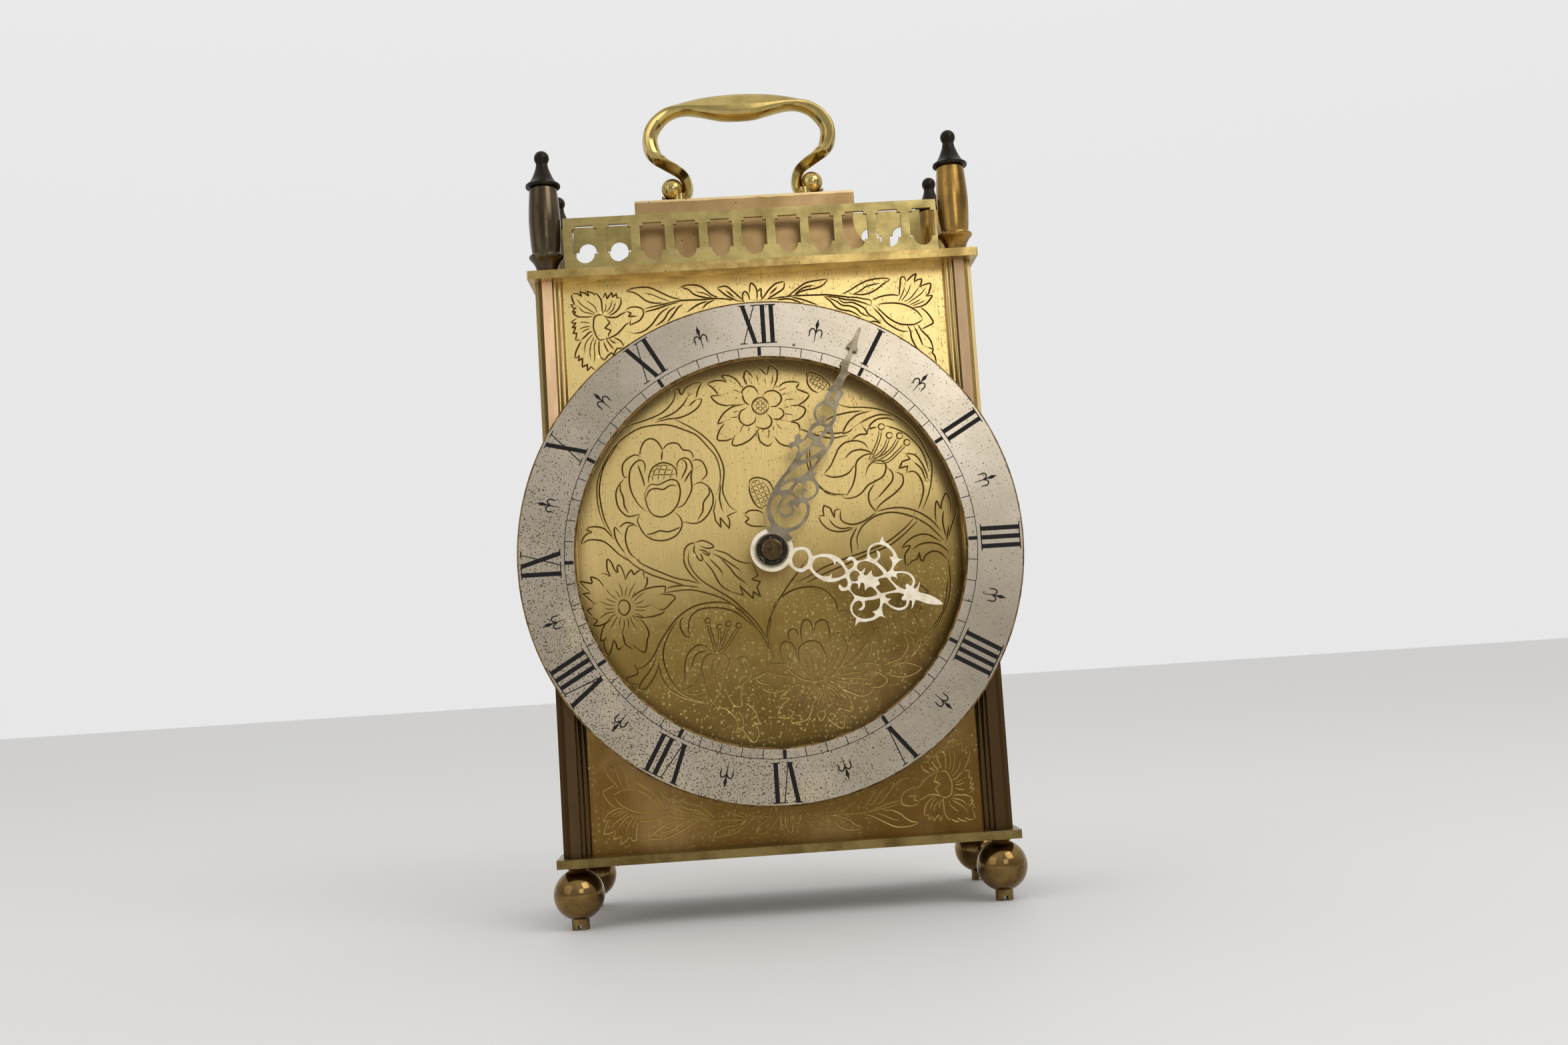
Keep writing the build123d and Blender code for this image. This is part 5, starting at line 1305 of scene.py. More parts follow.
@dataclass
class Handle:
    """Cast carrying handle: a faceted grip between two scrolled arms.

    Attributes:
        centre: the handle's middle across the clock.
        seat: height of the hood's top.
        ball: middle of the scroll's ball, sideways and above the hood.
        ball_radius: its radius.
        ball_flat: its depth from front to back against its width.
        boss: place of the boss under the scroll, sideways.
    """

    centre: float = -1.1
    seat: float = 204.9
    ball: Point = (20.9, 7.15)
    ball_radius: float = 3.25
    ball_flat: float = 0.93
    boss: float = 18.6
    stations: tuple[Station, ...] = (
        Station((0.0, 35.55), (0.0, 27.05), .15, 2.0, .51, 3.3),
        Station((5.4, 35.4), (5.0, 27.35), .17, 2.0, .51, 3.3),
        Station((11.5, 34.75), (11.3, 28.9), .23, 2.2, .54, 3.2),
        Station((17.3, 33.5), (15.2, 29.55), .28, 2.5, .42, 3.0),
        Station((22.0, 31.95), (18.2, 29.2), .14, 2.6, .22, 2.85),
        Station((25.9, 29.3), (21.0, 27.85), .12, 2.6, .20, 2.8),
        Station((28.1, 26.3), (23.0, 25.8), .10, 2.6, .18, 2.8),
        Station((29.0, 23.3), (24.3, 23.6), .09, 2.6, .17, 2.8),
        Station((29.0, 20.5), (24.4, 21.5), .10, 2.6, .18, 2.8),
        Station((28.2, 17.7), (23.5, 18.4), .17, 2.6, .25, 2.8),
        Station((26.4, 15.4), (22.3, 17.3), .32, 2.6, .40, 2.8),
        Station((23.7, 13.6), (21.4, 16.2), .56, 2.6, .64, 2.8),
        Station((19.4, 10.8), (18.2, 13.7), .74, 2.6, .82, 2.8),
        Station((18.3, 9.4), (15.8, 11.3), .76, 2.6, .84, 2.8),
        Station((17.75, 7.9), (14.7, 8.2), .76, 2.6, .84, 2.8),
        Station((17.8, 6.4), (14.8, 5.7), .76, 2.6, .84, 2.8),
        Station((18.6, 5.0), (16.2, 3.6), .74, 2.5, .82, 2.7),
        Station((20.2, 4.2), (18.8, 2.3), .70, 2.3, .78, 2.5),
        Station((22.3, 4.3), (22.0, 2.7), .60, 1.9, .70, 2.1),
        Station((23.8, 5.2), (24.2, 4.3), .50, 1.3, .60, 1.5))

    def build(self, shop: Shop) -> None:
        """Lofts the handle and adds its balls and bosses.

        Args:
            shop: the workshop.
        """
        rows = [(*s.outer, *s.inner, s.upper, s.upper_bulge, s.lower, s.lower_bulge)
                for s in self.stations]
        half = curve_through(rows, 0.9)
        mirrored = half[:0:-1].copy()
        mirrored[:, [0, 2]] *= -1
        line = np.vstack([mirrored, half])
        points, faces = [], []
        for row in line:
            points += self.section(row)
        count = len(points) // len(line)
        for step in range(len(line) - 1):
            for i in range(count):
                j = (i + 1) % count
                a, b = step * count, (step + 1) * count
                faces.append((a + i, a + j, b + j, b + i))
        faces += [tuple(range(count)), tuple(range(len(points) - count, len(points)))]
        arch = from_points("handle_arch", points, faces)
        tidy_shell(arch)
        smooth(arch, 17)
        shop.fit(arch, "case", "polished_brass", Brass.HANDLE, replaces=("handle",))
        for side, sign in (("left", -1), ("right", 1)):
            self.volute(shop, side, sign)

    def section(self, row: np.ndarray) -> list[tuple[float, float, float]]:
        """Lays out one closed cross-section.

        Args:
            row: the station's eight numbers.

        Returns:
            Points in millimetres, round the section.
        """
        outer, inner = row[0:2], row[2:4]
        upper, upper_bulge, lower, lower_bulge = row[4:8]
        left = 1 - lower
        front = [(0.0, 0.0), (upper * 0.35, upper_bulge * 0.55), (upper, upper_bulge),
                 (lower, lower_bulge), (lower + left * 0.22, lower_bulge * 0.995),
                 (lower + left * 0.45, lower_bulge * 0.94),
                 (lower + left * 0.66, lower_bulge * 0.80),
                 (lower + left * 0.84, lower_bulge * 0.56),
                 (lower + left * 0.96, lower_bulge * 0.26), (1.0, 0.0)]
        ring = [(share, -bulge) for share, bulge in front]
        ring += [(share, bulge) for share, bulge in front[-2:0:-1]]
        made = []
        for share, bulge in ring:
            x, up = outer + (inner - outer) * share
            made.append((self.centre + x, bulge, self.seat + up))
        return made

    def volute(self, shop: Shop, side: str, sign: int) -> None:
        """Turns one scroll's ball and the boss under it."""
        x, up = self.ball
        middle = (self.centre + sign * x, 0.0, self.seat + up)
        outline = arc(self.ball_radius, 0.0, range(31), 6, self.ball_flat)
        piece = turned(f"handle_volute_{side}", outline, middle, "Y", 56)
        shop.fit(piece, "case", "polished_brass", Brass.HANDLE)
        outline = [(0.0, 0.0), (2.6, 0.0), (2.6, 0.6), (2.35, 0.9), (2.1, 3.0), (2.3, 5.4),
                   (0.0, 5.4)]
        piece = turned(f"handle_boss_{side}", outline,
                       (self.centre + sign * self.boss, 0.0, self.seat), steps=48)
        shop.fit(piece, "case", "polished_brass", Brass.HANDLE)


# ---------------- chapter ring
@dataclass
class ChapterRing:
    """Silvered hour ring with its wax-filled numerals, minute track and half-hour marks.

    Attributes:
        outer: radius of the ring.
        inner: radius of its opening.
        face: its front face's place from front to back.
        back: its back face's place.
        edge: width of the sloped edges.
        foot: radius at which the numerals start.
        head: radius at which they end.
        pitch: distance between upright strokes.
        thick: width of a thick stroke.
        thin: width of a thin stroke.
        track: radius of the minute track's line.
        track_half: half the width of that line.
        tick_foot: radius at which the minutes' ticks start.
        fifth: width of each fifth minute's tick.
        tick: width of the ticks between.
        wax_rise: how far the wax stands forward of the ring.
        wax_thick: thickness of the wax.
    """

    outer: float = 70.0
    inner: float = 53.9
    face: float = -29.0
    back: float = -27.0
    edge: float = 0.4
    foot: float = 57.95
    head: float = 69.0
    pitch: float = 2.45
    thick: float = 1.25
    thin: float = 0.30
    track: float = 57.0
    track_half: float = 0.10
    tick_foot: float = 54.52
    fifth: float = 1.0
    tick: float = 0.23
    wax_rise: float = 0.03
    wax_thick: float = 0.12

    def build(self, shop: Shop) -> None:
        """Turns the ring and lays the wax in it.

        Args:
            shop: the workshop.
        """
        deep = self.back - self.face
        outline = [(self.inner, 0.0), (self.inner, deep - self.edge),
                   (self.inner + self.edge, deep), (self.outer - self.edge, deep),
                   (self.outer, deep - self.edge), (self.outer, 0.0), (self.inner, 0.0)]
        ring = turned("chapter_ring_disc", outline, (0.0, self.back, DIAL_RISE), "-Y", 256)
        shop.fit(ring, "case", "silvered", Silvered(), replaces=("chapter_ring",))
        wax = Fretwork()
        wax.ring(0.0, 0.0, self.track + self.track_half, self.track - self.track_half)
        for minute in range(60):
            self.bar(wax, minute * 6.0, (0.0, self.tick_foot), (0.0, self.track),
                     self.tick if minute % 5 else self.fifth)
        for hour, text in enumerate(("XII", "I", "II", "III", "IIII", "V", "VI", "VII", "VIII",
                                     "IX", "X", "XI")):
            self.numeral(wax, hour * 30.0, text)
            self.half_hour(wax, hour * 30.0 + 15.0)
        front = self.face - self.wax_rise
        piece = wax.sheet("dial_figures", lambda x, up: (x, front, DIAL_RISE + up),
                          self.wax_thick, 0.0)
        shop.fit(piece, "case", "silvered", Brass.WAX)

    @staticmethod
    def turn(points: Sequence[Point], degrees: float) -> np.ndarray:
        """Turns a drawing clockwise about the dial's centre.

        Args:
            points: sideways and outward distances, for the place at twelve.
            degrees: angle from twelve.

        Returns:
            The turned points.
        """
        given = np.asarray(points, float)
        c, s = math.cos(math.radians(degrees)), math.sin(math.radians(degrees))
        return np.stack([given[:, 0] * c + given[:, 1] * s,
                         given[:, 1] * c - given[:, 0] * s], 1)

    def bar(self, wax: Fretwork, angle: float, start: Point, end: Point, wide: float) -> None:
        """Lays a straight stroke, its ends cut level."""
        half = wide / 2
        wax.add(self.turn([(start[0] - half, start[1]), (start[0] + half, start[1]),
                           (end[0] + half, end[1]), (end[0] - half, end[1])], angle))

    def serif(self, wax: Fretwork, angle: float, left: float, right: float, at: float) -> None:
        """Lays a thin line across the ends of strokes."""
        half = self.thin / 2
        wax.add(self.turn([(left, at - half), (right, at - half), (right, at + half),
                           (left, at + half)], angle))

    def numeral(self, wax: Fretwork, angle: float, text: str) -> None:
        """Lays one numeral, its head outwards.

        Args:
            wax: the drawing it is added to.
            angle: the hour's angle from twelve.
            text: the numeral's letters.
        """
        widths = {"I": self.pitch, "V": 5.4, "X": 5.5}
        total = sum(widths[letter] for letter in text)
        at = -total / 2
        low, high = self.foot, self.head
        for letter in text:
            wide = widths[letter]
            middle = at + wide / 2
            if letter == "I":
                self.bar(wax, angle, (middle, low), (middle, high), self.thick)
                for rise in (low + self.thin / 2, high - self.thin / 2):
                    self.serif(wax, angle, middle - 1.24, middle + 1.24, rise)
            elif letter == "V":
                self.bar(wax, angle, (middle - 1.75, high), (middle + 0.15, low), self.thick)
                self.bar(wax, angle, (middle + 2.0, high), (middle + 0.55, low), self.thin)
                self.serif(wax, angle, middle - 2.85, middle - 0.6, high - self.thin / 2)
                self.serif(wax, angle, middle + 1.2, middle + 2.75, high - self.thin / 2)
                self.serif(wax, angle, middle - 0.6, middle + 1.1, low + self.thin / 2)
            else:
                self.bar(wax, angle, (middle - 1.6, high), (middle + 1.6, low), self.thick)
                self.bar(wax, angle, (middle + 1.7, high), (middle - 1.7, low), self.thin)
                for rise in (low + self.thin / 2, high - self.thin / 2):
                    self.serif(wax, angle, middle - 2.7, middle - 0.75, rise)
                    self.serif(wax, angle, middle + 0.75, middle + 2.7, rise)
            at += wide

    def half_hour(self, wax: Fretwork, angle: float) -> None:
        """Lays one half-hour mark: a lozenge on a thin stalk with two hanging arms."""
        right = [(0.22, 65.35), (0.52, 64.5), (0.30, 63.7), (0.16, 63.1), (0.15, 61.8),
                 (0.08, 59.5)]
        left = [(-across, out) for across, out in right[::-1]]
        wax.add(self.turn([(0, 66.2), *right, *left], angle))
        for sign in (-1, 1):
            arm = curve_through([(sign * 0.05, 62.0), (sign * 0.38, 62.85), (sign * 1.0, 63.25),
                                 (sign * 1.6, 62.85), (sign * 1.75, 62.1), (sign * 1.62, 61.45),
                                 (sign * 1.85, 60.85)], 0.2)
            share = np.linspace(0, 1, len(arm))
            half = np.interp(share, [0, 0.2, 0.75, 1], [0.12, 0.19, 0.19, 0.08])
            wax.add(self.turn(band(arm, half), angle))


# ---------------- hands
# Drawings of the hands, pointing up, in hundredths of a millimetre from the arbor: a closed
# outline to a row. The hour hand's edge and its middle openings are halves, mirrored.
HOUR_EDGE = """
240,560 310,690 353,840 320,990 225,1075 183,1130 220,1185 310,1335 365,1510 380,1620 370,1740 \
330,1870 250,2000 160,2100 120,2170 160,2215 240,2260 325,2270 385,2225 395,2150 350,2090 \
350,2040 430,2055 490,2120 490,2200 420,2335 480,2450 570,2560 690,2535 800,2510 930,2550 \
1040,2650 1100,2770 1210,2780 1310,2810 1220,2840 1160,2880 1125,3010 1070,3120 995,3240 \
900,3330 840,3375 835,3450 845,3540 805,3475 740,3420 640,3375 530,3350 460,3370 475,3460 \
520,3580 545,3735 525,3850 475,3940 395,4005 295,4030 200,4020 165,4050 185,4090 260,4120 \
390,4140 340,4165 220,4172 130,4178 112,4250 122,4390 120,4540 90,4720 48,4860 0,4945
"""
HOUR_MIDDLES = """
0,1183 130,1215 210,1310 255,1440 262,1540 240,1640 190,1725 105,1755 185,1780 235,1780 230,1830 \
190,1930 115,2040 0,2120
0,2240 75,2265 145,2330 150,2400 130,2460 100,2485 70,2510 35,2475 0,2495
0,3595 70,3505 150,3370 230,3230 200,3160 140,3060 90,3030 50,3075 0,3115
"""
HOUR_SIDES = """
860,2750 850,2820 795,2880 705,2900 630,2875 570,2850 525,2930 475,3050 410,3160 370,3210 \
420,3250 520,3280 620,3280 710,3240 755,3180 790,3135 815,3200 835,3235 890,3220 950,3165 \
1005,3075 1040,2980 1050,2875 1030,2750 970,2640 870,2585 770,2575 675,2610 620,2675 605,2735 \
630,2790 690,2825 760,2815 815,2775
495,2640 480,2520 400,2400 300,2365 220,2385 175,2470 190,2540 245,2565 300,2578 270,2602 \
200,2605 135,2590 105,2640 120,2700 190,2730 300,2775 200,2825 145,2885 160,2965 220,3070 \
285,3130 345,3080 420,2960 475,2820
230,3950 295,3965 370,3945 430,3885 475,3780 480,3660 455,3540 410,3470 350,3490 285,3535 \
310,3440 300,3370 250,3345 195,3395 120,3535 72,3685 68,3820 95,3840 150,3805 210,3800 240,3830 \
230,3880 195,3915
"""
MINUTE_EDGE = """
275,360 285,405 350,405 387,470 372,540 295,555 260,605 325,685 440,795 524,937 585,1110 \
597,1250 560,1420 487,1540 426,1610 470,1665 535,1750 585,1880 596,1990 570,2100 517,2176 \
437,2235 357,2270 326,2307 343,2360 378,2450 330,2430 290,2426 248,2450 270,2590 317,2770 \
370,2930 420,3080 460,3250 472,3400 460,3500 415,3600 350,3710 300,3790 296,3890 310,4000 \
296,4100 250,4210 215,4300 230,4365 237,4410 220,4470 204,4540 213,4600 240,4690 250,4780 \
230,4810 170,4830 143,4910 126,5060 140,5190 165,5280 210,5360 130,5375 110,5420 96,5580 74,5760 \
57,5930 52,5990 120,6010 190,6040 154,6090 100,6190 74,6320 57,6470 46,6600 30,6660 0,6685 \
-35,6660 -55,6570 -65,6410 -85,6280 -130,6170 -170,6080 -193,6050 -130,6050 -74,6030 -52,5985 \
-63,5860 -70,5710 -78,5630 -172,5565 -110,5490 -70,5390 -63,5280 -85,5150 -107,4995 -117,4865 \
-183,4820 -220,4790 -193,4735 -183,4630 -200,4520 -193,4410 -226,4340 -290,4280 -335,4190 \
-350,4080 -335,3970 -280,3880 -193,3790 -180,3760 -204,3710 -250,3650 -274,3540 -285,3440 \
-290,3320 -310,3210 -346,3165 -400,3150 -420,3190 -433,3240 -476,3270 -540,3230 -570,3180 \
-560,3110 -535,3060 -535,3000 -585,2980 -635,2940 -640,2870 -607,2820 -550,2800 -520,2830 \
-500,2890 -460,2920 -400,2890 -367,2850 -360,2770 -350,2665 -357,2560 -380,2450 -410,2300 \
-450,2120 -510,1950 -540,1800 -574,1640 -585,1470 -596,1320 -596,1165 -560,1010 -510,890 \
-430,770 -335,680 -270,620 -310,570 -335,510 -324,460 -250,430 -230,360
"""
MINUTE_OPENINGS = """
-367,1500 -430,1450 -480,1350 -500,1210 -487,1100 -420,980 -313,850 -193,750 -50,690 100,690 \
240,750 360,850 450,990 490,1140 497,1296 462,1430 410,1500 340,1535 270,1510 245,1460 237,1360 \
220,1330 165,1360 110,1400 90,1380 96,1340 143,1307 183,1230 176,1120 120,1035 35,965 -63,940 \
-170,970 -260,1060 -300,1140 -307,1250 -290,1380 -285,1460 -313,1496
-135,1580 -50,1610 24,1590 50,1550 24,1500 -30,1480 -57,1450 -50,1400 -85,1350 -107,1296 \
-96,1240 -50,1230 -20,1270 24,1280 78,1240 100,1190 78,1110 13,1050 -63,1035 -150,1060 -210,1130 \
-230,1220 -215,1340 -183,1450 -150,1535
-390,1640 -400,1690 -346,1796 -250,1915 -193,1960 -130,1960 -128,1915 -160,1820 -183,1730 \
-250,1690 -324,1635 -367,1626
-78,1726 -50,1860 -13,1960 17,2020 215,1990 198,2050 190,2100 215,2150 285,2180 380,2160 \
470,2080 520,1980 525,1880 490,1785 430,1715 360,1685 296,1700 250,1740 245,1807 280,1890 \
260,1915 220,1920 170,1890 143,1840 160,1760 210,1690 220,1635 187,1610 100,1635 -10,1670
-410,1915 -404,1990 -357,2120 -290,2250 -183,2400 -74,2520 35,2640 120,2760 187,2835 235,2820 \
250,2770 215,2640 170,2510 120,2380 35,2250 -50,2150 -140,2090 -250,2010 -335,1940 -380,1904
-193,2640 -183,2710 -117,2840 -50,2990 0,3110 57,3130 120,3126 176,3155 225,3130 232,3080 \
187,2970 78,2840 -30,2710 -117,2625 -170,2610
-374,3020 -313,3100 -275,3180 -245,3255 -193,3275 -107,3265 -68,3240 -62,3190 -96,3090 -160,2970 \
-215,2840 -260,2810 -305,2850 -340,2930 -375,2980
115,3310 154,3430 187,3540 230,3615 280,3635 330,3590 365,3496 380,3410 378,3320 365,3205 \
330,3205 250,3240 176,3270
-195,3415 -85,3395 10,3380 50,3400 85,3520 110,3590 120,3650 105,3695 50,3720 -20,3710 -96,3660 \
-150,3580 -183,3496
-280,4060 -265,4150 -220,4230 -150,4285 -50,4310 35,4300 120,4260 176,4190 213,4100 213,3996 \
190,3890 154,3810 120,3790 80,3800 35,3830 35,3890 46,3950 13,3990 -40,3996 -78,3975 -63,3930 \
-50,3890 -85,3855 -140,3855 -204,3880 -260,3950
-63,4440 -63,4580 -50,4700 -15,4735 35,4720 58,4680 62,4540 60,4440
"""


def traced(drawings: str) -> list[list[Point]]:
    """Reads drawings of the hands.

    Args:
        drawings: rows of points in hundredths of a millimetre.

    Returns:
        The points of each row, in millimetres.
    """
    return [[(int(x) / 100, int(up) / 100) for x, up in (pair.split(",") for pair in row.split())]
            for row in drawings.strip().splitlines()]


def sawn(points: Sequence[Point], corner: float = 42.0, step: float = 0.22) -> np.ndarray:
    """Smooths a closed outline between its corners.

    Args:
        points: the outline's points.
        corner: turns sharper than this many degrees stay sharp.
        step: distance between the smoothed points.

    Returns:
        The smoothed outline.
    """
    given = np.asarray(points, float)
    ahead = np.roll(given, -1, 0) - given
    behind = given - np.roll(given, 1, 0)
    turn = np.degrees(np.abs(np.arctan2(ahead[:, 0] * behind[:, 1] - ahead[:, 1] * behind[:, 0],
                                        (ahead * behind).sum(1))))
    sharp = np.flatnonzero(turn > corner)
    if len(sharp) == 0:
        return curve_through(given, step, closed=True)
    made = []
    for place, start in enumerate(sharp):
        end = sharp[(place + 1) % len(sharp)]
        if end <= start:
            end += len(given)
        run = given[np.arange(start, end + 1) % len(given)]
        made.append(run[:-1] if len(run) == 2 else curve_through(run, step)[:-1])
    return np.vstack(made)


@dataclass
class Hands:
    """Pierced steel hour and minute hands and the nut that holds them.

    Attributes:
        hour_angle: the hour hand's angle from twelve.
        minute_angle: the minute hand's angle from twelve.
        hour_front: place of the hour hand's front face.
        hour_thick: thickness of the hour hand.
        minute_front: place of the minute hand's front face.
        minute_thick: thickness of the minute hand.
        edge: rounding of their edges.
    """

    hour_angle: float = 111.0
    minute_angle: float = 25.2
    hour_front: float = -29.8
    hour_thick: float = 0.6
    minute_front: float = -31.1
    minute_thick: float = 0.5
    edge: float = 0.10

    def build(self, shop: Shop) -> None:
        """Saws both hands and turns the nut.

        Args:
            shop: the workshop.
        """
        for name, fret, angle, front, thick, finish in (
                ("hour", self.hour_fret(), self.hour_angle, self.hour_front,
                 self.hour_thick, Brass.STEEL_BRIGHT),
                ("minute", self.minute_fret(), self.minute_angle, self.minute_front,
                 self.minute_thick, Brass.STEEL_DARK)):
            piece = fret.sheet(f"{name}_hand_pierced", self.placer(angle, front), thick,
                               self.edge)
            shop.fit(piece, name, "hand_steel", finish, replaces=(f"{name}_hand",))
        self.nut(shop)

    @staticmethod
    def placer(angle: float, front: float) -> Any:
        """Gives the function that places a drawing pointing up at its angle on the dial."""
        c, s = math.cos(math.radians(angle)), math.sin(math.radians(angle))
        return lambda x, up: (up * s + x * c, front, DIAL_RISE + up * c - x * s)

    def nut(self, shop: Shop) -> None:
        """Turns the conical hand nut and the worn washer under it."""
        at = (0.0, self.minute_front, DIAL_RISE)
        washer = [(0.0, 0.0), (4.25, 0.0), (4.25, 0.62), (4.1, 0.78), (0.0, 0.8)]
        piece = turned("hand_washer", washer, at, "-Y", 72)
        shop.fit(piece, "minute", "bronze_dark", Brass.WASHER, replaces=("hand_nut",))
        cone = [(0.0, 0.8), (3.15, 0.8), (3.15, 1.2), (2.95, 1.65), (2.55, 1.85), (1.9, 2.5),
                (1.1, 3.3), (0.75, 3.55), (0.0, 3.6)]
        piece = turned("hand_nut_cone", cone, at, "-Y", 72)
        shop.fit(piece, "minute", "bronze_dark", Brass.HUB)

    @staticmethod
    def hour_fret() -> Fretwork:
        """Draws the hour hand, pointing up.

        Returns:
            The sheet's outline and openings.
        """
        half, = traced(HOUR_EDGE)
        fret = Fretwork().add(disc(0.0, 0.0, 5.95, count=90))
        fret.add(sawn(half + [(-x, up) for x, up in half[-2::-1]]))
        fret.cut(disc(0.0, 8.2, 2.62, 2.2))
        for drawing in traced(HOUR_MIDDLES):
            fret.cut(sawn(drawing + [(-x, up) for x, up in drawing[::-1] if x > 0]))
        for drawing in traced(HOUR_SIDES):
            for sign in (1, -1):
                fret.cut(sawn([(sign * x, up) for x, up in drawing]))
        return fret

    @staticmethod
    def minute_fret() -> Fretwork:
        """Draws the minute hand, pointing up.

        Returns:
            The sheet's outline and openings.
        """
        fret = Fretwork().add(disc(0.0, 0.0, 4.7, count=80)).add(sawn(*traced(MINUTE_EDGE)))
        for drawing in traced(MINUTE_OPENINGS):
            fret.cut(sawn(drawing))
        return fret


# ---------------- engraving
# Engraved lines of the dial plate, in tenths of a millimetre from the dial's centre, one line
# to a row. A row that starts with ! keeps its corners, and one with ~ is a fine line.
CARNATION = """
-433,710 -447,712 -460,705 -463,692 -464,673 -458,652 -448,639 -433,640
-433,710 -428,705 -413,702 -398,702 -383,710 -370,715
!-428,702 -417,687 -432,672 -415,665 -423,652 -423,643
-433,640 -420,643 -400,652 -383,667 -373,678 -363,683
-437,712 -437,733 -438,753 -445,767 -453,777
!-453,777 -454,770 -463,777 -477,782 -473,768 -483,777 -497,782 -494,768 -505,777 -522,777
-522,777 -520,760 -513,743
!-512,743 -525,746 -518,734 -512,736 -522,724 -512,724 -519,718 -505,709 -480,707 -465,708
~-507,760 -493,742 -477,730 -463,720 -458,713
~-503,737 -490,723 -470,717 -462,712
~-480,755 -470,747 -457,735 -452,717
!-433,758 -428,770 -425,774 -421,757 -413,768 -407,775 -405,761 -397,767 -394,771 -393,757 \
-382,760
-382,760 -383,740 -393,723 -407,712 -417,708
~-427,717 -413,733 -408,750
~-435,715 -427,727 -425,742
~-422,712 -407,723 -397,745
!-510,705 -523,698 -525,692 -513,692 -525,678 -514,680 -523,662 -512,662 -517,643 -500,640
-500,642 -487,653 -477,662 -467,665
~-502,692 -490,693 -473,688
~-505,673 -490,678 -472,680
~-498,663 -487,670 -475,673
-500,640 -510,623 -518,607 -522,587
!-522,587 -508,597 -512,582 -500,589 -502,563 -487,570 -488,552 -477,563 -470,555 -465,554
-450,637 -452,613 -450,593 -443,580
~-493,603 -490,627 -480,643 -465,658
~-477,583 -478,607 -473,630 -463,650
~-468,575 -465,593 -465,620 -458,643
-437,632 -433,617 -425,602
-430,640 -420,623 -410,610
-420,640 -413,632 -403,627
-407,643 -390,633 -380,617
!-448,590 -437,580 -428,592 -417,600 -412,594 -400,612 -390,611 -382,615
-370,720 -360,727 -347,729 -333,727 -321,720 -320,707 -325,697 -333,688 -347,682 -360,678 -357,693
!-367,717 -355,712 -363,702 -340,702
-320,721 -290,727 -260,732 -230,737 -200,740 -151,739 -109,740 -66,734 -30,726
-318,712 -280,720 -247,730 -213,737
-368,775 -347,783 -320,785 -297,782 -273,770 -250,757 -230,748 -210,743
-368,775 -347,772 -330,762 -313,747 -293,738 -263,735
~-313,767 -293,762 -273,752 -245,740
-352,652 -327,655 -303,670 -287,688 -270,708 -247,722
-287,670 -263,687 -247,710 -227,723
-253,680 -233,703 -220,720 -207,728
-210,781 -180,784 -151,777 -123,752 -101,741
-210,779 -187,770 -173,756 -144,745 -109,740
~-166,763 -144,757 -123,745
-137,734 -166,724 -194,706
-116,736 -137,727 -151,713
-105,771 -80,774 -59,756 -41,738 -30,727
-105,770 -87,752 -66,738 -48,729
-80,761 -59,741
-35,730 -33,750 -26,756 -18,747 -14,730
-14,750 -9,779 4,768 8,750 6,730
8,750 18,762 20,756 19,744 21,730
"""
POMEGRANATE = """
88,779 63,774 41,756 27,738 16,727
88,779 84,759 63,745 34,729
66,763 45,745
213,779 177,776 149,771 124,756 99,738 84,731
213,779 199,763 177,754 141,749 106,734
170,763 141,757 116,741
106,731 134,724 177,706
63,727 99,727 134,713
30,728 60,732 100,735 140,735 180,734 207,733 240,728 267,723 293,720 313,715 327,712 334,707 \
332,696
200,728 230,725 257,717 283,713 307,705 328,696
393,767 380,772 353,772 327,768 300,757 273,742 252,733
393,767 373,757 360,747 340,735 313,728 280,731
360,758 340,755 320,750 300,737 285,732
200,727 217,713 230,697 247,687 270,682 287,673 297,665
213,723 233,713 250,700 270,697 290,688 303,673 325,662
237,723 253,708 277,707 293,700 313,687 323,670 340,657 357,640
357,640 343,647 327,648
337,710 357,718 380,722 400,722 415,718
352,697 380,699 407,697 427,692 447,682 463,670 473,657 477,647
347,692 363,673 383,653 407,638 430,633 453,633 473,642 477,647
338,688 357,665 373,643 393,627 413,616 430,613
473,682 487,670 497,657 505,643 507,633 490,625 472,617
415,718 418,740 421,757 423,770 433,773 438,758
438,758 447,767 457,775 468,780 463,765 462,753
462,755 470,762 483,763 480,750 475,743
475,740 490,747 508,749 505,733 500,720 490,712
490,712 510,714 503,703 490,690 470,683 452,682
~432,742 428,730 413,703
~450,748 443,732 433,717 420,703
~473,740 463,727 447,710 427,700
~493,737 477,720 457,707 437,695
~477,705 460,697 443,690
~488,700 470,693 450,687
433,630 440,613 442,593 453,567 460,560
453,623 463,600 473,570
462,632 473,613 490,593 498,577 502,557
487,563 502,557 498,548 505,537 508,517
"""
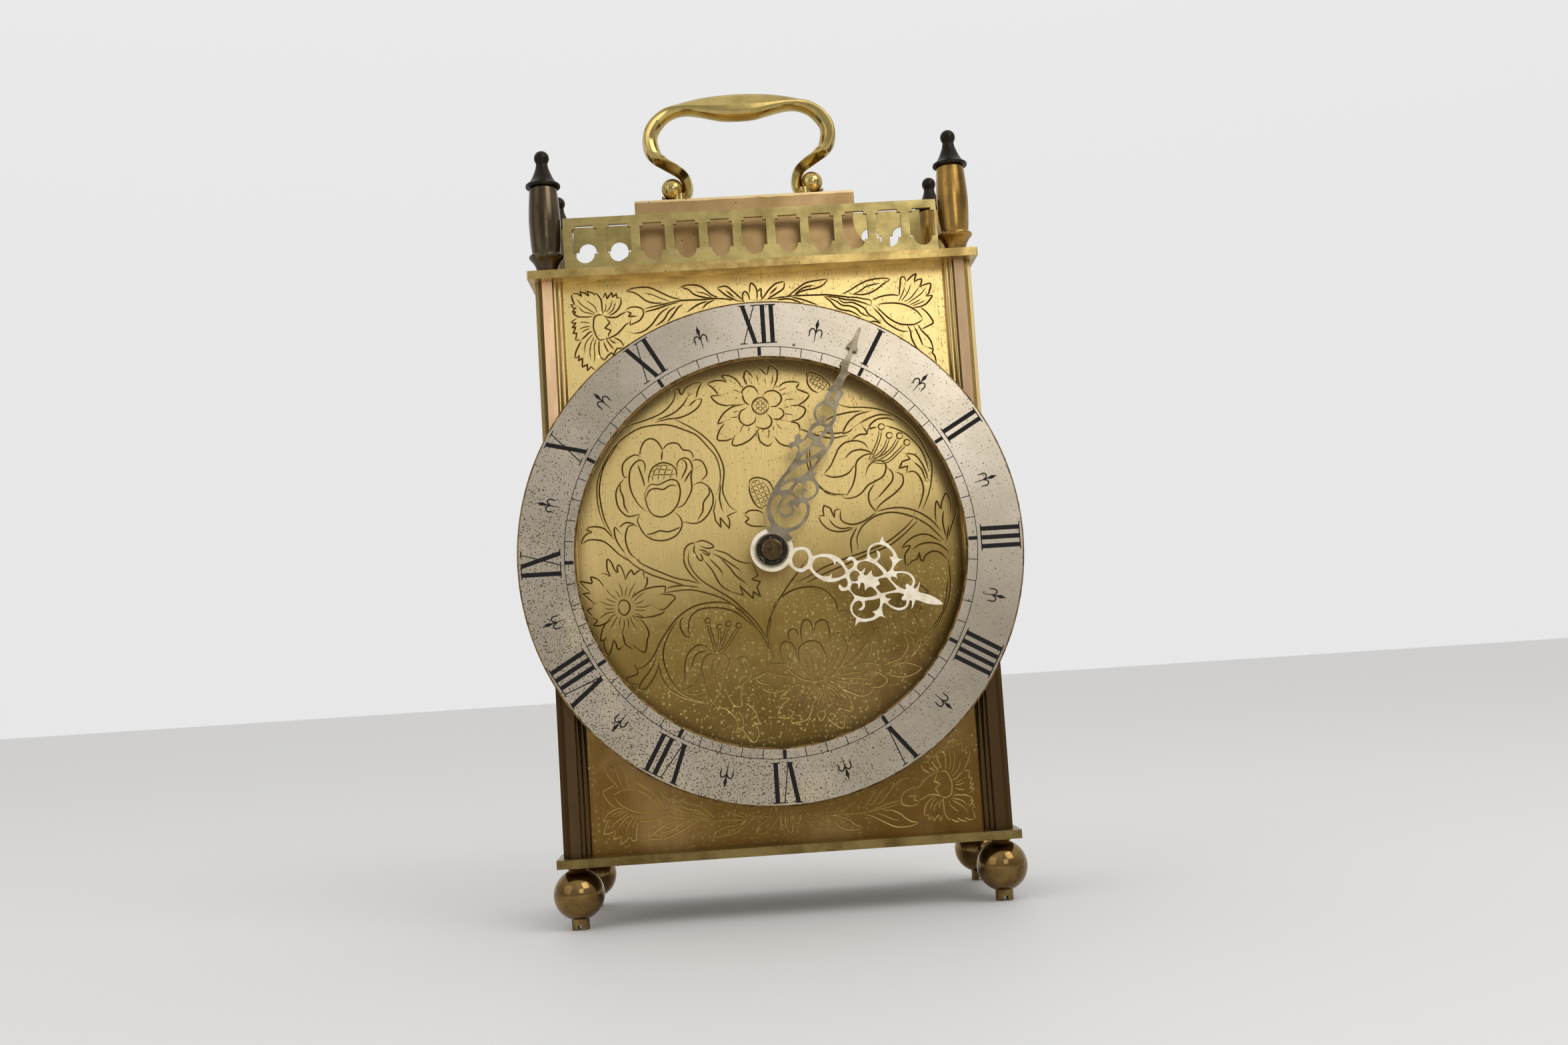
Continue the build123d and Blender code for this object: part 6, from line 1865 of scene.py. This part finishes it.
ROSE = """
-333,220 -331,239 -318,264 -293,276 -268,270 -254,254 -252,231
~-329,237 -310,243 -285,241 -256,242
~-323,251 -305,259 -282,255 -258,254
~-312,264 -293,269 -270,266
~-322,226 -319,242 -309,263
~-306,227 -302,248 -292,272
~-290,227 -285,248 -276,269
~-273,230 -266,246 -262,260
-343,200 -327,216 -306,214 -285,222 -268,227 -252,220 -245,198 -248,173 -258,150 -277,131 \
-302,122 -327,131 -340,154 -345,185 -343,200
-341,179 -333,198 -314,204 -293,200 -273,210 -256,209
-345,141 -364,160 -381,193 -387,227 -383,260 -370,279 -356,287 -345,283 -340,268 -343,250
-360,273 -354,252 -348,231 -345,212
-250,252 -248,273 -235,285 -218,283 -208,266 -208,250 -212,231 -212,198 -223,173 -239,152 -262,143
-237,281 -227,277 -223,260 -233,239 -239,227
-208,252 -223,231 -231,218
-354,298 -350,318 -339,339 -320,347 -304,339 -291,318 -288,304
-289,310 -293,283
-289,311 -277,325 -260,331 -243,327 -231,310 -214,306 -204,295 -203,283
-206,276 -193,279 -179,273 -169,254 -168,235 -183,219
-206,206 -193,213 -177,210 -160,193 -153,168 -158,143 -173,118 -193,102 -214,98 -243,105
-166,198 -163,181 -181,156 -185,131 -200,108
-265,135 -250,118 -245,98 -254,77 -273,62 -302,55 -331,60 -352,75 -365,98 -370,118 -360,135
-350,75 -327,77 -310,83 -285,79 -264,85 -248,91
-403,235 -418,218 -427,193 -423,160 -410,139 -393,129 -360,134
-411,225 -414,206 -406,181 -405,160 -395,139
-352,298 -368,303 -389,293 -403,277 -405,256 -400,241 -391,241
"""
ROSE_RING = """
-460,98 -475,143 -480,185 -478,227 -464,268 -439,310 -410,343 -377,366 -339,381 -293,385 \
-260,381 -223,366 -189,348 -160,314 -139,285 -131,256 -129,231 -133,202 -143,179
-441,73 -462,123 -470,164 -473,206 -466,248 -454,280 -430,314 -410,343
-252,400 -206,373 -173,348 -143,314 -125,277 -118,243 -123,206 -125,185 -118,160 -106,139 -87,125
!-87,125 -116,114 -110,98 -113,78 -137,110 -136,82 -150,102 -154,131 -145,162
-129,206 -135,164 -129,129
"""
SPRAY = """
-402,381 -377,389 -327,402 -289,416 -268,431 -250,452 -244,473 -254,483
-254,483 -235,487 -226,468 -214,485 -193,498 -164,502
-164,502 -177,481 -185,456
-185,451 -169,451 -179,431 -202,414 -235,402 -268,400 -304,393
-207,462 -223,439 -248,418 -277,406 -300,400
-185,451 -193,445 -206,435
"""
LEFT_LEAVES = """
-518,100 -498,106 -468,100 -450,81 -439,68
-518,100 -498,89
-498,90 -514,87 -527,73 -532,56
-532,56 -514,68 -493,69 -468,62 -448,45 -427,23 -398,0
-410,25 -427,52 -436,77 -435,100 -421,83
-423,100 -402,112 -381,106 -373,99
-377,102 -395,102 -405,81 -406,56 -395,23 -368,0
"""
STEMS = """
-389,20 -373,-1 -343,-20 -310,-36 -273,-53 -235,-63 -206,-73
-414,20 -385,-11 -343,-38 -302,-55 -252,-74 -220,-82
-300,-80 -268,-75 -239,-78 -210,-83
-310,-93 -268,-89 -231,-89 -193,-99 -160,-111 -127,-130 -98,-155 -73,-180 -56,-205 -39,-230 \
-23,-263 -8,-293
-245,20 -245,-13 -231,-43 -206,-72
-231,20 -233,-9 -218,-43 -193,-70 -160,-93 -118,-122 -85,-155 -56,-188 -35,-222 -14,-257
"""
TULIP = """
-245,0 -243,23 -231,39 -212,43
-212,43 -193,48 -173,41 -160,29 -177,25 -198,33
-214,37 -216,18 -206,2
-202,23 -185,18 -173,6
-214,12 -202,-7 -193,-5 -198,12
-193,16 -177,5 -170,16
-164,10 -139,-5 -110,-26 -89,-43
-160,20 -127,8 -102,-11 -77,-22 -56,-24
-189,-9 -168,-38 -152,-72 -139,-88 -116,-103
-173,-5 -148,-34 -139,-49
-143,-5 -118,-34 -102,-57 -75,-80
!-116,-103 -85,-113 -93,-86 -58,-124 -56,-105 -37,-120 -45,-93 -35,-78 -58,-70 -40,-60 -50,-35 \
-56,-23
"""
DAISY = """
-437,-122 -431,-109 -420,-106 -408,-115 -405,-130 -414,-145 -425,-148 -435,-138 -437,-122
-477,-27 -466,-30 -456,-36 -463,-15 -461,11 -450,1 -441,-22 -433,-26 -435,-15 -429,-6 -418,-26 \
-414,-51
-414,-51 -406,-34 -395,-23 -389,-36 -381,-30 -364,-24 -360,-47
-356,-48 -352,-47 -354,-65 -364,-78
-400,-103 -381,-88 -356,-78 -327,-74 -302,-76 -308,-93 -320,-96
-320,-96 -289,-99 -277,-109 -289,-122 -308,-138 -325,-138
-308,-138 -314,-149 -343,-157 -373,-158 -395,-152
-381,-160 -364,-180 -356,-205 -362,-222 -366,-247 -373,-256 -389,-247 -400,-234
-406,-244 -423,-230 -429,-200
-435,-238 -445,-243 -450,-226 -456,-213
-456,-213 -462,-238 -473,-257 -481,-243 -483,-218 -475,-205
-475,-205 -491,-218 -491,-205 -485,-184 -475,-170
-458,-157 -485,-172 -510,-172 -498,-159 -518,-149
-510,-147 -525,-130 -510,-122
-506,-109 -523,-93 -533,-82 -512,-80
-512,-80 -527,-65 -540,-47 -508,-53 -510,-36 -489,-45 -473,-68
"""
LOW_SCROLL = """
-73,-176 -102,-147 -135,-132 -177,-128 -218,-134 -248,-147 -277,-168 -302,-197 -323,-226 \
-339,-255 -356,-280 -377,-297 -393,-300 -402,-288
-49,-213 -81,-184 -110,-159 -152,-145 -193,-143 -218,-149 -235,-163 -243,-184 -245,-205 -238,-218
-238,-218 -252,-220 -266,-197 -266,-176 -256,-163
-277,-176 -298,-205 -314,-238 -320,-272 -314,-305 -302,-338 -283,-368 -260,-386 -231,-399 \
-206,-407
-333,-288 -327,-326 -310,-359 -285,-380 -243,-399 -206,-409
-402,-288 -393,-313 -416,-322 -427,-326 -418,-342 -393,-343
-339,-276 -360,-309 -381,-334 -393,-355 -377,-359 -356,-338 -339,-309 -333,-288
"""
LOW_LILY = """
-183,-265 -198,-250 -218,-245 -239,-255 -254,-276 -262,-305 -264,-338 -280,-368
-200,-263 -223,-268 -235,-284 -243,-309
-280,-370 -252,-363 -231,-347 -216,-324
-268,-376 -235,-380 -206,-376
-170,-274 -189,-272 -206,-284 -214,-309 -210,-343 -202,-380 -206,-422
-206,-422 -185,-405 -168,-376 -156,-343 -139,-309 -135,-293 -148,-276 -164,-272 -170,-274
-170,-276 -183,-300 -187,-326 -180,-345 -177,-326 -160,-288
-129,-290 -110,-290 -98,-286 -81,-299 -77,-322 -85,-347 -102,-363 -108,-397 -108,-420 -127,-420 \
-141,-397 -150,-368 -150,-338
-110,-293 -100,-309 -102,-334 -114,-361
-185,-420 -156,-426 -135,-443 -123,-463 -125,-486 -135,-495
-135,-495 -120,-493 -110,-486 -98,-505 -81,-524 -68,-509 -66,-488 -81,-465
-81,-465 -64,-474 -68,-447 -81,-426 -98,-415
-120,-434 -108,-451 -106,-476
"""
LOTUS = """
9,-284 18,-309 34,-334 63,-357 93,-365 118,-365 143,-357 163,-343 184,-313 197,-288 197,-268 \
188,-247 172,-235 153,-243
9,-284 11,-263 22,-251 36,-253 49,-268 53,-288
97,-363 76,-343 63,-313 59,-288 63,-272 80,-257 101,-253 122,-263 134,-288 138,-313 134,-340
72,-251 70,-226 76,-201 86,-193 99,-201 105,-226
109,-222 115,-203 130,-196 145,-203 151,-226 151,-247
36,-251 34,-230 43,-218 55,-218 65,-238
~93,-297 101,-326 109,-357
~118,-309 115,-334 113,-357
~78,-305 88,-338 101,-359
~172,-284 168,-309 151,-334 134,-351
~26,-290 43,-318 63,-343 80,-355
~155,-305 143,-334 126,-355
188,-336 213,-330 247,-324 272,-328 286,-336 272,-349
251,-349 280,-353 301,-370 301,-382 284,-393 255,-393
263,-397 251,-411 226,-415 201,-405 180,-393 147,-370
160,-360 200,-363 255,-370
160,-368 197,-376 230,-380
163,-355 205,-349 234,-351
199,-272 213,-247 226,-247 230,-257 247,-243 259,-247
180,-334 213,-309 238,-288 255,-268 265,-268 259,-297 238,-318 205,-330
68,-370 38,-376 18,-390 1,-407 26,-409 5,-426 -8,-447 -11,-459
-11,-459 18,-463 38,-451
34,-451 28,-476 51,-476 72,-470 84,-451 93,-422
99,-451 105,-468 111,-476 122,-463 122,-443
126,-463 143,-484 170,-501 176,-476 176,-451
163,-445 197,-455 199,-434 188,-405 163,-380 138,-365
-45,-322 -23,-311 13,-313 34,-330
-66,-349 -39,-334 -15,-336
-66,-349 -48,-363 -23,-368
-48,-368 -43,-380 -18,-390 20,-384
-15,-340 50,-353
"""
ARCS = """
-20,-230 -12,-188 1,-147 26,-122 63,-105 100,-101 134,-107 159,-126 174,-147 178,-168 184,-176 \
197,-172
-22,-260 -24,-226 -18,-192 -2,-159 20,-124 50,-85 75,-55 95,-30
"""
HIGH_RING = """
213,416 247,404 288,401 326,395 363,381 401,356 430,323 451,289 465,252 474,227 470,185 459,143 \
438,98
349,345 380,333 405,318 430,293 447,268 457,239 463,210
101,352 120,343 151,329 193,318 238,323
163,339 197,331 238,333
251,310 272,323 295,325 285,345
297,339 322,341
130,293 128,252 136,206 159,173 188,158 226,154
122,285 120,243 143,193 163,166 193,152
180,370 205,381 247,389 284,391
309,389 272,381 247,364 232,343 226,329 247,335 255,343
370,373 334,377 301,368 276,356
380,356 355,366 326,364 305,348 295,325
"""
HIGH_LILY = """
163,216 184,237 201,268 213,289 234,304 263,306 284,298 295,283
228,258 247,275 272,280 297,273 315,258
315,260 297,266 276,260 259,243 255,214 245,181 230,158 226,152
163,216 188,206 218,208 238,218 251,235
282,206 293,231 313,245 334,243 343,227 334,202 313,189 288,177 268,156 247,145 222,143 213,150
347,223 360,206 357,185 338,164 313,139
370,210 388,198 386,173 363,150 334,131 313,114 307,100
305,179 288,152 290,123 307,98
401,261 426,256 443,235 455,206 459,185
!403,258 413,245 390,239 380,220 405,225 399,206
399,207 422,208 438,189 445,156 436,123 426,100
424,235 443,214 453,183
"""
RIGHT_SCROLL = """
307,100 334,106 368,108 401,102 434,87 463,64 484,37
229,-15 229,23 247,58
247,2 247,30 263,60 297,85 334,95 368,93 409,79 447,56 472,31 493,6
141,98 149,77 168,58 193,50 218,51 238,58
!141,98 157,98 155,114 159,127 176,118 186,91 188,110 197,114 206,111
206,111 203,89 213,75 238,68 268,75 307,98
172,85 184,68 205,58 232,60
413,77 388,52 355,27 322,8 268,-11 213,-26 180,-38 147,-49 105,-70 72,-84
424,70 397,45 363,18 330,-1 268,-22 213,-43 168,-59 126,-76 93,-90
474,60 474,93 480,120 490,98 495,118 509,141 520,118 518,85
534,98 532,81 518,48 507,18
497,89 493,60 499,18
509,48 501,6
370,-7 393,14 422,27 451,25 480,6
370,-7 395,-3 380,-26 378,-47 382,-61
382,-61 397,-47 413,-40 420,-24 422,-43 430,-47 438,-32 459,-22 480,-28 497,-47
403,-13 422,-1 451,3 480,-5 503,-26
501,-50 503,-88 501,-126 493,-163 476,-200 451,-238 422,-272 393,-297 363,-326
496,-105 480,-180 455,-222 430,-250 401,-276
!272,-213 276,-234 288,-226 295,-247 301,-259 309,-247 313,-213
318,-218 326,-249 330,-226
334,-205 343,-230 351,-247
353,-220 363,-234 390,-249 386,-230 368,-205
378,-205 403,-224 397,-201 380,-180
397,-172 415,-186 413,-172
401,-115 422,-120 438,-138 420,-140
357,-250 368,-272 363,-297 343,-318 297,-334
368,-250 384,-268 384,-284 405,-268 401,-284 384,-309 351,-330 313,-338
313,-338 334,-330 368,-332 390,-340 401,-349 380,-363 351,-370 326,-365 305,-361
"""
TOP_FLOWER = """
-53,458 -52,470 -35,481 -18,477 -8,460
7,454 18,462 38,464 55,452 57,435 43,420 26,418
47,414 59,406 61,393 47,381 30,383
15,398 26,381 22,364 5,356 -12,360 -20,366
-18,391 -23,377 -43,368 -60,377 -66,393 -60,410 -45,418
-53,458 -48,439 -35,427
-152,495 -130,502 -110,502 -93,495
-152,495 -135,481 -120,460
-114,459 -141,458 -127,439 -102,429 -77,431
-93,495 -108,516 -85,514 -64,498 -54,479
-52,429 -81,425 -110,406 -127,379 -110,383
-108,377 -123,360 -131,333 -106,329 -85,335
-81,343 -90,316 -68,314 -39,327 -18,348 -10,360
-15,350 -13,330 -8,318 11,306 22,314
32,329 47,310 70,302 84,306
76,373 101,364 105,343
78,373 101,377 118,389 124,406 109,416 84,418
140,448 126,431 101,416
140,448 118,458 101,466
111,483 93,487 68,485 51,473
111,481 101,466
-41,487 -45,510 -37,527 -20,506
22,510 30,537 49,525 49,498 38,473
-1,535 20,510
"""
HIGH_BUD = """
134,498 136,510 151,511 176,498 195,477 199,464
134,498 136,477 147,460 163,450
"""
HUB_BUD = """
-50,198 -45,212 -29,218 -10,214 5,206 15,190 20,170
-50,198 -48,173 -39,148 -27,133 -14,129
-70,114 -52,125 -27,123 -14,114
-70,114 -56,102 -66,93 -48,81 -10,77
"""


@dataclass(frozen=True)
class Stroke:
    """One engraved line.

    Attributes:
        line: its points.
        weight: its width against a full line's.
    """

    line: np.ndarray
    weight: float = 1.0


class Engraving:
    """The flowers and scrolls engraved on the dial plate."""

    def __init__(self) -> None:
        """Draws all of it."""
        self.strokes: list[Stroke] = []
        for drawing in (ROSE, ROSE_RING, SPRAY, LEFT_LEAVES, STEMS, TULIP, DAISY, LOW_SCROLL,
                        LOW_LILY, LOTUS, ARCS, HIGH_RING, HIGH_LILY, RIGHT_SCROLL, TOP_FLOWER,
                        HIGH_BUD, HUB_BUD):
            self.draw(drawing)
        for drawing in (CARNATION, POMEGRANATE):
            self.draw(drawing)
            self.draw(drawing, turned=True)
        self.stalks((-17.0, -27.2), 0.75, (
            ((-18.3, -21.3), (-18.8, -18.6)), ((-16.0, -23.8), (-15.8, -20.6)),
            ((-15.4, -24.7), (-13.4, -19.8)), ((-15.0, -26.3), (-12.3, -23.0), (-10.7, -20.4))))
        self.stalks((29.6, 24.6), 0.85, (
            ((30.9, 26.8), (32.6, 30.2), (33.5, 33.4)),
            ((32.2, 26.0), (34.3, 28.1), (35.5, 30.8)),
            ((33.4, 25.6), (36.3, 27.7), (38.3, 30.6)),
            ((34.3, 24.1), (37.6, 26.4), (40.1, 28.7))))
        self.rays((-42.0, -12.7), 2.9, 7.6, 0, 346, 22)
        self.rays((12.0, -37.0), 1.2, 7.4, 197, 343, 13)
        self.rays((-0.3, 42.2), 6.9, 9.6, 8, 352, 26)
        self.circle(-0.33, 42.25, 2.4)
        self.hatch(-0.33, 42.25, 2.3, 2.3, 40.0, 0.95)
        self.hatch(16.6, 48.1, 3.5, 2.0, -36.0, 1.05)
        self.hatch(-1.9, 17.2, 4.3, 2.7, -68.0, 1.15)

    def draw(self, drawing: str, turned: bool = False) -> None:
        """Adds a drawing's lines.

        Args:
            drawing: its rows of points.
            turned: whether it is turned half round.
        """
        side = -0.1 if turned else 0.1
        for row in drawing.strip().splitlines():
            mark = row[0] if row[0] in "!~" else ""
            points = [(side * int(x), side * int(up)) for x, up in
                      (pair.split(",") for pair in row[len(mark):].split())]
            line = straight(points) if mark == "!" else curve_through(points, 0.55)
            self.strokes.append(Stroke(line, 0.72 if mark == "~" else 1.0))

    def circle(self, x: float, up: float, radius: float) -> None:
        """Adds a circle."""
        points = disc(x, up, radius, count=14)
        self.strokes.append(Stroke(curve_through(np.vstack([points, points[:1]]), 0.3), 0.8))

    def rays(self, centre: Point, start: float, end: float, first: float, last: float,
             count: int) -> None:
        """Adds fine veins that spread from a centre, alternately long and short.

        Args:
            centre: where they would meet.
            start: distance at which they start.
            end: distance at which the long ones end.
            first: angle of the first, in degrees from rightwards.
            last: angle of the last.
            count: how many there are.
        """
        for place in range(count):
            angle = math.radians(first + (last - first) * place / (count - 1))
            reach = end - (0.0, 1.6, 0.5, 2.1)[place % 4]
            points = [(centre[0] + r * math.cos(angle + 0.05 * math.sin(r + place)),
                       centre[1] + r * math.sin(angle + 0.05 * math.sin(r + place)))
                      for r in (start, (start + reach) / 2, reach)]
            self.strokes.append(Stroke(curve_through(points, 0.5), 0.62))

    def hatch(self, x: float, up: float, wide: float, high: float, tilt: float,
              gap: float) -> None:
        """Adds two sets of crossing lines inside a tilted oval.

        Args:
            x: the oval's centre, sideways.
            up: the oval's centre, upwards.
            wide: half its length.
            high: half its width.
            tilt: turn of its long axis in degrees.
            gap: distance between lines.
        """
        c, s = math.cos(math.radians(tilt)), math.sin(math.radians(tilt))
        for along, across, flip in ((wide, high, False), (high, wide, True)):
            steps = int(across / gap)
            for place in range(-steps, steps + 1):
                at = place * gap
                reach = along * math.sqrt(max(0.0, 1 - (at / across) ** 2)) * 0.94
                bow = at * 0.12
                ends = [(-reach, at), (0.0, at + bow), (reach, at)]
                if flip:
                    ends = [(b, a) for a, b in ends]
                points = [(x + a * c - b * s, up + a * s + b * c) for a, b in ends]
                if reach > 0.6:
                    self.strokes.append(Stroke(curve_through(points, 0.5), 0.66))

    def stalks(self, root: Point, bead: float, lines: Sequence[Sequence[Point]]) -> None:
        """Adds stamens, each a doubled line with a bead at its end.

        Args:
            root: where they grow from.
            bead: radius of a bead.
            lines: the points each one passes.
        """
        for line in lines:
            path = curve_through([root, *line], 0.5)
            shift = side_ways(path) * 0.36
            self.strokes.append(Stroke(path + shift, 0.7))
            self.strokes.append(Stroke(path - shift, 0.7))
            end = path[-1] + (path[-1] - path[-2]) / np.linalg.norm(path[-1] - path[-2]) * bead
            self.circle(end[0], end[1], bead)


def straight(points: Sequence[Point]) -> np.ndarray:
    """Lays points along straight lines between corners."""
    given = np.asarray(points, float)
    made = []
    for start, end in zip(given, given[1:]):
        count = max(2, int(math.ceil(np.hypot(*(end - start)) / 0.5)))
        made.append(start + (end - start) * np.linspace(0, 1, count, endpoint=False)[:, None])
    return np.vstack([*made, given[-1:]])


# ---------------- dial plate
@dataclass
class DialPlate:
    """Flat dial plate with its engraving.

    Attributes:
        half_width: half the plate's width.
        low: the plate's foot, below the dial's centre.
        high: its head, above the dial's centre.
        face: place of its front face.
        thick: its thickness.
        hole: radius of the hole round the hands' arbors.
        groove: half the width of an engraved line.
        depth: depth of an engraved line.
    """

    half_width: float = 56.3
    low: float = -80.5
    high: float = 80.3
    face: float = -17.95
    thick: float = 1.2
    hole: float = 4.2
    groove: float = 0.27
    depth: float = 0.22

    def build(self, shop: Shop) -> None:
        """Engraves the plate.

        Args:
            shop: the workshop.
        """
        edge = [(-self.half_width, self.low), (self.half_width, self.low),
                (self.half_width, self.high), (-self.half_width, self.high)]
        hole = [tuple(p) for p in disc(0.0, 0.0, self.hole, count=64)]
        border = [(edge, True), (hole, True)]
        lines, centres, halves = list(border), [], []
        for stroke in Engraving().strokes:
            half = self.taper(len(stroke.line)) * stroke.weight
            lines += [(stroke.line, False), (band(stroke.line, half), True)]
            centres.append(stroke.line)
            halves.append(half)
        flat, faces, middles = fill(lines)
        cut = self.sink(flat, centres, halves)
        front = [(x, self.face + c * self.depth, DIAL_RISE + up)
                 for (x, up), c in zip(flat, cut)]
        shell = [tuple(face) for face, middle in zip(faces, middles) if self.solid(middle)]
        start = len(front)
        rim = edge + hole
        rear = [(x, y, DIAL_RISE + up) for y in (self.face, self.face + self.thick)
                for x, up in rim]
        count = len(rim)
        for first, size in ((0, 4), (4, len(hole))):
            for i in range(size):
                a, b = first + i, first + (i + 1) % size
                shell.append((start + a, start + b, start + count + b, start + count + a))
        back, faces, middles = fill(border)
        base = start + 2 * count
        rear += [(x, self.face + self.thick, DIAL_RISE + up) for x, up in back]
        shell += [tuple(base + i for i in face) for face, middle in zip(faces, middles)
                  if self.solid(middle)]
        piece = from_points("dial_plate_engraved", front + rear, shell)
        mark = piece.data.attributes.new("cut", "FLOAT", "POINT")
        mark.data.foreach_set("value", np.concatenate([cut, np.zeros(len(rear))]))
        tidy_shell(piece)
        smooth(piece, 24, flats=True)
        shop.fit(piece, "case", "dial_brass", DialBrass(), replaces=("dial_plate",))

    def solid(self, middle: np.ndarray) -> bool:
        """Tells whether a face's middle lies outside the hole."""
        return math.hypot(*middle) > self.hole * 0.999

    def taper(self, count: int) -> np.ndarray:
        """Gives a stroke's half width at each point, thinner at its ends."""
        share = np.linspace(0, 1, count)
        return self.groove * np.interp(share, [0, 0.08, 0.3, 0.7, 0.92, 1],
                                       [0.35, 0.8, 1.0, 1.0, 0.8, 0.35])

    def sink(self, flat: np.ndarray, centres: list[np.ndarray],
             halves: list[np.ndarray]) -> np.ndarray:
        """Tells how deep each point lies in a groove, from 0 to 1."""
        middle, wide = np.vstack(centres), np.concatenate(halves)
        deep = np.zeros(len(flat))
        for first in range(0, len(flat), 400):
            part = flat[first:first + 400]
            apart = np.hypot(part[:, 0][:, None] - middle[:, 0],
                             part[:, 1][:, None] - middle[:, 1])
            deep[first:first + 400] = np.max(wide - apart, axis=1)
        return np.clip(deep / self.groove, 0.0, 1.0) * (deep > 0.02)


# ---------------- movement
class Movement:
    """The works behind the dial, the posts that carry them and the door's fittings."""

    BRASS = ("movement_front_plate", "movement_back_plate", "minute_wheel", "fourth_wheel",
             "third_wheel", "centre_wheel", "escape_wheel", "balance_wheel", "cannon_pinion",
             "hour_wheel", "balance_cock", "set_knob")
    STEEL = ("movement_pillars", "tie_rods", "pallet_lever", "rating_lever", "hairspring",
             "battery_contacts", "handle_screws", "door_catch")
    POSTS = ("ring_posts", "dial_posts")

    def build(self, shop: Shop) -> None:
        """Dresses the works.

        Args:
            shop: the workshop.
        """
        shop.dress_nodes(Brass.MOVEMENT, *self.BRASS)
        shop.dress_nodes(Brass.STEEL, *self.STEEL)
        shop.dress_nodes(Brass.POST, *self.POSTS)
        shop.dress_nodes(Brass.NUT, "foot_nuts")
        shop.dress_nodes(Brass.PLASTIC, "battery_tray")
        shop.dress_nodes(Winding(), "drive_coil")
        shop.dress_nodes(Jacket(), "battery")
        knob = [(0.0, 0.0), (2.5, 0.0), (2.5, 0.6), (2.1, 0.8), (1.7, 1.2), (1.6, 2.2),
                (1.7, 3.4), (2.6, 3.55), (3.6, 3.8), (3.95, 4.25), (4.0, 4.7), (3.95, 5.4),
                (3.75, 6.35), (3.4, 6.9), (2.4, 7.5), (0.0, 7.5)]
        piece = turned("door_knob_turned", knob, (-47.75, 27.2, DIAL_RISE), "Y", 64)
        shop.fit(piece, "door", "polished_brass", Brass.POLISHED, replaces=("door_knob",))


# ---------------- studio
@dataclass
class Studio:
    """Plain floor, soft light and the camera.

    Attributes:
        lens: the camera's focal length.
        eye: its place in millimetres.
        turn: its rotation in degrees.
        floor: colour of the floor.
        above: brightness of the light from above.
        ahead: brightness of the room in front of the clock.
        behind: brightness of the backdrop behind it.
        window: power of the soft box in front, to the right.
        key: power of the lamp above, to the right.
        fill: power of the lamp to the left.
    """

    lens: float = 37.206
    eye: tuple[float, float, float] = (-13.2, -474.2, 66.5)
    turn: tuple[float, float, float] = (95.2691, 3.6690, -1.8529)
    floor: Colour = (0.74, 0.73, 0.72)
    above: float = 0.90
    ahead: float = 0.47
    behind: float = 0.80
    window: float = 0.9
    key: float = 2.6
    fill: float = 0.8

    def build(self) -> None:
        """Sets the floor, the light and the camera up."""
        self.lay_floor()
        self.light()
        self.camera()

    def lay_floor(self) -> None:
        """Lays the floor under the feet."""
        bpy.ops.mesh.primitive_plane_add(size=12.0, location=(0, 0, 0))
        floor = bpy.context.object
        floor.name = "studio_floor"
        recipe = Recipe("studio_floor_paper", self.floor)
        fibre = recipe.cloud(3.0, 1.0, 2.0)
        recipe.coat(fibre * 0.15, tuple(part * 0.96 for part in self.floor))
        floor.data.materials.append(recipe.finish(0.65, 0.0))
        floor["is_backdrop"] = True

    def light(self) -> None:
        """Lights the clock from a pale surround and three soft lamps."""
        world = bpy.data.worlds.new("studio_surround")
        bpy.context.scene.world = world
        world.use_nodes = True
        wiring = Wiring(world.node_tree)
        coordinates = wiring.node("ShaderNodeTexCoord")
        split = wiring.node("ShaderNodeSeparateXYZ", {}, {0: coordinates.outputs["Generated"]})
        level: Any = self.ahead
        for axis, start, end, top in ((1, -0.5, 0.6, self.behind), (2, 0.15, 0.95, self.above)):
            level = wiring.node("ShaderNodeMapRange", {"interpolation_type": "SMOOTHSTEP"}, {
                "Value": split.outputs[axis], "From Min": start, "From Max": end,
                "To Min": level, "To Max": top}).outputs[0]
        tone = wiring.node("ShaderNodeCombineColor", {}, {0: level, 1: level, 2: level})
        ground = wiring.node("ShaderNodeBackground", {}, {0: tone.outputs[0]})
        wiring.node("ShaderNodeOutputWorld", {}, {0: ground.outputs[0]})
        for name, power, size, place, aim in (
                ("window_lamp", self.window, 0.40, (0.25, -1.13, 0.45), (0.0, 0.0, 0.12)),
                ("key_lamp", self.key, 0.55, (0.52, -0.62, 0.78), (0.0, 0.0, 0.13)),
                ("fill_lamp", self.fill, 0.6, (-0.75, -0.55, 0.45), (0.0, 0.0, 0.10))):
            data = bpy.data.lights.new(name, "AREA")
            data.energy, data.size = power, size
            lamp = bpy.data.objects.new(name, data)
            lamp.location = place
            lamp.rotation_euler = (Vector(aim) - Vector(place)).to_track_quat(
                "-Z", "Y").to_euler()
            bpy.context.scene.collection.objects.link(lamp)

    def camera(self) -> None:
        """Stands the camera low in front of the clock."""
        data = bpy.data.cameras.new("studio_camera")
        data.lens, data.sensor_width, data.clip_start = self.lens, 36.0, 0.01
        camera = bpy.data.objects.new("studio_camera", data)
        camera.location = tuple(part * MM for part in self.eye)
        camera.rotation_euler = tuple(math.radians(part) for part in self.turn)
        bpy.context.scene.collection.objects.link(camera)
        bpy.context.scene.camera = camera
        bpy.context.scene.view_settings.view_transform = "Standard"


# ---------------- assembly
def main() -> None:
    """Builds the clock, part after part, and the studio round it."""
    logging.basicConfig(level=logging.INFO, format="%(name)s: %(message)s")
    shop = Shop()
    Case().build(shop)
    for corner in CORNERS:
        Corner(*corner).build(shop)
    Handle().build(shop)
    DialPlate().build(shop)
    ChapterRing().build(shop)
    Hands().build(shop)
    Movement().build(shop)
    Studio().build()


if __name__ == "__main__":
    main()
